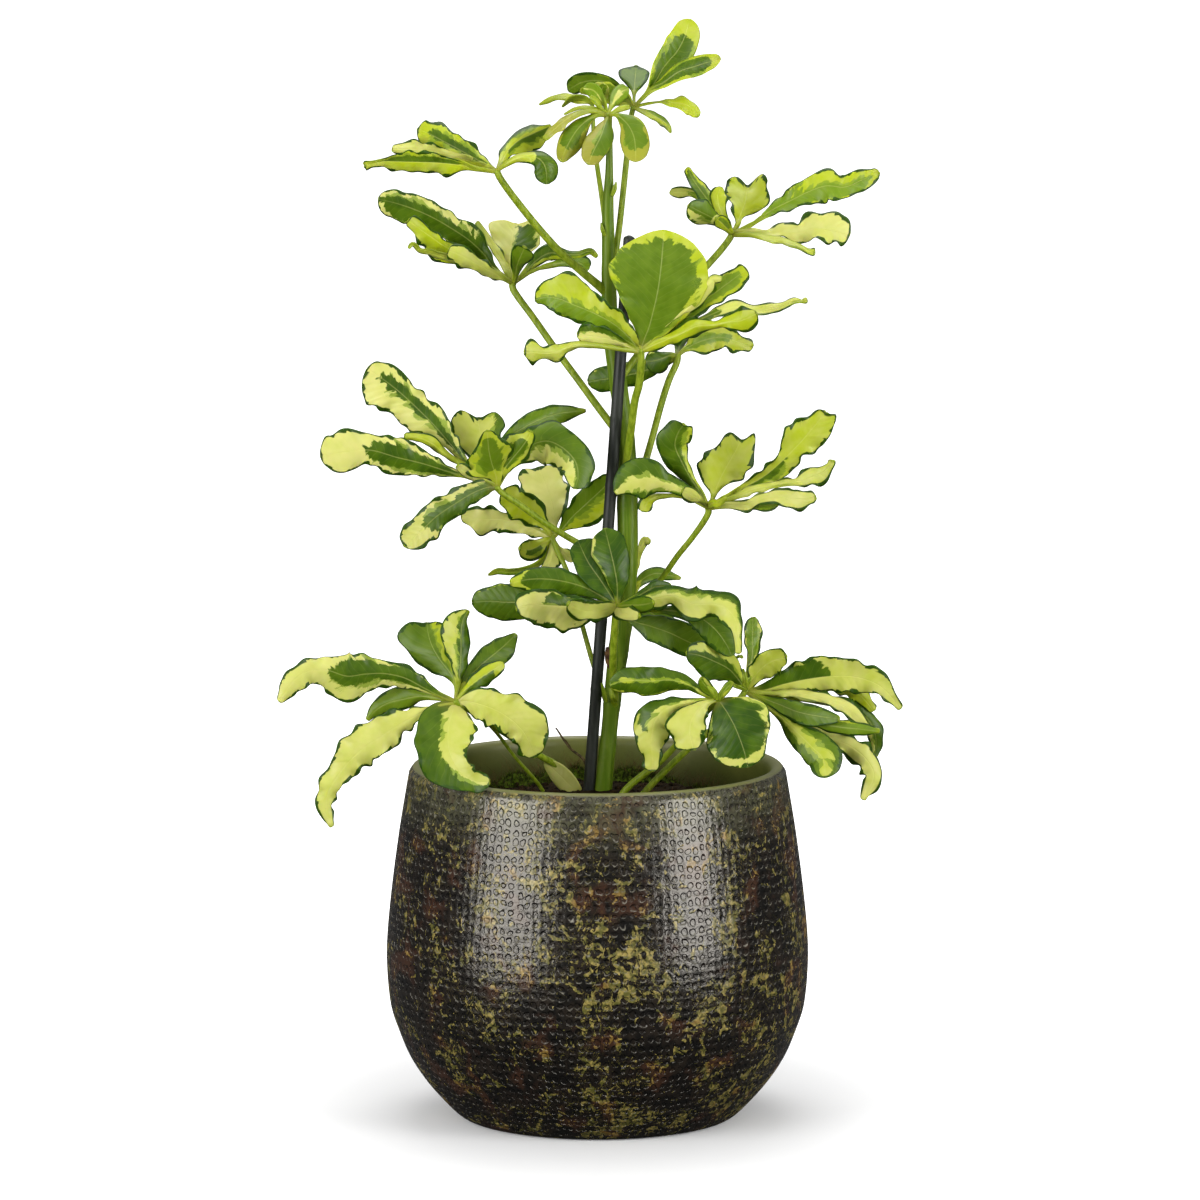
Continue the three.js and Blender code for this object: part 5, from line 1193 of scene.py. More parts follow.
    def outputs(self) -> dict[str, object]:
        """Adds rim, midrib, stalk and side veins to the fields.

        Returns:
            What feeds each output.
        """
        s, given = self.s, self.given
        midrib = s.fall(self.aside, 0.12, 0.5)
        wave = s.math("PINGPONG", self.vein, 0.5)
        side_vein = s.times(s.fall(wave, 0.0, 0.07), s.fall(self.side, 0.6, 0.95), self.SIDE_VEIN)
        strength = s.times(s.fall(self.share, 0.75, 1.0, 0.35), given["Rib Strength"])
        colour = self.fields()
        for mask, key in (
                (self.edge(), "Dark"), (s.times(midrib, strength), "Rib"),
                (s.times(s.fall(self.half, 1.3, 2.4), 0.8), "Stalk"),
                (s.step(self.share, 0.02, 0.14, 0.4, 0.0), "Base"),
                (side_vein, "Rib")):
            colour = s.mix(mask, colour, given[key])
        quilt = s.minus(s.times(s.step(wave, 0.0, 0.5), 0.4), s.times(midrib, 0.5))
        return {"Colour": colour, "Height": quilt}


def build_mottle(s: Shader, given: Given) -> dict[str, object]:
    """Builds soft blotches between two colours, with a fine grain for bumps.

    Args:
        s: Builder of the group's nodes.
        given: The group's inputs.

    Returns:
        What feeds each output.
    """
    blotch = s.noise(given["Vector"], given["Scale"], 4, 0.55, 0.3)
    mask = s.rise_at(blotch, 0.5, given["Softness"], given["Softness"])
    grain = s.noise(given["Vector"], s.times(given["Scale"], 7.0), 2)
    return {"Colour": s.mix(mask, given["First"], given["Second"]), "Mask": mask, "Grain": grain}


def build_dimples(s: Shader, given: Given) -> dict[str, object]:
    """Builds rows of hammered pits from cell coordinates that count one for each pit, with painted
    shade darkest on each pit's upper wall and a painted glint at its lower edge.

    Args:
        s: Builder of the group's nodes.
        given: The group's inputs.

    Returns:
        What feeds each output.
    """
    warp, sway = s.noise(given["Cell"], 0.3, 2), s.noise(given["Cell"], 0.9, 1)
    u, v, _ = s.split(given["Cell"])
    u = s.plus(u, s.swing(warp, 0.9))
    v = s.plus(s.plus(v, s.swing(warp, -1.2)), s.swing(sway, 0.8))
    centre_u, centre_v = s.math("ROUND", u), s.math("ROUND", v)
    chance, other = (s.random(s.combine(centre_u, centre_v, seed)) for seed in (3.0, 8.0))
    du = s.plus(s.minus(u, centre_u), s.swing(chance, 0.22))
    dv = s.plus(s.minus(v, centre_v), s.swing(other, 0.2))
    far = s.math("SQRT", s.plus(s.times(du, du), s.times(dv, dv)))
    far = s.plus(far, s.swing(s.noise(given["Cell"], 2.6, 2), 0.24))
    size = s.plus(0.23, s.times(other, 0.12))
    bowl = s.times(s.fall_at(far, size, 0.05, 0.09), s.blend(chance, 0.45, 1.0))
    # painted shade: a dark ring round each pit, darkest on its upper wall
    pit_shade = s.times(s.fall(s.math("ABSOLUTE", s.minus(far, size)), 0.0, 0.13),
                   s.step(dv, -0.22, 0.16, 0.1, 0.8))
    # painted highlight: a light crescent inside each pit's lower edge
    glint = s.times(s.fall(s.math("ABSOLUTE", s.minus(far, s.plus(size, 0.02))), 0.0, 0.1),
                    s.fall(dv, -0.3, -0.14), s.step(other, 0.15, 0.8))
    return {"Bowl": bowl, "Ring": pit_shade, "Glint": glint}


MOTTLE = Effect("mottle", {"Vector": (0.0, 0.0, 0.0), "Scale": 100.0, "Softness": 0.15,
                           "First": (0.1, 0.1, 0.1, 1.0), "Second": (0.2, 0.2, 0.2, 1.0)},
                ("Colour", "Mask", "Grain"), build_mottle)


@dataclass(frozen=True)
class BladeFinish:
    """Satin leaf blade with its variegation, midrib and side veins."""

    dark: Shade = (47, 80, 2)
    middle: Shade = (116, 150, 2)
    grey: Shade = (146, 168, 56)
    lime: Shade = (182, 196, 30)
    cream: Shade = (225, 223, 131)
    young: Shade = (152, 146, 58)
    rib: Shade = (228, 230, 128)
    stalk: Shade = (152, 168, 34)
    base: Shade = (150, 140, 60)
    vein_gap: float = 5.2
    jag: float = 0.5
    rib_strength: float = 0.22
    # painted light by height: colour gains at the lowest and at the highest leaves
    painted_light_low: float = 0.83
    painted_light_high: float = 0.96

    def make(self) -> Material:
        """Makes the material, with painted light by height: low leaves are painted darker than high
        ones.

        Returns:
            The material.
        """
        colours = ("dark", "middle", "grey", "lime", "cream", "young", "rib", "stalk", "base")
        pattern = Effect("variegation", {
            "Spot": (0.0, 0.0, 1.0), "Share": 0.5, "Left": (0.0, 0.5, 0.0),
            "Right": (0.0, 0.5, 0.0), "Span": (0.0, 1.0, 0.0), "Tint": (0.5, 0.0, 0.0),
            "Vein Gap": 5.0, "Jag": 0.4, "Rib Strength": 0.5,
            **{name.capitalize(): linear(getattr(self, name)) for name in colours},
        }, ("Colour", "Height"), lambda s, given: Variegation(s, given).outputs())
        material, s, surface = new_material(
            "leaf_blade", (0.2, 0.3, 0.05), IOR=1.4, Specular_IOR_Level=0.38,
            Subsurface_Weight=0.35, Subsurface_Scale=0.0012, Subsurface_Radius=(0.7, 1.0, 0.25))
        marks = {name.capitalize(): s.mark(name)
                 for name in ("spot", "left", "right", "span", "tint")}
        made = s.group(pattern, **marks, Share=s.split(s.place("UV"))[0], Vein_Gap=self.vein_gap,
                       Jag=self.jag, Rib_Strength=self.rib_strength)
        height = s.split(s.place())[2]
        # painted light: the colour is dimmed more on low leaves than on high ones
        glow = s.step(height, 0.28, 0.72, self.painted_light_low, self.painted_light_high)
        painted_lit_colour = s.vector("MULTIPLY", made["Colour"], s.combine(glow, glow, glow)).outputs[0]
        s.fill(surface, {"Base Color": painted_lit_colour,
                         "Roughness": s.plus(0.34, s.times(s.noise(s.place(), 900.0, 2), 0.1)),
                         "Normal": s.bump(made["Height"], 0.0005, 0.5)})
        return material


@dataclass(frozen=True)
class StemFinish:
    """Green stem skin with long streaks, from the leaf stalks to the trunk."""

    name: str
    base: Shade
    streak: Shade
    blotch: Shade
    blotch_share: float = 0.5
    gloss: float = 0.38

    def make(self) -> Material:
        """Makes the material.

        Returns:
            The material.
        """
        material, s, surface = new_material(self.name, linear(self.base)[:3], IOR=1.4,
                                            Specular_IOR_Level=0.35)
        streaks = s.group(MOTTLE, Vector=s.squeezed(0.06), Scale=420.0, Softness=0.18,
                          First=linear(self.base), Second=linear(self.streak))
        spots = s.step(s.noise(s.place(), 150.0, 5, 0.6), 0.58, 0.7)
        colour = s.mix(s.times(spots, self.blotch_share), streaks["Colour"], linear(self.blotch))
        s.fill(surface, {"Base Color": colour,
                         "Roughness": s.plus(self.gloss, s.times(spots, 0.2)),
                         "Normal": s.bump(streaks["Mask"], 0.0003, 0.5)})
        return material


@dataclass(frozen=True)
class GlazeFinish:
    """Dark dimpled glaze with olive flecks, rust, and painted shade and glints in its pits; olive
    lip and inside wall.
    """

    black: Shade = (10, 9, 8)
    brown: Shade = (32, 26, 20)
    rust: Shade = (78, 48, 32)
    olive: Shade = (88, 86, 34)
    straw: Shade = (164, 146, 78)
    amber: Shade = (150, 96, 40)
    grey: Shade = (90, 90, 66)
    lip: Shade = (112, 113, 62)
    wall: Shade = (84, 92, 30)
    wall_pale: Shade = (106, 110, 46)
    # painted shade of the inside wall lower down
    deep: Shade = (30, 34, 10)
    # colour of the painted glints in the pits
    glint: Shade = (158, 154, 138)
    body_scale: float = 90.0
    rust_scale: float = 40.0
    drop_scale: float = 26.0
    fleck_scale: float = 108.0
    flame_scale: float = 190.0
    thread_scale: float = 75.0
    fine_scale: float = 330.0
    rough: float = 0.16
    lip_rough: float = 0.42
    pit_depth: float = 0.0016

    def make(self, rows: float) -> Material:
        """Makes the material.

        Args:
            rows: Count of dimple rows up to the lip.

        Returns:
            The material.
        """
        dimples = Effect("hammered_dimples", {"Cell": (0.0, 0.0, 0.0)}, ("Bowl", "Ring", "Glint"),
                         build_dimples)
        material, s, surface = new_material("dimpled_glaze", (0.04, 0.03, 0.02), IOR=1.62,
                                            Specular_Tint=(1.0, 0.95, 0.86, 1.0))
        place = s.place()
        row = s.split(s.place("UV"))[1]
        made = s.group(dimples, Cell=s.place("UV"))
        outside = s.fall(row, rows + 0.55, rows + 0.95)
        skirt = s.times(outside, s.step(row, 0.3, 2.0))
        fine = s.noise(place, self.fine_scale, 3, 0.6)
        drops = s.noise(place, self.drop_scale, 3, 0.6, 0.6)
        rusty = s.noise(place, self.rust_scale, 3, 0.55, 0.4)
        warped = s.plus(s.noise(place, self.fleck_scale, 3, 0.6, 0.9),
                        s.swing(s.noise(place, 430.0, 2), 0.22))
        flame = s.plus(s.noise(s.squeezed(0.55), self.flame_scale, 3, 0.6, 1.2),
                       s.swing(drops, 0.5))
        fleck = s.times(s.math("MAXIMUM", s.step(s.plus(warped, s.swing(drops, 0.55)), 0.59, 0.612),
                               s.step(flame, 0.635, 0.655, 0.0, 0.9)), outside)
        streak = s.math("ABSOLUTE", s.minus(s.noise(place, self.thread_scale, 3, 0.6, 1.6), 0.5))
        thread = s.times(s.fall(streak, 0.0, 0.014), outside, s.step(drops, 0.42, 0.56, 0.0, 0.55))
        paint = s.mix(s.step(fine, 0.42, 0.66), linear(self.olive), linear(self.straw))
        paint = s.mix(s.step(rusty, 0.55, 0.62, 0.0, 0.35), paint, linear(self.amber))
        body = s.mix(s.step(s.noise(place, self.body_scale, 4, 0.65, 0.6), 0.4, 0.62),
                     linear(self.black), linear(self.brown))
        for mask, colour in (
                (s.times(s.step(rusty, 0.52, 0.66), 0.5), linear(self.rust)),
                (s.times(s.step(row, rows - 7.0, rows - 0.4),
                         s.step(warped, 0.35, 0.6, 0.15, 0.7)), linear(self.grey)),
                (thread, paint), (s.times(fleck, 0.92), paint),
                # painted shade on the pits' upper walls
                (s.times(s.times(made["Ring"], skirt), 0.7), (0.0, 0.0, 0.0, 1.0)),
                # painted glints at the pits' lower edges, stronger on the upper rows
                (s.times(made["Glint"], skirt, s.step(row, 0.3 * rows, 0.62 * rows, 0.0, 0.6)),
                 linear(self.glint))):
            body = s.mix(mask, body, colour)
        rough = s.plus(s.plus(self.rough, s.times(fine, 0.12)), s.times(fleck, 0.12))
        lumps = s.plus(s.plus(s.times(s.times(made["Bowl"], skirt), -1.0), s.times(warped, 0.3)),
                       s.times(fine, 0.1))
        s.fill(surface, {"Base Color": s.mix(outside, self.inside(s, place, row, rows), body),
                         "Roughness": s.blend(outside, self.lip_rough, rough),
                         "Normal": s.bump(s.times(lumps, outside), self.pit_depth)})
        return material

    def inside(self, s: Shader, place: Socket, row: Socket, rows: float) -> Socket:
        """Colours the lip and the inside wall, with painted shade lower down the wall.

        Args:
            s: Builder of the material's nodes.
            place: Object coordinates.
            row: Dimple rows from the foot.
            rows: Count of dimple rows up to the lip.

        Returns:
            The colour.
        """
        mottled = s.group(MOTTLE, Vector=place, Scale=26.0, Softness=0.25, First=linear(self.wall),
                          Second=linear(self.wall_pale))
        # painted shade: the inside wall darkens lower down, under the lip
        shade = s.step(s.split(place)[2], 0.196, 0.232, 0.75, 0.0)
        wall = s.mix(shade, mottled["Colour"], linear(self.deep))
        return s.mix(s.step(row, rows, rows + 3.5), linear(self.lip), wall)


@dataclass(frozen=True)
class CaneFinish:
    """Black plastic coating of the support cane."""

    black: Shade = (32, 35, 31)
    worn: Shade = (46, 49, 43)

    def make(self) -> Material:
        """Makes the material.

        Returns:
            The material.
        """
        material, s, surface = new_material("cane_coating", (0.02, 0.02, 0.02), IOR=1.42)
        wear = s.group(MOTTLE, Vector=s.squeezed(0.15), Scale=260.0, Softness=0.12,
                       First=linear(self.black), Second=linear(self.worn))
        s.fill(surface, {"Base Color": wear["Colour"],
                         "Roughness": s.plus(0.42, s.times(wear["Mask"], 0.1)),
                         "Normal": s.bump(wear["Grain"], 0.0002, 0.4)})
        return material


@dataclass(frozen=True)
class EarthFinish:
    """Matt, crumbly or fibrous finish for soil, moss and dry bark."""

    name: str
    first: Shade
    second: Shade
    scale: float
    bump: float = 0.001
    rough: float = 0.85

    def make(self) -> Material:
        """Makes the material.

        Returns:
            The material.
        """
        material, s, surface = new_material(self.name, linear(self.first)[:3], IOR=1.4,
                                            Specular_IOR_Level=0.12)
        made = s.group(MOTTLE, Vector=s.place(), Scale=self.scale, Softness=0.1,
                       First=linear(self.first), Second=linear(self.second))
        s.fill(surface, {"Base Color": made["Colour"],
                         "Roughness": s.plus(self.rough, s.times(made["Grain"], 0.12)),
                         "Normal": s.bump(made["Grain"], self.bump, 0.7)})
        return material


@dataclass(frozen=True)
class FloorFinish:
    """White floor paint, which glows a little for the camera so that it stays white; the glow fades
    close to the pot, which paints shadow round its foot.
    """

    shadow: float = 0.08
    # the glow fades from near to far metres off the pot's axis, stretched to fade later in front:
    # painted shadow
    stretch: Rgb = (1.0, 0.82, 1.0)
    near: float = 0.14
    far: float = 0.44

    def make(self) -> Material:
        """Makes the material.

        Returns:
            The material.
        """
        material, s, surface = new_material(
            "white_floor", (0.95, 0.95, 0.95), Roughness=0.9, Specular_IOR_Level=0.0,
            Emission_Color=(1, 1, 1, 1))
        seen = s.add("ShaderNodeLightPath").outputs["Is Camera Ray"]
        white = s.mix(s.noise(s.place(), 3.0, 2), (0.88, 0.88, 0.88, 1), (0.9, 0.9, 0.9, 1))
        spot = s.vector("MULTIPLY", s.place(), self.stretch).outputs[0]
        away = s.vector("LENGTH", spot).outputs["Value"]
        # painted shadow: the glow is dimmest close to the pot
        glow = s.times(seen, s.step(away, self.near, self.far, 0.1, 1.0))
        s.fill(surface, {"Base Color": s.mix(seen, (*[self.shadow] * 3, 1), white),
                         "Emission Strength": glow})
        return material


@dataclass(frozen=True)
class Wave:
    """Wave along a leaflet's edge: its length in mm, and how far and fast its phase wanders."""

    every: float
    swing: float
    pace: float

    def along(self, run: np.ndarray, inner: float, outer: float) -> np.ndarray:
        """Returns heights from -1 to 1 at lengths in mm, for the wandering's phase and its own."""
        wander = self.swing * np.sin(run * self.pace + inner)
        return np.sin(run * math.tau / self.every + wander + outer)


@dataclass
class Foliage:
    """Compound leaves: fine leaflets and stalks in the places of the frame's leaf nodes.

    Steps, widths and halves are lengths in mm, turns and phases are angles, and the rest are
    shares. A frill is how far an edge ripples: calm blades get the plain one, others the green
    one and more of the pale one. Horns push a tip's corners out, and swells thicken a stalk by a
    share over a length.
    """

    step_along: float = 1.25
    step_across: float = 1.5
    least_steps: int = 12
    least_across: int = 4
    least_mark: float = 0.4
    crowd: float = 0.45
    tip_steps: int = 9
    tip_left: float = 0.06
    blade_half: float = 0.32
    least_half: float = 0.8
    waves_every: float = 30.0
    grow: float = 0.8
    full_grow_half: float = 5.0
    turn_per_leaflet: float = 2.4
    edge_lag: float = 2.1
    phase_step: float = 2.1
    hub_phase: float = 0.7
    calm_wave: float = 0.5
    ripple: Wave = Wave(14.0, 1.4, 0.21)
    ripple_turns: tuple[float, float] = (1.3, 2.9)
    fine_every: float = 7.5
    fine_share: float = 0.2
    sway: Wave = Wave(19.0, 1.5, 0.17)
    sway_turns: tuple[float, float] = (1.7, 3.1)
    fold: Wave = Wave(17.0, 1.2, 0.19)
    fold_lift: float = 1.15
    fold_power: float = 2.4
    plain_frill: float = 0.3
    green_frill: float = 0.6
    pale_frill: float = 1.1
    frill_reach: float = 0.8
    full_frill_half: float = 9.0
    horn_spots: tuple[float, float, float] = (0.72, 0.0, -0.72)
    horn_width: float = 0.3
    horn_shares: tuple[float, float] = (0.72, 0.97)
    stalk_half: tuple[float, float] = (1.4, 3.2)
    stalk_round: float = 1.25
    rib_width: float = 0.9
    rib_groove: float = 0.22
    rib_back: float = 0.55
    stalk_step: float = 2.5
    stalk_sides: int = 14
    foot_swell: tuple[float, float] = (0.22, 7.0)
    top_swell: tuple[float, float] = (0.12, 4.0)
    knob: float = 1.1
    knob_shape: Rgb = (1.05, 1.05, 0.8)

    def build(self, name: str, leaf: Leaf, patterns: list[Pattern], blade: Material,
              stalk: Material) -> None:
        """Builds one leaf and hands it over.

        Args:
            name: Name of the frame's node.
            leaf: The leaf's rows.
            patterns: One pattern for each leaflet.
            blade: Finish of the leaflets.
            stalk: Finish of the stalks.
        """
        blades = [self.leaflet(f"{name}_{order}", leaf.hub[2], form, pattern, order)
                  for order, (form, pattern) in enumerate(zip(leaf.blades, patterns, strict=True))]
        stalks = [self.stalk(f"{name}_stalk", rows) for rows in leaf.stems]
        stalks.append(self.hub(f"{name}_hub", leaf))
        for pieces, finish in ((blades, blade), (stalks, stalk)):
            for piece in pieces:
                dress(piece, finish)
        whole = join_all([*blades, *stalks], name.replace("leaf", "foliage"))
        hand_over(whole, Slot.LEAF, name)

    def leaflet(self, name: str, hub_depth: float, form: Blade, pattern: Pattern,
                order: int) -> Piece:
        """Makes a leaflet as a closed strip round its middle surface.

        Args:
            name: Name of the piece.
            hub_depth: Depth of the hub in mm.
            form: The leaflet's rows and depths.
            pattern: Its variegation.
            order: Its place in the leaf, which sets where its waves start.

        Returns:
            The leaflet with its marks for the finish.
        """
        curve = Curve(form.full_rows)
        length = curve.total * VIEW.step
        widths = curve.rows[:, 2] + curve.rows[:, 3]
        cap_at = 1 - form.cap * widths[-1] / 2 / curve.total
        straight = max(round(length * cap_at / self.step_along), self.least_steps)
        corner = np.linspace(0, math.pi / 2, self.tip_steps)[1:]
        share = np.concatenate([np.linspace(0, cap_at, straight),
                                cap_at + (1 - cap_at) * np.sin(corner)])
        close = np.concatenate([np.ones(straight), np.maximum(np.cos(corner), self.tip_left)])
        across = round(float(np.max(widths)) * VIEW.step / self.step_across / 2)
        q = np.linspace(-1, 1, 2 * max(across, self.least_across) + 1)
        q = (1 - self.crowd) * q + self.crowd * np.sin(q * math.pi / 2)
        frill = self.frill(pattern) if form.wave > self.calm_wave else self.plain_frill
        middle = self.surface(curve, form, share, close, q, hub_depth, order, frill)
        rows = curve.sample(share)
        half = np.maximum(by_side(q, rows[:, 2], rows[:, 3]), self.least_half)
        half = half * close[:, None] * VIEW.step
        points = self.thicken(middle, half, share, q)
        piece = shaped_grid(name, points)
        i, j = grid_index(points.shape[0] - 1, points.shape[1] - 1)
        around = np.concatenate([q, q[-2:0:-1], q[:1]])[j]
        whole = np.concatenate([half, half[:, -2:0:-1], half[:, :1]], axis=1)
        whole = np.maximum(whole, self.least_mark)[i, j]
        set_marks(piece, "spot", np.stack([share[i] * length, around * whole, whole], axis=1))
        seed = order + hub_depth / 10 + length
        for key, values in (("left", (*pattern.left, pattern.margins[0])),
                            ("right", (*pattern.right, pattern.margins[1])),
                            ("span", (*pattern.span, pattern.green)),
                            ("tint", (pattern.tone, pattern.rim, seed))):
            set_marks(piece, key, np.tile(np.array(values, float), (len(i), 1)))
        self.map_share(piece, share[i])
        return piece

    def frill(self, pattern: Pattern) -> float:
        """Returns how far an edge ripples in mm: pale margins ripple more than green ones."""
        pale = 2 - min(pattern.left[1], 1) - min(pattern.right[1], 1)
        return self.green_frill + self.pale_frill * pale

    def surface(self, curve: Curve, form: Blade, share: np.ndarray, close: np.ndarray,
                q: np.ndarray, hub_depth: float, order: int, frill: float) -> np.ndarray:
        """Finds the leaflet's middle surface.

        Args:
            curve: Rows of the midrib.
            form: Depths and waves.
            share: Shares along the midrib.
            close: How far the tip has closed at each share, from 1 to 0.
            q: Places across, from -1 at the right edge to 1 at the left edge.
            hub_depth: Depth of the hub in mm.
            order: The leaflet's place in the leaf.
            frill: How far the edges ripple, in mm.

        Returns:
            Points in mm, along by across by 3.
        """
        mid, tip, left_depth, right_depth = form.depths
        rows = curve.sample(share)
        aim = curve.sample(share + 0.01)[:, :2] - curve.sample(share - 0.01)[:, :2]
        aim /= np.linalg.norm(aim, axis=1)[:, None]
        side = np.stack([aim[:, 1], -aim[:, 0]], axis=1)
        base = form.start[2] - hub_depth if form.start else 0.0
        depth = (hub_depth + (1 - share) * (1 - 2 * share) * base + 4 * share * (1 - share) * mid
                 + share * (2 * share - 1) * tip)
        run = curve.total * VIEW.step * share
        reach = np.abs(q)
        closed = close[:, None]
        waves = max(curve.total * VIEW.step / self.waves_every, 1)
        angle = math.tau * waves * share + order * self.turn_per_leaflet
        edge = by_side(q, left_depth + form.wave * np.sin(angle),
                       right_depth + form.wave * np.sin(angle + self.edge_lag))
        phase = self.phase_step * order + hub_depth * self.hub_phase
        fold = [self.fold.along(run, phase + turn, phase * turn) for turn in self.ripple_turns]
        bend = (edge * (0.25 * reach + 0.75 * reach**2)
                + self.fold_lift * frill * by_side(q, *fold) * reach**self.fold_power)
        lift = np.sin(math.pi * np.minimum(share * 0.9 + 0.02, 1)) * close
        widen = self.widen(run, phase, q)
        half = by_side(q, rows[:, 2], rows[:, 3])
        narrow = np.minimum(half / self.full_frill_half, 1)
        half = (np.maximum(half, self.least_half)
                + self.grow * np.minimum(half / self.full_grow_half, 1))
        half = half * closed + self.frill_reach * frill * widen * reach**3 * narrow * closed
        near = smooth_step(share, *self.horn_shares)[:, None]
        ahead = near * sum(horn * np.exp(-((q * closed - at) / self.horn_width) ** 2)
                           for horn, at in zip(form.horns, self.horn_spots))
        u, v = (rows[:, k:k + 1] + side[:, k:k + 1] * half * q + aim[:, k:k + 1] * ahead
                for k in (0, 1))
        return VIEW.place(u, v, depth[:, None] + lift[:, None] * bend)

    def widen(self, run: np.ndarray, phase: float, q: np.ndarray) -> np.ndarray:
        """Finds how far the edges sway outwards and inwards.

        Args:
            run: Lengths along the midrib in mm.
            phase: Where the leaflet's waves start.
            q: Places across.

        Returns:
            Shares of the frill, along by across.
        """
        ripple = [self.ripple.along(run, phase + turn, phase * turn)
                  + self.fine_share * np.sin(run * math.tau / self.fine_every + phase + 3 * turn)
                  for turn in self.ripple_turns]
        sway = [self.sway.along(run, phase * turn, 2 * turn) for turn in self.sway_turns]
        return by_side(q, sway[0] + 0.3 * ripple[1], sway[1] - 0.3 * ripple[0])

    def thicken(self, middle: np.ndarray, half: np.ndarray, share: np.ndarray,
                q: np.ndarray) -> np.ndarray:
        """Wraps a strip round the middle surface: thin in the blade, round in the stalk.

        Args:
            middle: Points of the middle surface in mm.
            half: Half widths in mm.
            share: Shares along the midrib.
            q: Places across.

        Returns:
            Closed rings of points, front face first.
        """
        along = np.gradient(middle, axis=0)
        across = np.gradient(middle, axis=1)
        normal = np.cross(across, along)
        normal /= np.maximum(np.linalg.norm(normal, axis=2), 1e-9)[..., None]
        normal *= np.where(np.mean(normal[..., 1]) > 0, -1.0, 1.0)
        stalk = 1 - smooth_step(np.max(half, axis=1), *self.stalk_half)[:, None]
        thin = self.blade_half * np.sqrt(np.maximum(1 - q**8, 0.0))
        round_off = np.minimum(half, self.stalk_round) * np.sqrt(np.maximum(1 - q**2, 0.0))
        height = thin * (1 - stalk) + round_off * stalk
        reach = np.abs(q) * half
        rib = np.exp(-(reach / self.rib_width) ** 2) * (1 - share[:, None]) * (1 - stalk)
        front = middle + normal * (height - self.rib_groove * rib)[..., None]
        back = middle - normal * (height + self.rib_back * rib)[..., None]
        return np.concatenate([front, back[:, -2:0:-1], front[:, :1]], axis=1)

    def map_share(self, piece: Piece, share: np.ndarray) -> None:
        """Stretches the UV map so that its first way is the share of the length.

        Args:
            piece: The leaflet.
            share: Share of the length for each vertex.
        """
        loops = np.zeros(len(piece.data.loops), np.int32)
        piece.data.loops.foreach_get("vertex_index", loops)
        spots = get_uv(piece)
        spots[:, 0] = share[loops]
        set_uv(piece, spots)

    def stalk(self, name: str, rows: Rows) -> Piece:
        """Makes a round stalk that swells a little where it leaves the trunk and at its hub.

        Args:
            name: Name of the piece.
            rows: Places, depths and radii, from the hub to the trunk.

        Returns:
            The stalk.
        """
        curve = Curve(rows)
        length = curve.total * VIEW.step
        share = np.linspace(0, 1, max(round(length / self.stalk_step), 6))
        spots = curve.sample(share)
        swell = 1.0
        for (more, reach), away in ((self.foot_swell, 1 - share), (self.top_swell, share)):
            swell = swell + more * np.exp(-(away * length / reach) ** 2)
        return tube(name, VIEW.place(*spots[:, :3].T), spots[:, 3] * swell, self.stalk_sides)

    def hub(self, name: str, leaf: Leaf) -> Piece:
        """Makes the small knob that the leaflets grow from.

        Args:
            name: Name of the piece.
            leaf: The leaf.

        Returns:
            The knob.
        """
        bpy.ops.mesh.primitive_uv_sphere_add(segments=16, ring_count=10,
                                             radius=leaf.stems[0][0][3] * self.knob * MM,
                                             location=VIEW.place_one(*leaf.hub) * MM)
        piece = bpy.context.object
        bpy.ops.object.mode_set(mode="EDIT")
        bpy.ops.transform.resize(value=self.knob_shape)
        bpy.ops.object.mode_set(mode="OBJECT")
        bpy.ops.object.transform_apply(location=True, rotation=True, scale=True)
        piece.name = name
        return piece


@dataclass
class Trunk:
    """Green trunk with swollen leaf scars and faint ribs."""

    rows: Rows = ((601, 812, 0.5, 5.9), (603, 792, 0, 5.8), (607.7, 745, 0, 5.5),
                  (610.6, 716, 0, 5.5), (611.8, 704, 0, 5.8), (612.8, 694, 0, 5.9),
                  (618.4, 650, 0, 6.7), (624.6, 600, 0, 6.9), (627.5, 550, 0, 6.9),
                  (627.3, 500, 0, 6.8), (627, 460, 0, 6.3), (622, 410, 0, 6.0), (616, 370, 0, 5.6),
                  (612, 340, 0, 5.3), (609, 290, 0, 4.8), (608.4, 250, 0, 4.2), (608, 215, 0, 3.9),
                  (609.3, 170, 0, 2.6), (609.4, 136, 0, 2.1))
    scars: tuple[float, ...] = (702, 748, 652, 624, 568, 504, 484, 437, 386, 294, 270, 250, 232,
                                185)
    sides: int = 40
    step: float = 1.6
    ribs: int = 7
    rib_share: float = 0.018
    scar_swell: float = 0.05
    scar_groove: float = 0.035

    def build(self, skin: Material) -> None:
        """Builds the trunk and hands it over.

        Args:
            skin: Finish of the trunk.
        """
        curve = Curve(self.rows)
        share = np.linspace(0, 1, round(curve.total * VIEW.step / self.step))
        spots = curve.sample(share)
        turn = np.linspace(0, math.tau, self.sides + 1)
        swell = np.zeros(len(share))
        for place in self.scars:
            gap = (spots[:, 1] - place) * VIEW.step
            swell += self.scar_swell * np.exp(-(gap / 4.5) ** 2)
            swell -= self.scar_groove * np.exp(-(gap / 0.8) ** 2)
        ribs = self.rib_share * np.cos(self.ribs * turn[None] + 3 * share[:, None])
        radii = spots[:, 3:4] * (1 + swell[:, None] + ribs)
        piece = tube("trunk_skin", VIEW.place(*spots[:, :3].T), radii, self.sides)
        hand_over(piece, Slot.STEM, "trunk", material=skin)


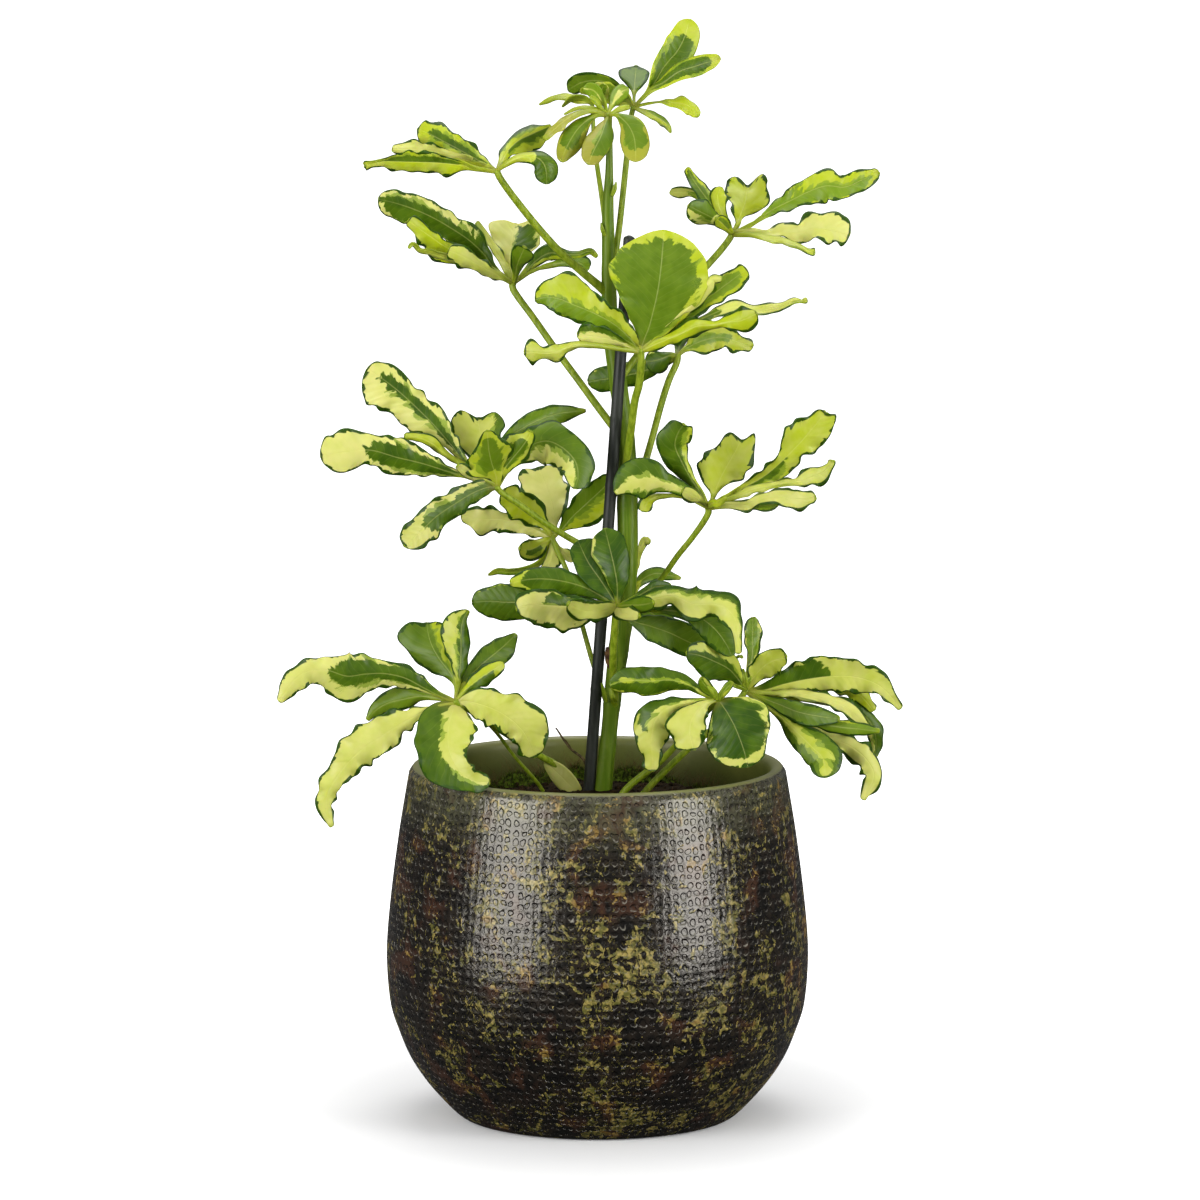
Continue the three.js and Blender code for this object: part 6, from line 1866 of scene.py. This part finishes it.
@dataclass
class Bracts:
    """Dried sheath and small stipules that stay on the trunk."""

    sheath: Rows = ((611, 668, -7.0, 1.9), (609.5, 660, -8.2, 2.9), (608.2, 653, -8.8, 2.3),
                    (607.2, 647, -9.0, 0.9))
    stipules: tuple[Rows, ...] = (
        ((612, 196, -3.2, 1.2), (614.5, 189, -4.2, 1.6), (616.2, 182, -4.6, 0.5)),
        ((605, 236, -3.4, 1.2), (602.6, 230, -4.4, 1.5), (601, 223, -4.8, 0.5)),
        ((745, 690, -23, 1.5), (741, 682, -25, 1.9), (738.5, 673, -24, 0.6)),
        ((746, 690, -23, 1.4), (745, 679, -26, 1.8), (742, 669, -25, 1.5)),
        ((746, 690, -23, 1.4), (736, 686, -25, 1.7), (728, 684, -24, 0.6)),
        ((745, 690, -23, 1.4), (748, 681, -25, 1.9), (751, 676, -24, 0.6)),
        ((718, 700, -58, 1.5), (714, 692, -60, 2.2), (708, 685, -60, 1.8)),
        ((719, 700, -58, 1.5), (723, 691, -60, 1.6), (730, 683, -59, 0.7)),
        ((607, 702, -9, 1.2), (604.5, 694, -10.5, 1.5), (601.5, 683, -11, 0.6)),
        ((616, 702, -9, 1.4), (613, 697, -12, 2.2), (609.5, 688, -11.5, 0.8)),
        ((614, 640, -34, 1.2), (616.5, 633, -35, 1.4), (618, 627, -35, 0.5)),
        ((736, 658, -30, 0.8), (740, 656, -31, 1.4), (743, 658, -31, 0.9)))
    sides: int = 16
    rings: int = 14
    front_flat: float = 0.3
    back_flat: float = 0.45

    def build(self, dry: Material, green: Material) -> None:
        """Builds both kinds and hands them over.

        Args:
            dry: Finish of the dried sheath.
            green: Finish of the stipules.
        """
        sheath = self.scale("sheath", self.sheath)
        hand_over(sheath, Slot.DRY, material=dry)
        stipules = join_all([self.scale("stipule", rows) for rows in self.stipules], "stipules")
        hand_over(stipules, Slot.STEM, material=green)

    def scale(self, name: str, rows: Rows) -> Piece:
        """Makes one scale as a flattened tube that tapers to a point.

        Args:
            name: Name of the piece.
            rows: Places, depths and radii, from the foot to the point.

        Returns:
            The scale.
        """
        spots = Curve(rows).sample(np.linspace(0, 1, self.rings))
        turn = np.linspace(0, math.tau, self.sides + 1)
        flat = np.where(np.sin(turn) > 0, self.back_flat, self.front_flat)
        shape = np.sqrt(np.cos(turn) ** 2 + (flat * np.sin(turn)) ** 2)
        return tube(name, VIEW.place(*spots[:, :3].T), spots[:, 3:4] * shape, self.sides)


@dataclass
class Cane:
    """Straight support cane with faint rings along its coating."""

    foot: tuple[float, float, float] = (586.5, 840, 1)
    soil: tuple[float, float, float] = (589, 790, 0)
    tip: tuple[float, float, float] = (629.5, 235.5, -15)
    radius: float = 3.9
    sides: int = 32
    step: float = 1.2
    ring_every: float = 46.0
    ring_share: float = 0.05
    ring_width: float = 1.6
    rounding: float = 2.4

    def build(self, coating: Material) -> None:
        """Builds the cane and hands it over.

        Args:
            coating: Finish of the cane.
        """
        ends = [VIEW.place_one(*spot) for spot in (self.foot, self.soil, self.tip)]
        foot, soil, tip = (np.array(end) for end in ends)
        length = (ends[2] - ends[1]).length
        upper = np.linspace(0, 1, round(length / self.step))[:, None]
        centres = np.concatenate([[foot], soil * (1 - upper) + tip * upper])
        reach = np.concatenate([[0.0], upper[:, 0] * length])
        phase = np.mod(reach, self.ring_every) - self.ring_every / 2
        rings = self.ring_share * np.exp(-(phase / self.ring_width) ** 2)
        top = np.clip((reach[-1] - reach) / self.rounding, 0, 1)
        radii = self.radius * (1 + rings) * np.sqrt(1 - (1 - top) ** 2 * 0.9)
        piece = tube("cane", centres, radii, self.sides)
        hand_over(piece, Slot.CANE, "stake", material=coating)


@dataclass
class Pot:
    """Round bellied pot with rows of hammered dimples, an olive lip and inside wall."""

    foot: Rows = ((0, 0), (60, 0))
    outer: Rows = ((88, 0), (93, 1.5), (101, 8.5), (115.4, 24.9), (126.1, 41.3), (133.1, 57.7),
                   (138.9, 76), (141.4, 108), (139.5, 139.5), (133.4, 188.5), (127.2, 226.5),
                   (126.1, 232.5))
    lip: Rows = ((126.1, 232.5), (123.2, 236.5), (119.6, 237.4), (116.4, 235.2), (115.4, 231))
    inner: Rows = ((115.4, 231), (119.6, 188.5), (128, 139.5), (130.2, 108), (127, 74.1),
                   (114.6, 41.3), (103, 24.9), (90, 12))
    floor: Rows = ((45, 12), (0, 12))
    cells: int = 148
    cell_height: float = 5.9
    facets: int = 4
    levels: int = 3
    lip_step: float = 1.4
    inner_step: float = 13.0
    depth: float = 0.28
    chance: tuple[float, float] = (0.6, 1.25)
    seed: int = 7

    def build(self, glaze: GlazeFinish) -> None:
        """Builds the pot by spinning its profile, hammers the dimples and hands it over.

        Args:
            glaze: Finish of the pot.
        """
        level = self.cell_height / self.levels
        outer, outer_rows = self.fine(self.outer, level)
        lip, _ = self.fine(self.lip, self.lip_step)
        inner, _ = self.fine(self.inner, self.inner_step)
        foot = np.array(self.foot, float)
        profile = np.concatenate([foot, outer, lip[1:], inner[1:], np.array(self.floor, float)])
        lengths = np.concatenate([foot[:, 0] - self.outer[0][0], np.arange(len(outer)) * level])
        rest = np.linalg.norm(np.diff(profile[len(lengths) - 1:], axis=0), axis=1).cumsum()
        row = np.concatenate([lengths, lengths[-1] + rest]) / self.cell_height
        around = self.cells * self.facets
        turn = np.linspace(0, math.tau, around + 1) - math.pi * 1.5
        hammered = self.hammer(row, outer_rows, np.arange(around + 1) / self.facets)
        radius = np.maximum(profile[:, 0] - hammered, 0.0)
        height = np.repeat(profile[:, 1][None], around + 1, axis=0)
        net = np.stack([radius * np.cos(turn)[:, None], radius * np.sin(turn)[:, None], height],
                       axis=-1)
        piece = shaped_grid("dimpled_pot", net)
        self.map_cells(piece, around, row)
        hand_over(piece, Slot.GLAZE, "pot", material=glaze.make(outer_rows))

    def fine(self, rows: Rows, step: float) -> tuple[np.ndarray, float]:
        """Smooths a profile and cuts it into even steps.

        Args:
            rows: Radius and height of each point.
            step: Length of each step in mm.

        Returns:
            The fine profile, and its length in dimple rows.
        """
        curve = Curve(rows)
        count = round(curve.total / step)
        return curve.sample(np.linspace(0, 1, count + 1)), curve.total / self.cell_height

    def hammer(self, row: np.ndarray, outer_rows: float, cell: np.ndarray) -> np.ndarray:
        """Finds how deep the surface is pressed in.

        Args:
            row: Dimple row of each profile point.
            outer_rows: Count of dimple rows up to the lip.
            cell: Dimple of each step round the pot.

        Returns:
            Depths in mm, steps round by profile points.
        """
        skirt = smooth_step(row, 0.4, 2.2) * (1 - smooth_step(row, outer_rows - 0.6, outer_rows))
        bowl = ((0.5 + 0.5 * np.cos(math.tau * cell))[:, None]
                * (0.5 + 0.5 * np.cos(math.tau * row)))
        draw = np.random.default_rng(self.seed).uniform(*self.chance, (self.cells, len(row)))
        column = np.mod(np.rint(cell).astype(int), self.cells)[:, None]
        lumps = draw[column, np.rint(np.maximum(row, 0)).astype(int)]
        return self.depth * bowl * lumps * skirt

    def map_cells(self, piece: Piece, around: int, row: np.ndarray) -> None:
        """Scales the UV map so that one unit is one dimple, both ways.

        Args:
            piece: The pot.
            around: Count of steps round it.
            row: Dimple row of each profile point.
        """
        spots = get_uv(piece)
        level = np.rint(spots[:, 1] * (len(row) - 1)).astype(int)
        spots[:, 0] *= around / self.facets
        spots[:, 1] = row[level]
        set_uv(piece, spots)


@dataclass
class Soil:
    """Mounded soil with crumbs on it."""

    rows: Rows = ((0, 221), (70, 216), (97, 205), (117, 197))
    rings: int = 56
    sides: int = 180
    gap: float = 0.4
    sunk: float = 12.0
    rough: float = 1.6
    lump_scale: float = 0.06
    crumbs: int = 900
    crumb_rough: float = 0.3
    crumb_lift: float = 0.25
    crumb_reach: float = 108.0
    small: tuple[float, float] = (0.5, 1.2)
    large: tuple[float, float] = (1.2, 2.4)
    small_share: float = 0.8
    seed: int = 11

    def height(self, x: float, y: float) -> float:
        """Finds the height of the rough soil.

        Args:
            x: Place to the right of the pot's axis in mm.
            y: Place behind the pot's axis in mm.

        Returns:
            The height in mm.
        """
        radius = math.hypot(x, y)
        smooth = float(np.interp(radius, *zip(*self.rows)))
        spot = Vector((x, y, 3.0)) * self.lump_scale
        return smooth + self.rough * noise.fractal(spot, 0.8, 2.2, 5)

    def build(self, earth: Material) -> None:
        """Builds the soil with its crumbs and hands it over.

        Args:
            earth: Finish of the soil.
        """
        radius = np.linspace(0, self.rows[-1][0] - self.gap, self.rings + 1)
        turn = np.linspace(0, math.tau, self.sides + 1)
        x, y = radius * np.cos(turn)[:, None], radius * np.sin(turn)[:, None]
        z = np.vectorize(self.height)(x, y)
        top = np.stack([x, y, z], axis=-1)
        skirt = top[:, -1:].copy()
        skirt[..., 2] -= self.sunk
        net = np.concatenate([top, skirt, skirt * np.array([0.0, 0.0, 1.0])], axis=1)
        ground = shaped_grid("soil_ground", net)
        whole = join_all([ground, *self.scatter()], "soil_bed")
        hand_over(whole, Slot.SOIL, "soil", material=earth)

    def scatter(self) -> list[Piece]:
        """Scatters crumbs of a few faces each, by a seeded draw.

        Returns:
            The crumbs.
        """
        draw = random.Random(self.seed)
        bpy.ops.mesh.primitive_ico_sphere_add(subdivisions=2, radius=1)
        model = bpy.context.object
        ball = get_points(model) * MM
        crumbs = [model]
        for _ in range(self.crumbs - 1):
            crumbs.append(bpy.data.objects.new("crumb", model.data.copy()))
            bpy.context.collection.objects.link(crumbs[-1])
        for index, piece in enumerate(crumbs):
            spread = self.crumb_reach * math.sqrt(draw.random())
            turn = draw.uniform(0, math.tau)
            x, y = spread * math.cos(turn), spread * math.sin(turn)
            is_small = draw.random() < self.small_share
            size = draw.uniform(*(self.small if is_small else self.large))
            own = Vector((index, 0, 0))
            lump = 1 + self.crumb_rough * np.array([noise.noise(Vector(spot) * 1.4 + own)
                                                    for spot in ball])
            stretch = [draw.uniform(low, high)
                       for low, high in ((0.8, 1.4), (0.8, 1.4), (0.5, 0.9))]
            centre = np.array([x, y, self.height(x, y) + size * self.crumb_lift])
            set_points(piece, centre + ball * lump[:, None] * stretch * size)
        return crumbs


@dataclass(frozen=True)
class Cushion:
    """One cushion of moss: its place from the pot's axis, its reach and its height, in mm."""

    x: float
    y: float
    reach: float
    rise: float
    blades: int


@dataclass
class Moss:
    """Cushions of moss on the soil: lumpy mounds under many small blades and a few long hairs."""

    cushions: tuple[Cushion, ...] = (
        Cushion(-58, 48, 20, 8, 700), Cushion(-82, 30, 13, 6, 300), Cushion(-34, 62, 13, 6, 300),
        Cushion(-14, 64, 9, 9, 220), Cushion(24, 52, 15, 9, 480), Cushion(44, 60, 12, 5, 260),
        Cushion(74, 40, 10, 4, 160), Cushion(-52, -40, 16, 5, 300), Cushion(40, -52, 18, 5, 320))
    wide: float = 1.3
    deep: float = 0.8
    rings: int = 13
    sides: int = 32
    sunk: float = 0.8
    bump: float = 1.4
    foot_sunk: float = 0.6
    flat: float = 0.6
    blade_tall: tuple[float, float] = (1.8, 4.4)
    blade_half: tuple[float, float] = (0.25, 0.5)
    blade_lean: float = 0.7
    hairs: int = 90
    hair_tall: tuple[float, float] = (6.0, 17.0)
    hair_half: float = 0.14
    hair_lean: float = 1.3
    seed: int = 23

    def build(self, soil: Soil, finish: Material, dry: Material) -> None:
        """Builds all cushions as one piece, their dry hairs as another, and hands them over.

        Args:
            soil: The soil that they grow on.
            finish: Finish of the moss.
            dry: Finish of the dry hairs.
        """
        draw = random.Random(self.seed)
        pieces = []
        for cushion in self.cushions:
            pieces.append(self.mound(soil, cushion))
            pieces.append(self.blades("moss_blades", soil, cushion, False, draw))
        whole = join_all(pieces, "moss")
        hand_over(whole, Slot.MOSS, material=finish, outward=False)
        hairs = join_all([self.blades("dry_hairs", soil, cushion, True, draw)
                          for cushion in self.cushions], "dry_hairs")
        hand_over(hairs, Slot.DRY, material=dry, outward=False)

    def mound(self, soil: Soil, cushion: Cushion) -> Piece:
        """Makes one lumpy mound.

        Args:
            soil: The soil below.
            cushion: Place and size of the mound.

        Returns:
            The mound.
        """
        radius = np.linspace(0, 1, self.rings + 1)
        turn = np.linspace(0, math.tau, self.sides + 1)
        x = cushion.x + cushion.reach * self.wide * radius * np.cos(turn)[:, None]
        y = cushion.y + cushion.reach * self.deep * radius * np.sin(turn)[:, None]
        z = np.vectorize(soil.height)(x, y) + cushion.rise * (1 - radius**2) - self.sunk
        bumps = np.vectorize(lambda a, b: noise.fractal(Vector((a, b, 0)) * 0.3, 0.7, 2.1, 3))(x, y)
        z = z + self.bump * bumps * (1 - radius**4)
        return shaped_grid("moss_mound", np.stack([x, y, z], axis=-1))

    def blades(self, name: str, soil: Soil, cushion: Cushion, long: bool,
               draw: random.Random) -> Piece:
        """Makes many narrow pointed blades on a cushion as one mesh.

        Args:
            name: Name of the mesh.
            soil: The soil below.
            cushion: The cushion that they stand on.
            long: Whether they are the long dry hairs.
            draw: The seeded draw.

        Returns:
            The blades, each a narrow closed point.
        """
        points, faces = [], []
        tall, lean = ((self.hair_tall, self.hair_lean) if long
                      else (self.blade_tall, self.blade_lean))
        for _ in range(self.hairs if long else cushion.blades):
            spread, turn = math.sqrt(draw.random()), draw.uniform(0, math.tau)
            x = cushion.x + self.wide * cushion.reach * spread * math.cos(turn)
            y = cushion.y + self.deep * cushion.reach * spread * math.sin(turn)
            top = soil.height(x, y) + cushion.rise * (1 - spread**2)
            foot = Vector((x, y, top - self.foot_sunk))
            way = Vector((draw.uniform(-lean, lean), draw.uniform(-lean, lean), 1))
            way *= draw.uniform(*tall)
            face = draw.uniform(0, math.pi)
            half = self.hair_half if long else draw.uniform(*self.blade_half)
            aside = Vector((math.cos(face), math.sin(face), 0)) * half
            thick = Vector((-aside.y, aside.x, 0)) * self.flat
            start = len(points)
            points += [foot - aside, foot + aside, foot + thick, foot + way]
            faces += [(start, start + 1, start + 3), (start + 1, start + 2, start + 3),
                      (start + 2, start, start + 3), (start, start + 2, start + 1)]
        mesh = bpy.data.meshes.new(name)
        mesh.from_pydata([tuple(point * MM) for point in points], [], faces)
        piece = bpy.data.objects.new(name, mesh)
        bpy.context.collection.objects.link(piece)
        return piece


@dataclass
class Twig:
    """Thin dry twig that stands in the soil, with a short side shoot."""

    rows: Rows = ((592, 802, 14, 1.0), (585, 762, 22, 0.9), (570, 748, 30, 0.8),
                  (556, 728, 42, 0.6))
    shoot: Rows = ((572, 750, 29, 0.6), (566, 741, 26, 0.45), (561, 737, 23, 0.3))
    rings: int = 26
    sides: int = 10
    knot_share: float = 0.14
    knot_turns: float = 34.0

    def build(self, dry: Material) -> None:
        """Builds the twig and hands it over.

        Args:
            dry: Finish of the twig.
        """
        pieces = []
        for rows in (self.rows, self.shoot):
            share = np.linspace(0, 1, self.rings)
            spots = Curve(rows).sample(share)
            radii = spots[:, 3] * (1 + self.knot_share * np.cos(share * self.knot_turns) ** 6)
            pieces.append(tube("twig_part", VIEW.place(*spots[:, :3].T), radii, self.sides))
        hand_over(join_all(pieces, "dry_twig"), Slot.DRY, "twig", material=dry)


@dataclass(frozen=True)
class Softbox:
    """Rectangular light: its direction in degrees, distance and size in metres, and brightness.

    A light that isn't mirrored lights the plant but doesn't show in its gloss.
    """

    name: str
    azimuth: float
    height: float
    distance: float
    width: float
    tall: float
    glow: float
    mirrored: bool = True


@dataclass
class Studio:
    """White floor, soft lights and the camera."""

    floor_size: float = 90.0
    aim_height: float = 0.33
    lens: float = 225.0
    sensor: float = 36.0
    clip_end: float = 200.0
    overhead: float = 0.6
    horizon: float = 0.16
    below: float = 0.07
    lights: tuple[Softbox, ...] = (
        Softbox("left_box", -49, 3, 2.2, 1.4, 2.0, 6.8),
        Softbox("right_box", 54, 3, 2.2, 1.05, 2.0, 7.9),
        Softbox("top_box", 180, 68, 2.2, 1.5, 1.5, 3.0),
        Softbox("front_fill", 0, 24, 2.6, 2.0, 1.2, 1.6, False))

    def build(self) -> None:
        """Builds floor, lights, world and camera."""
        bpy.ops.mesh.primitive_plane_add(size=self.floor_size)
        floor = bpy.context.object
        floor.name = "floor"
        dress(floor, FloorFinish().make())
        aim = Vector((0, 0, self.aim_height))
        for box in self.lights:
            turn, rise = math.radians(box.azimuth), math.radians(box.height)
            way = Vector((math.sin(turn) * math.cos(rise), -math.cos(turn) * math.cos(rise),
                          math.sin(rise)))
            bpy.ops.object.light_add(type="AREA", location=aim + way * box.distance)
            light = bpy.context.object
            light.name = box.name
            light.rotation_euler = way.to_track_quat("Z", "Y").to_euler()
            light.data.shape = "RECTANGLE"
            light.data.size, light.data.size_y = box.width, box.tall
            light.data.energy = box.glow * math.pi * box.width * box.tall
            light.visible_glossy = box.mirrored
        self.room()
        bpy.context.scene.view_settings.view_transform = "Standard"
        self.camera()

    def room(self) -> None:
        """Makes the room: white behind the plant, softer light above, dim at the sides."""
        world = bpy.data.worlds.new("white_room")
        world.use_nodes = True
        s = Shader(world.node_tree)
        _, _, z = s.split(s.place("Generated"))
        light = s.blend(s.step(z, 0.15, 0.9), self.horizon, self.overhead)
        light = s.blend(s.step(z, -0.3, 0.0), self.below, light)
        seen = s.add("ShaderNodeLightPath").outputs["Is Camera Ray"]
        s.fill(world.node_tree.nodes["Background"],
               {"Color": (1, 1, 1, 1), "Strength": s.blend(seen, light, 1.0)})
        bpy.context.scene.world = world

    def camera(self) -> None:
        """Sets the camera at the front view grid's own place."""
        way = Vector((0, -math.cos(VIEW.tilt), math.sin(VIEW.tilt)))
        spot = Vector((VIEW.shift, 0, VIEW.height)) + way * VIEW.distance
        bpy.ops.object.camera_add(location=spot * MM, rotation=(math.pi / 2 - VIEW.tilt, 0, 0))
        camera = bpy.context.object
        camera.name = "front_camera"
        camera.data.lens = self.lens
        camera.data.sensor_width = self.sensor
        camera.data.clip_end = self.clip_end
        bpy.context.scene.camera = camera


def main() -> None:
    """Builds every piece in order."""
    logging.basicConfig(level=logging.INFO, format="%(name)s %(message)s")
    Studio().build()
    blade = BladeFinish().make()
    stalk = StemFinish("leaf_stalk", base=(108, 130, 16), streak=(146, 164, 42),
                       blotch=(124, 104, 42), blotch_share=0.3).make()
    foliage = Foliage()
    for name, leaf in LEAVES.items():
        foliage.build(name, leaf, PATTERNS[name], blade, stalk)
    bark = StemFinish("trunk_skin", base=(82, 111, 14), streak=(108, 131, 30),
                      blotch=(140, 142, 66), blotch_share=0.2).make()
    dry = EarthFinish("dry_bark", (112, 84, 52), (70, 48, 34), 320.0, bump=0.0004,
                      rough=0.7).make()
    Trunk().build(bark)
    Bracts().build(dry, stalk)
    Cane().build(CaneFinish().make())
    Pot().build(GlazeFinish())
    soil = Soil()
    soil.build(EarthFinish("potting_soil", (44, 32, 14), (26, 20, 8), 240.0, bump=0.0012).make())
    moss = EarthFinish("moss", (80, 100, 20), (40, 48, 10), 300.0, bump=0.0006).make()
    Moss().build(soil, moss, dry)
    Twig().build(EarthFinish("dry_twig", (96, 82, 54), (58, 50, 34), 500.0, bump=0.0003,
                             rough=0.75).make())


if __name__ == "__main__":
    main()
